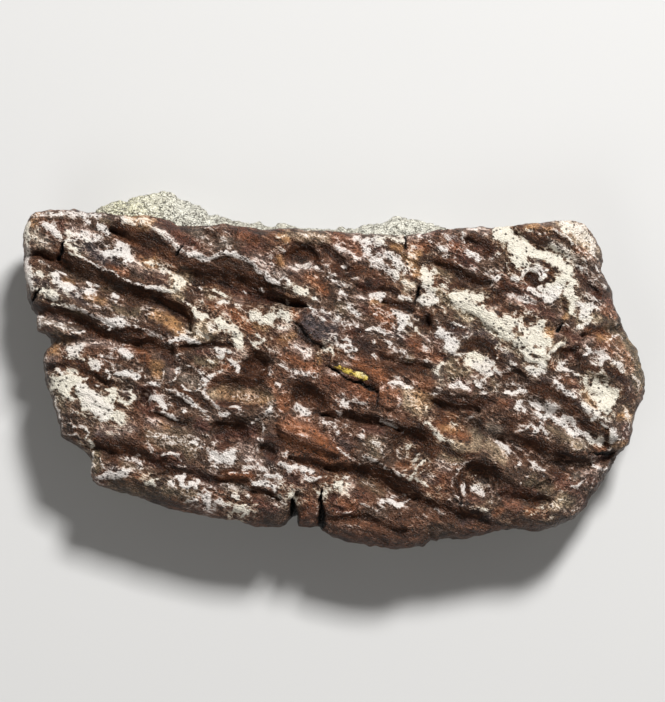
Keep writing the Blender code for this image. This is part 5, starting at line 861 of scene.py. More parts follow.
# White and lavender crust, as thick: brush strokes as above
WHITE_CRUST = (
    (1, 0.4, -23.8, 2.1, -23.4, 1.7, -22.8, 1.3, -22.5, 1.2),
    (1, 0.5, -32.6, 16.2, -31.9, 16, -31.3, 15.3, -30.8, 14.8),
    (0.9, 0.2, -30.2, 14.5, -29.3, 14.4, -28.7, 14.6), (1, 0.7, -23.8, 13.9, -23.4, 13, -23.2, 12.2),
    (1, 0.6, -25.3, 13, -24.5, 12.9, -23.6, 12.8), (0.9, 0.4, -26.4, 16.1, -25.8, 15.6, -25.4, 15.1),
    (0.9, 0.25, -27.7, 16.6, -27.4, 16.4),
    (1, 0.45, -31.3, 10.5, -31, 9.8, -30.4, 9.3, -29.6, 9, -28.9, 8.9),
    (0.8, 0.25, -30.7, 10.8, -30.2, 10.5), (0.7, 0.2, -34.3, 9, -33.6, 9),
    (0.9, 0.25, -27.7, 9.8, -27.3, 9.5), (0.7, 0.3, -26.9, 9.4, -26.3, 9.3),
    (1, 0.45, -27.7, 8.5, -27.2, 8.7), (1, 0.3, -24.7, 8.3, -24.3, 8.1),
    (0.6, 0.15, -34.9, 15.3, -34.8, 14.5), (0.5, 0.2, -34.8, 11.6, -34.6, 10.2, -34.3, 9.4),
    (0.8, 0.35, -31.4, 7.7, -30.9, 7.9), (0.7, 0.25, -32.9, 5.3, -32.9, 4.6),
    (0.7, 0.2, -29.4, 3.8, -28.4, 3.9, -27.8, 4.1),
    (1, 0.5, -29.6, 1.9, -29, 1.6, -28.6, 2, -28.3, 2.2),
    (0.9, 0.45, -27.2, 0.6, -26.8, 0.3, -26.4, -0.1), (0.8, 0.35, -30.9, -0.2, -30.5, -0.6),
    (0.7, 0.1, -32.3, 1, -32.3, 0.2, -32.1, -0.7),
    (0.6, 0.15, -31.3, -2.8, -31.2, -3.8, -30.7, -4.8, -30.5, -5.8),
    (0.8, 0.2, -27.9, -1.4, -27.4, -1.2), (0.9, 0.2, -26.6, -2.1, -26.3, -2.2),
    (0.8, 0.3, -25.4, -0.4, -24.9, -0.7, -25.1, -1.2),
    (0.9, 0.4, -24.3, -0.8, -23.5, -0.6, -22.9, -0.7, -22.2, -1, -21.8, -1.2),
    (1, 0.5, -24.9, 4.9, -24.2, 4.9, -23.8, 4.6), (0.9, 0.25, -24.1, 5.4, -23.7, 5.3),
    (0.8, 0.2, -25.2, 4.3, -25, 4.4),
    (0.8, 0.15, -29.2, -6.8, -28.4, -6.6, -27.7, -6.9, -27.4, -7.5, -27.7, -8),
    (0.7, 0.15, -26.9, -9.4, -26.9, -10.6, -27, -11.8), (0.7, 0.2, -22, -9.8, -21.6, -9.9),
    (0.9, 0.45, -26.3, -12.2, -25.6, -12.1, -24.9, -12.2, -24.2, -12.1, -23.4, -11.8, -23, -11.8),
    (0.95, 0.35, -17.5, -12.3, -17, -12.6, -16.6, -12.2), (0.95, 0.3, -18.1, -12.9, -17.8, -13.2),
    (1, 0.6, -13.3, -9.7, -12.8, -10.3, -12, -10.4, -11.4, -9.9, -11.3, -10.6),
    (0.9, 0.45, -16.1, 12.8, -15.4, 12.6, -14.6, 12.3, -14, 12.2), (0.8, 0.2, -15.1, 9.1, -14.8, 8.9),
    (0.8, 0.15, -10, 8.7, -9.8, 8.5), (0.8, 0.2, -8.1, 8.8, -7.7, 8.6),
    (0.9, 0.2, -12.8, 7.3, -12.2, 7.4, -11.9, 7.2), (0.8, 0.15, -20.9, 6, -20.5, 6),
    (0.95, 0.35, -18.2, 2.9, -17.4, 3.1, -16.8, 3.3, -16.4, 3.2, -15.8, 2.9, -15, 2.7),
    (0.7, 0.15, -16.6, 4.1, -16.1, 3.8), (0.7, 0.4, -13.9, 4.6, -13.6, 4.1, -13.3, 4.6),
    (0.8, 0.1, -17.3, 1.4, -17.2, 0.8), (0.9, 0.4, -13.1, 2, -12.6, 1.6, -12, 1.8, -11.6, 1.6),
    (0.9, 0.3, -12.9, 1.1, -12.4, 1.1), (0.9, 0.3, -11.4, 0.8, -11.2, 0.3, -10.7, 0, -10.5, -0.5),
    (0.6, 0.1, -10.6, 0.6, -10.2, 0.7), (0.8, 0.35, -15, -0.4, -14.4, -1.3, -13.9, -1.2, -13.4, -0.9),
    (0.7, 0.2, -14.9, -1.9, -14.8, -1.9), (0.7, 0.2, -12.7, -0.5, -12.5, -0.5),
    (0.8, 0.3, -11.4, -4.6, -10.8, -4.6, -10.4, -4.8), (0.9, 0.2, -7, -4.4, -6.9, -4.9, -7.4, -5),
    (0.8, 0.25, -21, -1.7, -20.2, -1.9, -19.4, -2.1),
    (0.9, 0.4, -20.2, -3.5, -19.5, -3.7, -19, -4.3, -18.8, -4.6), (0.8, 0.35, -16.7, -5, -16.5, -5),
    (0.8, 0.25, -19.2, -5, -18.3, -5.4, -17.6, -5.7, -17, -6.1), (0.8, 0.3, -6.4, -1.9, -6, -2),
    (0.6, 0.15, -7.9, -0.3, -7.7, -0.3), (0.95, 0.35, -15.7, -8.3, -15.3, -8.6),
    (0.8, 0.15, -14.3, -7.8, -14.1, -7.8), (0.6, 0.25, -13.4, -8.5, -13.2, -8.5),
    (0.8, 0.35, -12.6, -5.3, -12, -5.5, -11.5, -5.3), (0.8, 0.2, -13.3, -11.1, -12.8, -11.4),
    (0.8, 0.2, -11.8, -10.9, -11, -11), (0.6, 0.4, -8.2, -11.3, -7.4, -11.6, -6.6, -11.2, -6.2, -11.7),
    (0.8, 0.25, -7.6, -12.1, -6.8, -12.2, -6.2, -12.1),
    (0.95, 0.35, -16.9, -13.2, -16.3, -13.6, -15.7, -13.1, -15.4, -13.5, -15.1, -12.9),
    (0.8, 0.2, -10.1, -13.5, -9.6, -13.7, -9.3, -13.8),
    (0.95, 0.3, -8.8, -13.1, -8, -13.1, -7.2, -13.3, -6.6, -13.4, -6.4, -13.8),
    (0.8, 0.15, -8.2, -12.8, -7, -12.8), (0.95, 0.3, -11.1, -14.4, -10.6, -14.6),
    (0.8, 0.2, -9.5, -14.7, -9.5, -14.4), (1, 0.5, -14, -14.4, -14.1, -14.9, -13.8, -15.4),
    (0.7, 0.35, -13.2, -15.2, -12.7, -15, -12, -15.5, -11.5, -15.6),
    (0.8, 0.15, -16.4, -14.9, -15.6, -15, -15, -14.8), (0.8, 0.15, -6.8, -14.8, -6.6, -14.8),
    (0.9, 0.35, 5.6, -15, 6.2, -15.1, 6.8, -15.2, 7.4, -15.6, 8.1, -15.3, 8.6, -14.8),
    (0.8, 0.2, 1, 3, 1.6, 3.1, 2, 2.9),
    (0.85, 0.35, -5.9, -10.9, -5.4, -11.2, -4.8, -11.4, -4.2, -11.2, -4, -11.3, -3.2, -11.5, -2.2,
     -11.8), (0.9, 0.3, -1.7, 11.2, -1.4, 11.1), (0.8, 0.25, -6, 9.6, -5.4, 10.2, -5, 9.7, -4.8, 9.2),
    (0.8, 0.3, 1.1, 11.4, 1.4, 11.2), (0.8, 0.4, 3.6, 13.4, 4.2, 13.1),
    (0.8, 0.5, 6.2, 12.8, 6.8, 12.2, 7.6, 11.4, 8.2, 10.8), (0.7, 0.4, 6.8, 12.9, 7.4, 12.6),
    (0.8, 0.5, 6.4, 10.9, 7.2, 10.5, 7, 9.8), (0.8, 0.5, 4.4, 8, 5.2, 7.8, 5.6, 8.1),
    (0.7, 0.4, 7.6, 7.9, 8.6, 7.6), (0.7, 0.2, -5.2, 7.6, -5, 7.2), (0.7, 0.35, -2.2, 7.9, -1.6, 7.5),
    (0.8, 0.25, -2.5, 6.8, -2.2, 6.2), (0.9, 0.2, 0.5, 5.8, 0.6, 5.7),
    (0.8, 0.35, 1.8, 6.8, 2.4, 6.2, 3, 5.8), (1, 0.5, 7, 6.1, 7.6, 5.5, 7.8, 4.9, 7.6, 4.2),
    (0.9, 0.35, 8, 5.6, 8.4, 5.6), (0.9, 0.3, 8.8, 4.8, 8.9, 4.6),
    (0.75, 0.35, 3.8, 4, 4.6, 4.3, 5.4, 4.1, 5.8, 3.6), (0.7, 0.25, 4.5, 2.9, 4.7, 2.6),
    (0.9, 0.4, 0.3, 3, 0.6, 2.5, 1.2, 2.1), (0.9, 0.25, 1.4, 1.8, 2, 1.8, 2.6, 1.9),
    (0.72, 0.55, -4, -4.4, -3.5, -4.7, -2.8, -5.2, -3.4, -5.4),
    (0.9, 0.2, 6.2, -1.9, 7, -1.9, 7.6, -1.8, 8.2, -2.2, 9, -2.3),
    (0.6, 0.3, 7.4, -3.3, 7.7, -3.9, 7.2, -4.4), (0.9, 0.4, 1.2, -3.8, 1.3, -4.2, 1.7, -4),
    (0.6, 0.3, 0.5, -4.9, 0.9, -5.2), (0.8, 0.2, -5.3, -9.7, -5.1, -9.7),
    (0.8, 0.25, -5.9, -12.4, -5.7, -12.4),
    (0.8, 0.35, -3, -12.3, -2.5, -12.6, -1.8, -12.6, -1.3, -12.4),
    (0.7, 0.15, -1.6, -14.6, -1.2, -15.1), (0.8, 0.3, 1.3, -12.5, 1.7, -12.4),
    (0.6, 0.35, 6.6, -14.5, 7.2, -14.6), (0.8, 0.3, 0.6, -7.3, 0.5, -7.6),
    (0.85, 0.2, 5.4, -6, 6, -6.2, 6.6, -6.5, 7.2, -6.8),
    (0.9, 0.3, 13.4, -2, 14.2, -1.9, 14.8, -2.3, 15.2, -2.4),
    (0.9, 0.3, 18.3, -8.5, 18.9, -8.8, 19.5, -9.1, 19.8, -9.5), (0.7, 0.2, 10.6, 14.4, 11.4, 14.1),
    (0.9, 0.3, 12.2, 13.4, 12.8, 13.2), (0.7, 0.25, 12.4, 12.6, 12.7, 12.4),
    (0.75, 0.15, 14.6, 15.3, 14.7, 14.6, 14.9, 14), (0.75, 0.5, 15.2, 13, 16, 12.6, 16.6, 12.1),
    (1, 0.35, 18.4, 9.9, 18.7, 10.2), (0.9, 0.4, 20.2, 10, 20.8, 9.8),
    (0.9, 0.25, 21.2, 10.2, 21.6, 10.9, 22.4, 11.1, 23.1, 10.9, 23.4, 10.4),
    (0.8, 0.25, 23, 11.5, 23.6, 10.9, 24.2, 11), (0.9, 0.35, 22, 8.9, 22.8, 8.5, 23.4, 8, 24.1, 7.6),
    (0.85, 0.4, 23.4, 9, 24.1, 8.6), (0.7, 0.4, 10.4, 9, 10.8, 8.4, 11.2, 8, 10.8, 7.6),
    (0.8, 0.15, 13.2, 4.9, 14.2, 4.7, 15, 4.5),
    (1, 0.5, 12, 4, 12.8, 3.5, 13, 3, 13.6, 2.6, 13.4, 2, 12.8, 2.4),
    (0.8, 0.25, 11.6, 3.4, 12.4, 3.2), (0.7, 0.25, 11.7, 4.3, 12, 4.5),
    (0.7, 0.25, 14.4, 3.2, 15.1, 3.3), (1, 0.5, 17, 0.2, 17.7, 0.5, 17.4, -0.2),
    (0.7, 0.3, 18.2, -0.5, 18.6, -0.8), (0.7, 0.05, 18.5, 1.5, 18.5, 1, 18.3, 0.6),
    (0.7, 0.25, 13.4, 1.3, 14.2, 1.4, 14.8, 1.6), (0.8, 0.1, 10.2, 2.6, 10.4, 2.2, 10.6, 1.9),
    (0.8, 0.2, 10.4, 0.7, 10.7, 0.5), (0.75, 0.35, 16, -1.4, 16.4, -2.2, 16.7, -1.6),
    (0.7, 0.2, 17, -1.3, 17.2, -1.9), (0.7, 0.35, 16.7, -2.9, 17.2, -3),
    (0.9, 0.35, 19.4, -2.8, 20.2, -3, 21, -2.6, 21.6, -2.7), (0.8, 0.35, 20, 0.6, 20.5, 0.3),
    (0.8, 0.45, 22, -0.2, 23, -0.6, 24, -0.6), (0.8, 0.35, 20.6, -4.4, 21, -3.8, 20.9, -4.8),
    (0.95, 0.5, 22.4, -4.2, 23.4, -4.6, 24.2, -4.2), (1, 0.3, 14.4, -13.2, 14.5, -13.8, 14.7, -14.4),
    (1, 0.35, 15.6, -13.6, 16.2, -13.6, 16.4, -13.9, 16.9, -14.2), (0.8, 0.2, 19.4, -9.6, 20, -9.8),
    (0.7, 0.15, 20.2, -8.5, 20.8, -8.9, 21.2, -9.3), (0.9, 0.2, 20.9, -10.7, 20.9, -11),
    (0.8, 0.1, 21, -7.2, 21.6, -7, 22.2, -6.6, 22.8, -6.3),
    (0.75, 0.3, 22.4, -6.7, 22.9, -6.8, 22.6, -7.4), (0.75, 0.2, 23.2, -6.2, 23.5, -6.8, 24.1, -7.6),
    (1, 0.5, 23, -5.2, 23.4, -5.6, 24.2, -5.4), (0.7, 0.2, 10.5, -12, 11.2, -12.3),
    (0.8, 0.15, 11.4, -15.9, 11.9, -16, 12.3, -16.4),
    (0.7, 0.1, 21.9, -9.9, 21.9, -10.4, 22.4, -10.8, 22.9, -10.3, 22.5, -9.8),
    (0.95, 0.35, 24.6, -5.6, 25.2, -6, 26, -6.4, 26.6, -6.9, 27.1, -7.5, 27.8, -7.2, 28.6, -7.6, 28.9,
     -8.2), (0.9, 0.4, 25.9, -5.5, 26.8, -5.9, 27.4, -6.8),
    (0.75, 0.2, 25.2, 15.4, 26, 15, 26.7, 14.6, 27.1, 13.9),
    (0.7, 0.4, 27.6, 15, 28.2, 14.6, 29.2, 14.4, 29.8, 14.8), (0.7, 0.3, 28.6, 14, 29.4, 13.8),
    (0.7, 0.4, 25.8, 16.5, 27.2, 16.6, 28.4, 16.1), (0.9, 0.2, 29.7, 11.8, 29.9, 11.4, 30.1, 11.1),
    (0.9, 0.3, 27.7, 11.7, 28.2, 11.3), (0.7, 0.3, 30.4, 9.6, 31, 9.3),
    (0.9, 0.3, 23, 11.4, 23.6, 10.9, 23.9, 10.4, 23.4, 10),
    (1, 0.2, 21.2, 10.2, 21.6, 10.8, 22.3, 11.1, 23.1, 10.9),
    (0.9, 0.6, 23.2, 8.9, 24.2, 8.6, 25.4, 8.8, 24.6, 7.7, 23.6, 8),
    (0.85, 0.6, 27.6, 7.2, 28.4, 6.6, 28.2, 5.8, 29, 7), (0.9, 0.25, 29.2, 7, 29.8, 6.8),
    (0.8, 0.4, 27.8, 4.6, 28.6, 4.9), (0.8, 0.1, 30.8, 3.1, 31.6, 3.5, 32.3, 3.8),
    (0.9, 0.35, 29.7, 1.8, 30.4, 1.6, 30.8, 1, 30.3, 0.9, 30.2, 0.2),
    (0.75, 0.3, 28.6, 2.4, 28.9, 1.8, 28.3, 1.3), (0.8, 0.25, 29, 0.5, 29.6, 0.1),
    (0.8, 0.4, 31.6, 0.7, 32.2, 0.4, 32.6, -0.2),
    (0.75, 0.3, 25.4, 0.5, 26, 0.7, 25.3, -0.2, 26.2, -0.3, 27, -0.7, 27.5, -0.9),
    (0.9, 0.35, 25, -1.6, 25.4, -2.2, 26.2, -2.8, 27, -3.4),
    (0.8, 0.4, 22.6, -0.7, 23.6, -0.4, 23.4, 0.4),
    (0.9, 0.4, 28.2, -4.2, 28.8, -4.8, 29.8, -5.2, 29.2, -5.8),
    (0.95, 0.5, 22.6, -4.2, 23.6, -4.6, 24.6, -4.6, 24, -5.2),
    (1, 0.4, 29.4, -8.1, 30.2, -8.2, 29.8, -8.6), (1, 0.35, 31.4, -7, 31.7, -7.6, 31.4, -8.2),
    (0.8, 0.2, 30.8, -6.8, 30, -6.2), (0.75, 0.2, 31.2, -8.9, 31, -9.1),
    (0.95, 0.25, 29.1, -10.4, 29.4, -10.9, 29.9, -11.2, 30.4, -11.4, 31, -11),
    (0.9, 0.15, 26.8, -13.3, 27.3, -13.3, 27.8, -12.9, 28.4, -12.4),
    (0.8, 0.4, 22.4, -10.8, 22.9, -11.2, 23.6, -11.6), (0.7, 0.1, 29, -13.6, 29.2, -12.9, 29.5, -12.4),
    (0.8, 0.2, 27.5, -11.7, 27.4, -11.8), (0.8, 0.1, 26.6, -16, 27.4, -15.8, 28, -15.6),
    (0.8, 0.15, 33.5, -6.2, 33.4, -7), (0.8, 0.3, 22.4, -6.6, 23, -6.8, 22.6, -7.5),
    (0.9, 0.6, 9.8, 7.5, 10.8, 7.3, 11.6, 7.6), (0.7, 0.6, 20.9, -4.1, 21.4, -4.8),
    (0.7, 0.7, 3.6, 13.4, 5, 11.8, 6.6, 10.6), (0.85, 0.45, -34.5, 12, -34.3, 10.4, -33.8, 9),
    (1, 0.8, -28.2, -2.4, -27.2, -3.6, -26.3, -4.8, -25.6, -5.7), (1, 0.8, -26.8, -3.2, -25.2, -4.6),
    (1, 0.5, -24.5, 5.1, -23.5, 4.9), (0.7, 0.15, -31.4, -2.6, -31, -4.2, -30.5, -5.8, -30.3, -7),
    (1, 0.4, -14.3, -14.5, -14, -15), (0.8, 0.3, 0.8, 2.3, 2, 2.3),
    (1, 0.6, 16, 0.3, 17, -0.4, 17.8, -0.8), (1, 0.25, 14.7, -13.2, 14.7, -14.4),
    (1, 0.35, 15.8, -13.4, 16.8, -13.9), (0.7, 0.15, 11.4, -10.4, 13, -11, 14.6, -10.9, 15.6, -10.4),
)


def smooth(low, high, value):
    """The cubic step 3t^2 - 2t^3, with t from 0 at low to 1 at high."""
    t = np.clip((value - low) / (high - low), 0.0, 1.0)
    return t * t * (3.0 - 2.0 * t)


def swell(share):
    """1 at the middle of a form and 0 at its border, by half a cosine wave."""
    return 0.5 + 0.5 * np.cos(np.pi * np.clip(share, 0.0, 1.0))


def cell_random(cells, seed):
    """A number from 0 to 1 for each lattice cell: its three integers and the seed are multiplied by
    large odd numbers, joined by exclusive or, and mixed twice."""
    mixed = (cells[..., 0] * 73856093) ^ (cells[..., 1] * 19349663) ^ (cells[..., 2] * 83492791)
    mixed = (mixed ^ (seed * 40503 + 977)) & 0xFFFFFFFF
    for shift in (16, 13):
        mixed = ((mixed ^ (mixed >> shift)) * 0x2C1B3C6D) & 0xFFFFFFFF
    return (mixed ^ (mixed >> 15)) / 2.0**32


def noise(points, size, seed, octaves=1):
    """Value noise from -1 to 1: random numbers at the corners of cells of that size, blended by
    6t^5 - 15t^4 + 10t^3. Each further octave has half the size and half the height."""
    total = np.zeros(len(points))
    for octave in range(octaves):
        place = points * (2.0**octave / size) + 17.3 * octave
        cell = np.floor(place).astype(np.int64)
        t = place - cell
        t = t * t * t * (t * (6.0 * t - 15.0) + 10.0)
        value = np.zeros(len(points))
        for corner in np.ndindex(2, 2, 2):
            weight = np.prod(np.where(corner, t, 1.0 - t), axis=1)
            value += weight * cell_random(cell + np.array(corner), seed + octave)
        total += (2.0 * value - 1.0) * 0.5**octave
    return total / (2.0 - 0.5 ** (octaves - 1))


def resampled(edge, share):
    """Points at the given shares of an edge's length."""
    line = np.array(edge, float)
    run = np.concatenate([[0.0], np.cumsum(np.linalg.norm(np.diff(line, axis=0), axis=1))])
    return np.stack([np.interp(share * run[-1], run, line[:, k]) for k in (0, 1)], axis=-1)


def plate_plan(u, v):
    """The plan point at share u along and share v across the plate: a Coons patch, which adds the
    blend of the north and south edges to that of the west and east ones and takes the corners' own off."""
    south, north = resampled(SOUTH_EDGE, u), resampled(NORTH_EDGE, u)
    west, east = resampled(WEST_EDGE, v), resampled(EAST_EDGE, 1.0 - v)
    u, v = u[..., None], v[..., None]
    corners = (1 - v) * ((1 - u) * np.array(SOUTH_EDGE[0]) + u * np.array(SOUTH_EDGE[-1]))
    corners = corners + v * ((1 - u) * np.array(NORTH_EDGE[0]) + u * np.array(NORTH_EDGE[-1]))
    return (1 - v) * south + v * north + (1 - u) * west + u * east - corners


def distance_to_line(points, line, shift=0.0):
    """Each point's distance to a polyline of (x, y, half width), divided by the half width where it
    is nearest. The shift moves the line away from the light by that share of its half width."""
    line = np.array(line, float)
    line[:, :2] -= shift * line[:, 2:] * np.array(LIGHT_WAY)
    reach = 1.5 * line[:, 2].max()
    near = ((points > line[:, :2].min(0) - reach) & (points < line[:, :2].max(0) + reach)).all(axis=1)
    close = points[near]
    share = np.full(len(close), np.inf)
    for start, end in zip(line[:-1], line[1:]):
        run = end[:2] - start[:2]
        t = np.clip((close - start[:2]) @ run / max(run @ run, 1e-6), 0.0, 1.0)
        gap = np.linalg.norm(close - start[:2] - t[:, None] * run, axis=1)
        share = np.minimum(share, gap / (start[2] + t * (end[2] - start[2])))
    shares = np.full(len(points), np.inf)
    shares[near] = share
    return shares


def distance_to_spot(points, x, y, along, across, turn):
    """Each point's distance to the middle of a turned ellipse, as a share of its radius that way."""
    c, s = math.cos(math.radians(turn)), math.sin(math.radians(turn))
    away = points - (x, y)
    return np.hypot((away @ (c, s)) / along, (away @ (-s, c)) / across)


def hollows(points):
    """Depth of the grooves and pits. Where they meet, the fourth-power mean keeps the deeper."""
    total = np.zeros(len(points))
    for depth, line in GROOVES:
        total += (depth * swell(distance_to_line(points, line, SHADE_SHIFT))) ** 4
    for x, y, along, across, turn, depth in PITS:
        share = distance_to_spot(points, x, y, along, across, turn)
        total += (depth * swell(1.35 * share - 0.35)) ** 4
    return total**0.25


def raised(points):
    """Height of the ridge crests and the blocks, the tallest where they meet."""
    total = np.zeros(len(points))
    for height, line in CRESTS:
        total = np.maximum(total, height * swell(distance_to_line(points, line)))
    for x, y, along, across, turn, height in BLOCKS:
        share = distance_to_spot(points, x, y, along, across, turn)
        total = np.maximum(total, height * smooth(1.15, 0.8, share))
    return total


def cracks(points):
    """Depth of the cracks, which have steep sides."""
    total = np.zeros(len(points))
    for depth, line in CRACKS:
        total = np.maximum(total, depth * smooth(1.5, 0.5, distance_to_line(points, line)))
    return total


def rounding(points):
    """How far the face drops towards its edges: the drop times (1 - distance / reach) squared."""
    total = np.zeros(len(points))
    for edge, reach, drop in ROUNDED_EDGES:
        share = distance_to_line(points, [(x, y, reach) for x, y in edge])
        total = np.maximum(total, drop * np.clip(1 - share, 0.0, 1.0) ** 2)
    return total


def warped(points, size, reach, seed):
    """Plan points pushed about by noise, so that smooth forms get a natural border."""
    flat = np.column_stack([points[:, :2], np.zeros(len(points))])
    push = [noise(flat, size, seed + k, 2) for k in (0, 10)]
    return points[:, :2] + reach * np.stack(push, axis=-1)


def face_height(points):
    """Height of the ornamented face: a low crown, the crests, the hollows, the cracks, the rounded
    edges, a soft swell from place to place, and the fine ridges of the bone's fibres."""
    across = (points[:, 0] / (0.5 * PLATE_LENGTH)) ** 2 + (points[:, 1] / (0.6 * PLATE_WIDTH)) ** 2
    crown = CROWN_HEIGHT * (1 - 0.7 * across)
    flat = np.column_stack([points, np.zeros(len(points))])
    lumps = 0.22 * noise(flat, 3.0, 5, 2) + 0.12 * noise(flat, 1.1, 9, 2)
    bent = warped(points, 2.2, 0.35, 21)
    form = raised(bent) - hollows(bent) - cracks(warped(points, 0.8, 0.12, 31))
    return RIM_HEIGHT + crown + form - rounding(points) + lumps


def grid_faces(columns, rows, first=0):
    """Squares of a grid whose vertices are numbered down each column."""
    at = first + np.arange((columns + 1) * (rows + 1)).reshape(columns + 1, rows + 1)
    return np.stack([at[:-1, :-1], at[1:, :-1], at[1:, 1:], at[:-1, 1:]], axis=-1).reshape(-1, 4)


def grid_border(columns, rows, first=0):
    """Numbers of a grid's border vertices, once round, starting along its first row."""
    at = first + np.arange((columns + 1) * (rows + 1)).reshape(columns + 1, rows + 1)
    return np.concatenate([at[:-1, 0], at[-1, :-1], at[:0:-1, -1], at[0, :0:-1]])


def slab(face, under, rings, wall):
    """A closed slab from two grids of points, its face and its coarser underside. Rings of points
    join their borders: each goes straight down by its share, moved by wall(points, share). The last
    ring has as many points as the underside's border, and triangles take up the difference."""
    columns, rows = face.shape[0] - 1, face.shape[1] - 1
    under_columns, under_rows = under.shape[0] - 1, under.shape[1] - 1
    points = [face.reshape(-1, 3), under.reshape(-1, 3)]
    quads = [grid_faces(columns, rows), grid_faces(under_columns, under_rows, len(points[0]))[:, ::-1]]
    top = grid_border(columns, rows)
    foot = grid_border(under_columns, under_rows, len(points[0]))
    upper, lower = points[0][top], np.concatenate(points)[foot]
    finer = len(top) // len(foot)
    along = np.arange(len(top)) / finer
    mate = np.floor(along).astype(int)
    blend = (along - mate)[:, None]
    lower = lower[mate] * (1 - blend) + np.roll(lower, -1, axis=0)[mate] * blend
    ring, count = top, sum(len(p) for p in points)
    for k in range(1, rings):
        share = k / rings
        points.append(wall(upper + (lower - upper) * share, share))
        below = count + np.arange(len(top))
        quads.append(np.stack([ring, below, np.roll(below, -1), np.roll(ring, -1)], axis=-1))
        ring, count = below, count + len(top)
    ring = ring.reshape(-1, finer)
    after = np.roll(ring[:, :1], -1, axis=0)
    fan = np.concatenate([ring, after], axis=1)
    near, far = foot[:, None], np.roll(foot, -1)[:, None]
    half = finer // 2
    triangles = [np.stack([fan[:, k], foot, fan[:, k + 1]], axis=-1) for k in range(half)]
    triangles += [np.stack([fan[:, k], far[:, 0], fan[:, k + 1]], axis=-1) for k in range(half, finer)]
    triangles.append(np.concatenate([fan[:, half : half + 1], near, far], axis=1))
    return np.concatenate(points), np.concatenate(quads), np.concatenate(triangles)


def point_normals(points, quads, triangles):
    """Unit normals at the points: the sum of the normals of the faces round each, by their area."""
    normals = np.zeros_like(points)
    for faces, far in ((quads, 3), (triangles, 2)):
        if far == 3:
            first, second = (2, 0), (3, 1)
        else:
            first, second = (1, 0), (2, 0)
        one = points[faces[:, first[0]]] - points[faces[:, first[1]]]
        two = points[faces[:, second[0]]] - points[faces[:, second[1]]]
        for k in range(far + 1):
            np.add.at(normals, faces[:, k], np.cross(one, two))
    return normals / np.maximum(np.linalg.norm(normals, axis=1, keepdims=True), 1e-12)


def make_piece(name, points, quads, triangles, material, values):
    """A mesh object in metres from millimetre points, with a named value or colour at each point."""
    mesh = bpy.data.meshes.new(name)
    corners = np.concatenate([quads.ravel(), triangles.ravel()]).astype(np.int32)
    starts = np.concatenate([4 * np.arange(len(quads)), 4 * len(quads) + 3 * np.arange(len(triangles))])
    mesh.vertices.add(len(points))
    mesh.vertices.foreach_set("co", (points * MM).astype(np.float32).ravel())
    mesh.loops.add(len(corners))
    mesh.loops.foreach_set("vertex_index", corners)
    mesh.polygons.add(len(starts))
    mesh.polygons.foreach_set("loop_start", starts.astype(np.int32))
    for label, value in values.items():
        if value.ndim == 2:
            layer = mesh.attributes.new(label, "FLOAT_COLOR", "POINT")
            layer.data.foreach_set("color", np.column_stack([value, np.ones(len(value))]).ravel())
        else:
            mesh.attributes.new(label, "FLOAT", "POINT").data.foreach_set("value", value)
    mesh.update(calc_edges=True)
    mesh.validate()
    mesh.shade_smooth()
    mesh.materials.append(material)
    obj = bpy.data.objects.new(name, mesh)
    bpy.context.scene.collection.objects.link(obj)
    return obj


def plate_grid(squares, inset=0.0):
    """Plan points of the plate on a grid, kept that far inside its outline."""
    u = np.linspace(inset / PLATE_LENGTH, 1 - inset / PLATE_LENGTH, squares[0] + 1)
    v = np.linspace(inset / PLATE_WIDTH, 1 - inset / PLATE_WIDTH, squares[1] + 1)
    return plate_plan(*np.meshgrid(u, v, indexing="ij"))


def outwards(points):
    """Unit plan vectors away from the middle of the plate."""
    way = points[:, :2] - np.clip(points[:, :2], (-24.0, -8.0), (24.0, 8.0))
    return way / np.maximum(np.linalg.norm(way, axis=1, keepdims=True), 1e-6)


def bone_wall(points, share):
    """A broken wall: it swells outwards below the rim and steps in and out by thin level layers."""
    layers = noise(points * (0.35, 0.35, 2.4), 1.0, 61, 3)
    chips = noise(points, 1.8, 67, 2)
    out = 0.55 * math.sin(math.pi * share) + math.sin(math.pi * share) ** 0.5 * (0.28 * layers + 0.3 * chips)
    return points + np.column_stack([outwards(points) * out[:, None], np.zeros(len(points))])


def brushed(points, strokes, rough, soft=0.6, spread=0.0):
    """How far brush strokes cover each plan point: their strength at the middle, falling to 0 past the
    border, which the rough values move in and out. A stroke is a quarter slimmer at its two ends, and
    the spread widens every stroke on both sides."""
    total = np.zeros(len(points))
    for strength, half_width, *line in strokes:
        line = np.reshape(line, (-1, 2))
        widths = np.full(len(line), float(half_width))
        widths[[0, -1]] *= 0.75
        share = distance_to_line(points, np.column_stack([line, widths + spread]))
        total = np.maximum(total, strength * smooth(1.0 + soft, 1.0 - soft, share + rough))
    return total


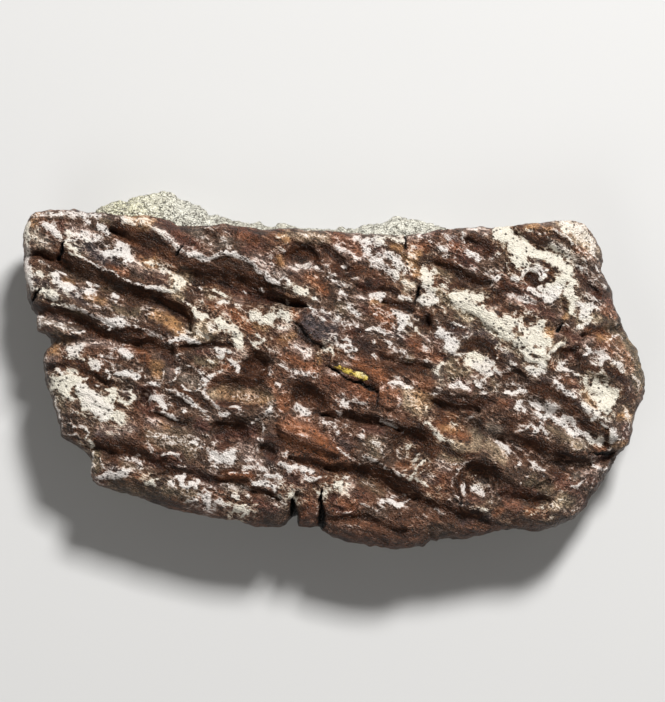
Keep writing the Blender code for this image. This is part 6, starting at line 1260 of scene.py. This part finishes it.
def bone_finish(points):
    """The bone's values at its points: its linear colour, which is its stains with painted shade, how far
    pale matter covers it, from a thin veil of dust to a closed crust, and how creamy that is. The colour
    turns to a dark brown with depth in the hollows and under the shade strokes, partly painted shade and
    partly the bone's own dark matter, and strokes of a strength over 1 darken it further. The cover is the
    highest of the veil, the dust, the lines and the crusts; the pale lines and a paler veil on the crests
    are partly painted highlight. The cover thins towards the worn lower right corner and down the walls,
    and the cracks have none."""
    plan = warped(points, 0.8, 0.12, 41)
    flat = np.column_stack([plan, np.zeros(len(plan))])
    rough = 0.38 * (noise(flat, 0.9, 73, 2) + noise(flat, 0.35, 71))
    cloudy = 1.3 * rough + 0.2 * noise(flat, 2.0, 79, 2)
    deep = smooth(0.25, 1.1, hollows(plan))
    high = smooth(0.1, 0.5, raised(plan))
    patchy = noise(flat * (0.6, 1.0, 1.0), 3.2, 43, 3)
    warm = smooth(-0.15, 0.25, patchy + 0.25 * np.exp(-(((plan[:, 0] + 2.0) / 14.0) ** 2)))[:, None]
    stain_and_shade = np.array(PLAIN_BROWN) * (1 - warm) + np.array(WARM_BROWN) * warm
    for colour, strokes in STAINS.values():
        share = brushed(plan, strokes, cloudy, 0.9, 0.15)[:, None]
        stain_and_shade = stain_and_shade * (1 - share) + np.array(colour) * share
    shade = brushed(plan, SHADES, rough)
    cut = np.clip(shade - 1.0, 0.0, 1.0)
    shade = np.clip(shade, 0.0, 1.0)
    # Painted shade: the colour darkens towards the shade brown with depth in the hollows and under the shade
    # strokes, and strokes over 1 darken it further; partly it is the bone's own dark matter
    dark = np.maximum(0.45 * deep, 0.9 * shade)[:, None]
    stain_and_shade = (stain_and_shade * (1 - dark) + np.array(SHADE_AND_DARK_BROWN) * dark) * (1 - 0.6 * cut[:, None])

    cream, white = brushed(plan, CREAM_CRUST, rough), brushed(plan, WHITE_CRUST, rough)
    wide_cream = brushed(plan, CREAM_CRUST, cloudy, 0.9, 0.9)
    wide_white = brushed(plan, WHITE_CRUST, cloudy, 0.9, 0.9)
    veil = np.maximum(0.52 * np.maximum(wide_cream, wide_white), 0.56 * brushed(plan, DUST, cloudy, 0.9, 0.8))
    # The base veil is paler on the crests and thinner in the hollows: partly pale matter, partly painted
    # highlight on the crests and painted shade in the hollows
    veil = np.maximum(veil, 0.06 + 0.10 * high - 0.06 * deep + 0.16 * noise(flat, 1.4, 47, 2))
    # The pale lines, taken in with the dust, are partly painted highlight along the crests
    dust = np.maximum(brushed(plan, DUST, rough, 0.8), brushed(plan, PALE_LINES, rough))
    pale = np.maximum(veil * (1 - 0.9 * shade), np.maximum(0.9 * dust, np.maximum(cream, white)))
    worn = 0.16 * smooth(-6.0, -10.0, plan[:, 1]) * smooth(-4.0, 10.0, plan[:, 0])
    pale = pale * (1 - cut) * (1 - worn) * (1 - 0.6 * smooth(8.6, 7.2, points[:, 2]))
    gone = 1 - smooth(0.1, 0.5, cracks(warped(points, 0.8, 0.12, 31)))
    return {"stain_and_shade": stain_and_shade * gone[:, None], "pale": pale * gone, "cream": wide_cream * (1 - 0.6 * white)}


def make_bone_plate(material):
    """The fossil bone, as a slab whose face carries the ornament, roughened along its normals."""
    plan = plate_grid(FACE_SQUARES)
    face = np.dstack([plan, face_height(plan.reshape(-1, 2)).reshape(plan.shape[:2])])
    plan = plate_grid(UNDER_SQUARES, 1.0)
    under = np.dstack([plan, np.full(plan.shape[:2], BONE_UNDERSIDE)])
    points, quads, triangles = slab(face, under, WALL_RINGS, bone_wall)
    normals = point_normals(points, quads, triangles)
    fibres = np.column_stack([points[:, 0] * 0.88 - points[:, 1] * 0.47,
                              2.6 * (points[:, 0] * 0.47 + points[:, 1] * 0.88), points[:, 2]])
    rough = 0.17 * noise(fibres, 1.7, 51, 3) + 0.07 * noise(points, 0.6, 57, 1)
    above = smooth(BONE_UNDERSIDE, BONE_UNDERSIDE + 1.0, points[:, 2])
    values = bone_finish(points)
    points = points + normals * (above * (rough + 0.14 * values["pale"]))[:, None]
    return make_piece("bone_plate_fine", points, quads, triangles, material, values)


def rock_section(bed, x, t):
    """The rock's lip at place x, as the offset past the bone's edge and the height: straight up beside
    the bone for the first part of t, then over and down by a quarter of an ellipse."""
    reach = np.interp(x, *np.transpose(ROCK_REACH))
    lift = smooth(0.0, 0.8, reach)
    crest = bed + lift * (ROCK_LIP_HEIGHT - bed)
    start = np.where(reach > 0.0, np.minimum(0.1, 0.3 * reach), reach - 0.5)
    climb = np.clip(t / 0.15, 0.0, 1.0)
    turn = np.clip((t - 0.15) / 0.85, 0.0, 1.0) * math.pi / 2
    offset = start + (reach - start) * np.sin(turn)
    height = bed + climb * (crest - bed) - (1 - np.cos(turn)) * 0.55 * crest
    return offset, height


def rock_wall(points, share):
    """The rock's wall: chipped, and swelling outwards by the square root of a half sine wave."""
    chips = noise(points, 1.5, 83, 3)
    out = math.sin(math.pi * share) ** 0.5 * (0.2 + 0.3 * chips)
    return points + np.column_stack([outwards(points) * out[:, None], np.zeros(len(points))])


def make_rock_matrix(material):
    """The rock under the bone and its lip past the north edge, made granular along its normals."""
    bed, flat_part = BONE_UNDERSIDE - 0.02, 0.22
    inset_u, inset_v = ROCK_INSET / PLATE_LENGTH, ROCK_INSET / PLATE_WIDTH
    u, v = (np.linspace(0, 1, count + 1) for count in ROCK_SQUARES)
    u, v = np.meshgrid(u, v, indexing="ij")
    u = inset_u + (1 - 2 * inset_u) * u
    plan = plate_plan(u, np.clip(inset_v + (1 - inset_v) * v / flat_part, 0, 1))
    offset, height = rock_section(bed, plan[..., 0], np.clip((v - flat_part) / (1 - flat_part), 0, 1))
    past = v > flat_part
    face = np.dstack([plan[..., 0], plan[..., 1] + np.where(past, offset, 0), np.where(past, height, bed)])
    border = face[::4, ::4]
    u2, v2 = ROCK_UNDER_SQUARES[0] + 1, ROCK_UNDER_SQUARES[1] + 1
    share = np.linspace(0, 1, v2)[None, :, None]
    south, north = border[:, :1, :2], border[:, -1:, :2]
    foot = south * (1 - share) + north * share
    foot = foot - outwards(foot.reshape(-1, 2)).reshape(u2, v2, 2) * 0.8
    under = np.dstack([foot, np.zeros((u2, v2))])
    points, quads, triangles = slab(face, under, ROCK_RINGS, rock_wall)
    normals = point_normals(points, quads, triangles)
    grains = 0.34 * noise(points, 1.9, 91, 2) + 0.24 * noise(points, 0.7, 93, 2)
    grains = grains + 0.07 * noise(points, 0.2, 97)
    free = smooth(0.0, 0.8, points[:, 2]) * np.where(np.abs(points[:, 2] - bed) < 0.02, 0.0, 1.0)
    points = points + normals * (free * grains)[:, None]
    values = {"yellow": smooth(-16.0, -24.0, points[:, 0]), "strip": smooth(1.9, 1.0, np.interp(
        points[:, 0], *np.transpose(ROCK_REACH)))}
    return make_piece("rock_matrix_fine", points, quads, triangles, material, values)


def make_sliver(material):
    """The yellow mineral: a splinter, as a ring of uneven facets carried along its path."""
    line = np.array(SLIVER)
    run = np.linspace(0, 1, 49)
    at = np.linspace(0, 1, len(line))
    x, y, width = (np.interp(run, at, line[:, k]) for k in (0, 1, 2))
    turn = np.linspace(0, 2 * math.pi, 21)[:-1]
    way = np.stack([np.gradient(x), np.gradient(y)], axis=-1)
    way /= np.linalg.norm(way, axis=1, keepdims=True)
    height = face_height(np.column_stack([x, y])) + 0.1
    side = width[:, None] * np.cos(turn)
    rise = 0.7 * width[:, None] * np.sin(turn)
    ring = np.dstack([x[:, None] - way[:, 1:] * side, y[:, None] + way[:, :1] * side, height[:, None] + rise])
    points = ring.reshape(-1, 3)
    points = points + 0.15 * np.stack([noise(points, 0.42, 101 + k, 2) for k in (0, 5, 9)], axis=-1)
    at = np.arange(49 * 20).reshape(49, 20)
    quads = np.stack([at[:-1], at[1:], np.roll(at[1:], -1, axis=1), np.roll(at[:-1], -1, axis=1)], axis=-1)
    ends = np.array([points[:20].mean(0), points[-20:].mean(0)])
    first = np.stack([np.roll(at[0], -1), np.full(20, 980), at[0]], axis=-1)
    last = np.stack([at[-1], np.full(20, 981), np.roll(at[-1], -1)], axis=-1)
    points = np.concatenate([points, ends])
    values = {"pale": smooth(2.3, 3.0, points[:, 0]) * smooth(-1.5, -0.9, points[:, 1])}
    ends = np.concatenate([first, last])
    return make_piece("mineral_sliver", points, quads.reshape(-1, 4), ends, material, values)


def add(tree, kind, inputs=(), **settings):
    """A shader node with its settings. Each input, by name or number, is linked to a socket or set."""
    made = tree.nodes.new("ShaderNode" + kind)
    for name, value in settings.items():
        setattr(made, name, value)
    for key, value in dict(inputs).items():
        if isinstance(value, bpy.types.NodeSocket):
            tree.links.new(value, made.inputs[key])
        else:
            made.inputs[key].default_value = value
    return made


def calc(tree, operation, *values):
    """The result of a Math node."""
    return add(tree, "Math", enumerate(values), operation=operation).outputs[0]


def blend(tree, share, first, second, mode="MIX"):
    """The result of a colour Mix node, which is the second colour where the share is 1."""
    colours = [v if isinstance(v, bpy.types.NodeSocket) else (*v, 1.0) for v in (first, second)]
    inputs = {0: share, 6: colours[0], 7: colours[1]}
    return add(tree, "Mix", inputs, data_type="RGBA", blend_type=mode).outputs[2]


def step(tree, value, low, high, to_low=0.0, to_high=1.0):
    """The result of a smooth Map Range node."""
    inputs = {0: value, 1: low, 2: high, 3: to_low, 4: to_high}
    return add(tree, "MapRange", inputs, interpolation_type="SMOOTHSTEP").outputs[0]


def new_group(name, inputs, outputs):
    """An empty shader node group with named sockets, and its input and output nodes."""
    group = bpy.data.node_groups.new(name, "ShaderNodeTree")
    for label, (kind, value) in inputs.items():
        socket = group.interface.new_socket(label, in_out="INPUT", socket_type="NodeSocket" + kind)
        if value is not None:
            socket.default_value = value
    for label, kind in outputs.items():
        group.interface.new_socket(label, in_out="OUTPUT", socket_type="NodeSocket" + kind)
    return group, group.nodes.new("NodeGroupInput").outputs, group.nodes.new("NodeGroupOutput").inputs


def make_grain_group():
    """Grain: noise of that size in millimetres, drawn out along the turned direction by the stretch,
    with its middle range spread over 0 to 1."""
    sockets = {"Place": ("Vector", None), "Size": ("Float", 1.0), "Stretch": ("Float", 1.0),
               "Turn": ("Float", 0.0)}
    group, given, result = new_group("Grain", sockets, {"Grain": "Float"})
    inputs = {"Vector": given["Place"], "Angle": given["Turn"]}
    turned = add(group, "VectorRotate", inputs, rotation_type="Z_AXIS")
    squeeze = add(group, "CombineXYZ", {0: calc(group, "DIVIDE", 1.0, given["Stretch"]), 1: 1.0, 2: 1.0})
    place = add(group, "VectorMath", {0: turned.outputs[0], 1: squeeze.outputs[0]}, operation="MULTIPLY")
    scale = calc(group, "DIVIDE", 1.0, given["Size"])
    inputs = {"Vector": place.outputs[0], "Scale": scale, "Detail": 2.0, "Roughness": 0.55}
    texture = add(group, "TexNoise", inputs)
    group.links.new(step(group, texture.outputs[0], 0.28, 0.72), result["Grain"])
    return group


def make_thread_group():
    """Threads: thin crooked lines, where noise of that size in millimetres passes its middle value."""
    sockets = {"Place": ("Vector", None), "Size": ("Float", 0.5), "Stretch": ("Float", 1.0),
               "Turn": ("Float", 0.0), "Width": ("Float", 0.05)}
    group, given, result = new_group("Threads", sockets, {"Mask": "Float"})
    inputs = {"Vector": given["Place"], "Angle": given["Turn"]}
    turned = add(group, "VectorRotate", inputs, rotation_type="Z_AXIS")
    squeeze = add(group, "CombineXYZ", {0: calc(group, "DIVIDE", 1.0, given["Stretch"]), 1: 1.0, 2: 1.0})
    place = add(group, "VectorMath", {0: turned.outputs[0], 1: squeeze.outputs[0]}, operation="MULTIPLY")
    scale = calc(group, "DIVIDE", 1.0, given["Size"])
    inputs = {"Vector": place.outputs[0], "Scale": scale, "Detail": 1.5, "Roughness": 0.5, "Distortion": 0.6}
    texture = add(group, "TexNoise", inputs)
    gap = calc(group, "ABSOLUTE", calc(group, "SUBTRACT", texture.outputs[0], 0.5))
    group.links.new(step(group, gap, given["Width"], 0.0), result["Mask"])
    return group


def make_cover_group():
    """Broken cover: 1 where the grain is above a level that falls as the cover rises, so that a thin
    cover is specks and a full one is closed."""
    sockets = {"Cover": ("Float", 0.5), "Grain": ("Float", 0.5), "Softness": ("Float", 0.1)}
    group, given, result = new_group("Broken cover", sockets, {"Mask": "Float"})
    reach = calc(group, "MULTIPLY_ADD", given["Softness"], 2.0, 1.0)
    fall = calc(group, "MULTIPLY", given["Cover"], reach)
    level = calc(group, "SUBTRACT", calc(group, "ADD", 1.0, given["Softness"]), fall)
    low = calc(group, "SUBTRACT", level, given["Softness"])
    high = calc(group, "ADD", level, given["Softness"])
    group.links.new(step(group, given["Grain"], low, high), result["Mask"])
    return group


def make_pinprick_group():
    """Pinpricks: round spots of that spacing in millimetres, of which only the given share is there."""
    sockets = {"Place": ("Vector", None), "Spacing": ("Float", 0.5), "Amount": ("Float", 0.4),
               "Radius": ("Float", 0.3)}
    group, given, result = new_group("Pinpricks", sockets, {"Mask": "Float"})
    scale = calc(group, "DIVIDE", 1.0, given["Spacing"])
    cells = add(group, "TexVoronoi", {"Vector": given["Place"], "Scale": scale})
    lot = add(group, "SeparateColor", {0: cells.outputs["Color"]}).outputs[0]
    chosen = calc(group, "LESS_THAN", lot, given["Amount"])
    edge = calc(group, "MULTIPLY", given["Radius"], 0.5)
    spot = step(group, cells.outputs["Distance"], given["Radius"], edge)
    group.links.new(calc(group, "MULTIPLY", spot, chosen), result["Mask"])
    return group


def use(tree, group, inputs):
    """The first result of a node group placed in a material."""
    made = tree.nodes.new("ShaderNodeGroup")
    made.node_tree = group
    for key, value in inputs.items():
        if isinstance(value, bpy.types.NodeSocket):
            tree.links.new(value, made.inputs[key])
        else:
            made.inputs[key].default_value = value
    return made.outputs[0]


def new_material(name):
    """A material, its Principled shader, and the object's place in millimetres."""
    material = bpy.data.materials.new(name)
    material.use_nodes = True
    tree = material.node_tree
    place = tree.nodes.new("ShaderNodeTexCoord").outputs["Object"]
    place = add(tree, "VectorMath", {0: place, "Scale": 1.0 / MM}, operation="SCALE").outputs[0]
    return material, tree, tree.nodes["Principled BSDF"], place


def finish(tree, shader, colour, roughness, height, distance, strength=1.0):
    """Links the colour, the roughness, and a bump of that height, whose full range is the distance."""
    bump = add(tree, "Bump", {"Height": height, "Distance": distance * MM, "Strength": strength})
    tree.links.new(colour, shader.inputs["Base Color"])
    tree.links.new(roughness, shader.inputs["Roughness"])
    tree.links.new(bump.outputs[0], shader.inputs["Normal"])


def make_bone_material(grain, threads, broken, pinpricks):
    """Waxy brown bone with streaks along the ridges, under a pale cover that goes from threads and
    specks of dust to a closed crust with black pinpricks."""
    material, tree, shader, place = new_material("fossil_bone_fine")
    # The colour read here is the bone's stains with painted shade in the hollows and under the shade strokes
    stain_and_shade = add(tree, "Attribute", attribute_name="stain_and_shade").outputs["Color"]
    pale = add(tree, "Attribute", attribute_name="pale").outputs["Fac"]
    creamy = add(tree, "Attribute", attribute_name="cream").outputs["Fac"]
    turn = math.radians(28)
    fibre = use(tree, grain, {"Place": place, "Size": 0.50, "Stretch": 2.6, "Turn": turn})
    speck = use(tree, grain, {"Place": place, "Size": 0.18})
    blotch = use(tree, grain, {"Place": place, "Size": 1.3, "Stretch": 1.8, "Turn": turn})
    streak = use(tree, grain, {"Place": place, "Size": 0.8, "Stretch": 4.0, "Turn": turn})
    thread = use(tree, threads, {"Place": place, "Size": 0.80, "Stretch": 2.0, "Turn": turn, "Width": 0.05})
    strand = use(tree, threads, {"Place": place, "Size": 0.42, "Stretch": 1.8, "Turn": turn, "Width": 0.07})
    thread = calc(tree, "MAXIMUM", thread, calc(tree, "MULTIPLY", strand, 0.8))

    # The tone is streaky bone colour times the glint of specks, fibres and threads: partly the bone's own
    # fibrous grain, partly painted glints that stand in for small highlights
    tone = calc(tree, "MULTIPLY_ADD", streak, 0.8, calc(tree, "MULTIPLY", blotch, 0.6))
    glint = calc(tree, "MULTIPLY_ADD", thread, 0.5, calc(tree, "MULTIPLY", fibre, 0.5))
    glint = calc(tree, "MULTIPLY_ADD", calc(tree, "POWER", speck, 2.0), 0.45, glint)
    tone = calc(tree, "MULTIPLY", calc(tree, "ADD", tone, 0.25), calc(tree, "ADD", glint, 0.36))
    bone = add(tree, "VectorMath", {0: stain_and_shade, "Scale": tone}, operation="SCALE").outputs[0]

    lace = calc(tree, "MULTIPLY_ADD", speck, 0.22, calc(tree, "MULTIPLY", fibre, 0.60))
    lace = calc(tree, "MULTIPLY_ADD", thread, 0.55, lace)
    level = calc(tree, "MULTIPLY", pale, 1.17)
    level = calc(tree, "MULTIPLY_ADD", calc(tree, "SUBTRACT", lace, 0.60), 0.85, level)
    cover = step(tree, level, 0.26, 0.82)
    tinted = add(tree, "VectorMath", {0: stain_and_shade, "Scale": 3.0}, operation="SCALE").outputs[0]
    dusty = blend(tree, 0.5, tinted, blend(tree, creamy, (0.41, 0.275, 0.20), (0.46, 0.32, 0.185)))
    lime = blend(tree, creamy, (0.90, 0.85, 0.80), (0.89, 0.85, 0.72))
    lime = blend(tree, 0.15, lime, tinted)
    closed = calc(tree, "MULTIPLY_ADD", level, 0.55, calc(tree, "MULTIPLY", pale, 0.45))
    closed = step(tree, closed, 0.42, 0.86)
    powder = blend(tree, closed, dusty, lime)
    colour = blend(tree, cover, bone, powder)
    crease = use(tree, threads, {"Place": place, "Size": 0.42, "Stretch": 1.6, "Turn": turn, "Width": 0.035})
    shadow = calc(tree, "MULTIPLY", calc(tree, "SUBTRACT", 1.0, speck), 0.25)
    shadow = calc(tree, "MULTIPLY_ADD", crease, 0.65, shadow)
    thin = calc(tree, "MULTIPLY_ADD", cover, -0.30, 0.85)
    colour = blend(tree, calc(tree, "MULTIPLY", shadow, thin), colour, (0.12, 0.08, 0.05), "MULTIPLY")
    pricks = use(tree, pinpricks, {"Place": place, "Spacing": 0.46, "Amount": 0.6, "Radius": 0.40})
    pricks = calc(tree, "MULTIPLY", pricks, step(tree, blotch, 0.2, 0.5))
    colour = blend(tree, calc(tree, "MULTIPLY", pricks, 0.85), colour, (0.040, 0.026, 0.018))

    shader.inputs["Specular IOR Level"].default_value = 0.3
    rough = calc(tree, "MULTIPLY_ADD", speck, 0.22, 0.24)
    rough = calc(tree, "MAXIMUM", rough, calc(tree, "MULTIPLY", cover, 0.75))
    height = calc(tree, "MULTIPLY_ADD", fibre, 0.5, calc(tree, "MULTIPLY", speck, 0.5))
    height = calc(tree, "MULTIPLY_ADD", cover, 0.35, height)
    height = calc(tree, "MULTIPLY_ADD", pricks, -0.6, height)
    finish(tree, shader, colour, rough, height, 0.22)
    return material


def make_rock_material(grain, threads, broken, pinpricks):
    """Pale granular rock: cream grains, yellower to the left, with grey and brown grains among them."""
    material, tree, shader, place = new_material("pale_rock_fine")
    yellow = add(tree, "Attribute", attribute_name="yellow").outputs["Fac"]
    strip = add(tree, "Attribute", attribute_name="strip").outputs["Fac"]
    lump = use(tree, grain, {"Place": place, "Size": 0.8})
    sand = use(tree, grain, {"Place": place, "Size": 0.20})
    seam = use(tree, threads, {"Place": place, "Size": 0.7, "Stretch": 1.5, "Turn": 0.3, "Width": 0.04})
    cream = blend(tree, yellow, (0.76, 0.74, 0.64), (0.78, 0.75, 0.52))
    cream = blend(tree, calc(tree, "MULTIPLY", strip, 0.6), cream, (0.42, 0.39, 0.31))
    colour = blend(tree, calc(tree, "MULTIPLY", lump, 0.6), cream, (0.40, 0.37, 0.29))
    specks = use(tree, broken, {"Cover": 0.24, "Grain": sand, "Softness": 0.15})
    colour = blend(tree, calc(tree, "MULTIPLY", specks, 0.85), colour, (0.13, 0.115, 0.085))
    light = use(tree, broken, {"Cover": 0.30, "Grain": calc(tree, "SUBTRACT", 1.0, sand), "Softness": 0.15})
    colour = blend(tree, calc(tree, "MULTIPLY", light, 0.75), colour, (0.88, 0.86, 0.76))
    colour = blend(tree, calc(tree, "MULTIPLY", seam, 0.8), colour, (0.07, 0.06, 0.045))
    pricks = use(tree, pinpricks, {"Place": place, "Spacing": 0.6, "Amount": 0.35, "Radius": 0.3})
    colour = blend(tree, calc(tree, "MULTIPLY", pricks, 0.8), colour, (0.07, 0.06, 0.045))
    rough = calc(tree, "MULTIPLY_ADD", sand, 0.1, 0.82)
    height = calc(tree, "ADD", calc(tree, "MULTIPLY", lump, 0.5), calc(tree, "MULTIPLY", sand, 0.5))
    height = calc(tree, "SUBTRACT", height, calc(tree, "MULTIPLY", pricks, 0.6))
    height = calc(tree, "MULTIPLY_ADD", seam, -0.5, height)
    finish(tree, shader, colour, rough, height, 0.3)
    return material


def make_sliver_material(grain):
    """Yellow mineral, from amber at its dark side to pale yellow, with a waxy gloss."""
    material, tree, shader, place = new_material("yellow_mineral")
    pale = add(tree, "Attribute", attribute_name="pale").outputs["Fac"]
    streak = use(tree, grain, {"Place": place, "Size": 0.35, "Stretch": 1.6, "Turn": math.radians(25)})
    speck = use(tree, grain, {"Place": place, "Size": 0.16})
    colour = blend(tree, streak, (0.30, 0.16, 0.012), (0.80, 0.60, 0.10))
    colour = blend(tree, calc(tree, "MULTIPLY", pale, speck), colour, (0.90, 0.80, 0.45))
    dark = step(tree, calc(tree, "MULTIPLY_ADD", speck, -0.6, calc(tree, "SUBTRACT", 1.0, streak)), 0.25, 0.6)
    colour = blend(tree, calc(tree, "MULTIPLY", dark, 0.9), colour, (0.045, 0.022, 0.004))
    finish(tree, shader, colour, calc(tree, "MULTIPLY_ADD", speck, 0.2, 0.3), speck, 0.12)
    return material


def make_floor():
    """A plain pale floor, which runs out of the picture on every side."""
    side = FLOOR_REACH
    corners = np.array([(-side, -side, 0), (side, -side, 0), (side, side, 0), (-side, side, 0)])
    mesh = bpy.data.meshes.new("floor")
    mesh.from_pydata(corners.tolist(), [], [(0, 1, 2, 3)])
    material, tree, shader, place = new_material("floor")
    shader.inputs["Base Color"].default_value = FLOOR_COLOUR
    shader.inputs["Roughness"].default_value = 0.9
    mesh.materials.append(material)
    floor = bpy.data.objects.new("floor", mesh)
    bpy.context.scene.collection.objects.link(floor)


def aim(obj, place, target):
    """Puts a light or camera at a place in metres, looking at the target with its top towards +Y or up."""
    way = np.array(target) - np.array(place)
    way /= np.linalg.norm(way)
    up = np.array((0.0, 1.0, 0.0)) if abs(way[2]) > 0.9 else np.array((0.0, 0.0, 1.0))
    right = np.cross(way, up)
    right /= np.linalg.norm(right)
    matrix = np.eye(4)
    matrix[:3] = np.stack([right, np.cross(right, way), -way, np.array(place)], axis=1)
    obj.matrix_world = Matrix(matrix)


def make_light(name, azimuth, elevation, distance, size, power, target):
    """A square area light, seen from the target at that compass bearing (0 is +Y, 90 is +X) and height."""
    data = bpy.data.lights.new(name, "AREA")
    data.shape = "SQUARE"
    data.size = size
    data.energy = power
    light = bpy.data.objects.new(name, data)
    bpy.context.scene.collection.objects.link(light)
    a, e = math.radians(azimuth), math.radians(elevation)
    way = np.array((math.sin(a) * math.cos(e), math.cos(a) * math.cos(e), math.sin(e)))
    aim(light, np.array(target) + distance * way, target)


def make_camera():
    """A long lens almost straight above the plate, which fills most of the picture's width."""
    data = bpy.data.cameras.new("camera")
    data.lens = LENS
    data.sensor_width = 36.0
    camera = bpy.data.objects.new("camera", data)
    bpy.context.scene.collection.objects.link(camera)
    target = np.array(CAMERA_AIM) * MM
    elevation = math.radians(CAMERA_ELEVATION)
    way = np.array((0.0, -math.cos(elevation), math.sin(elevation)))
    aim(camera, target + CAMERA_DISTANCE * way, target)
    bpy.context.scene.camera = camera


def make_lighting():
    """A warm white studio: a small key light from the upper right, a wide fill and a dim world."""
    scene = bpy.context.scene
    scene.view_settings.view_transform = "Standard"
    world = bpy.data.worlds.new("studio")
    world.use_nodes = True
    background = world.node_tree.nodes["Background"]
    background.inputs["Color"].default_value = WORLD_COLOUR
    background.inputs["Strength"].default_value = WORLD_STRENGTH
    scene.world = world
    make_light("key", *KEY_LIGHT, LIGHT_AIM)
    make_light("fill", *FILL_LIGHT, LIGHT_AIM)


def main():
    """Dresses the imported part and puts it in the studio."""
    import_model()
    grain, threads = make_grain_group(), make_thread_group()
    broken, pinpricks = make_cover_group(), make_pinprick_group()
    bone = make_bone_plate(make_bone_material(grain, threads, broken, pinpricks))
    rock = make_rock_matrix(make_rock_material(grain, threads, broken, pinpricks))
    sliver = make_sliver(make_sliver_material(grain))
    for piece, slot in ((bone, "fossil_bone"), (rock, "pale_rock"), (sliver, "fossil_bone")):
        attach(piece, "root")
    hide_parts("bone_plate")
    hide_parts("rock_matrix")
    make_floor()
    make_lighting()
    make_camera()


main()
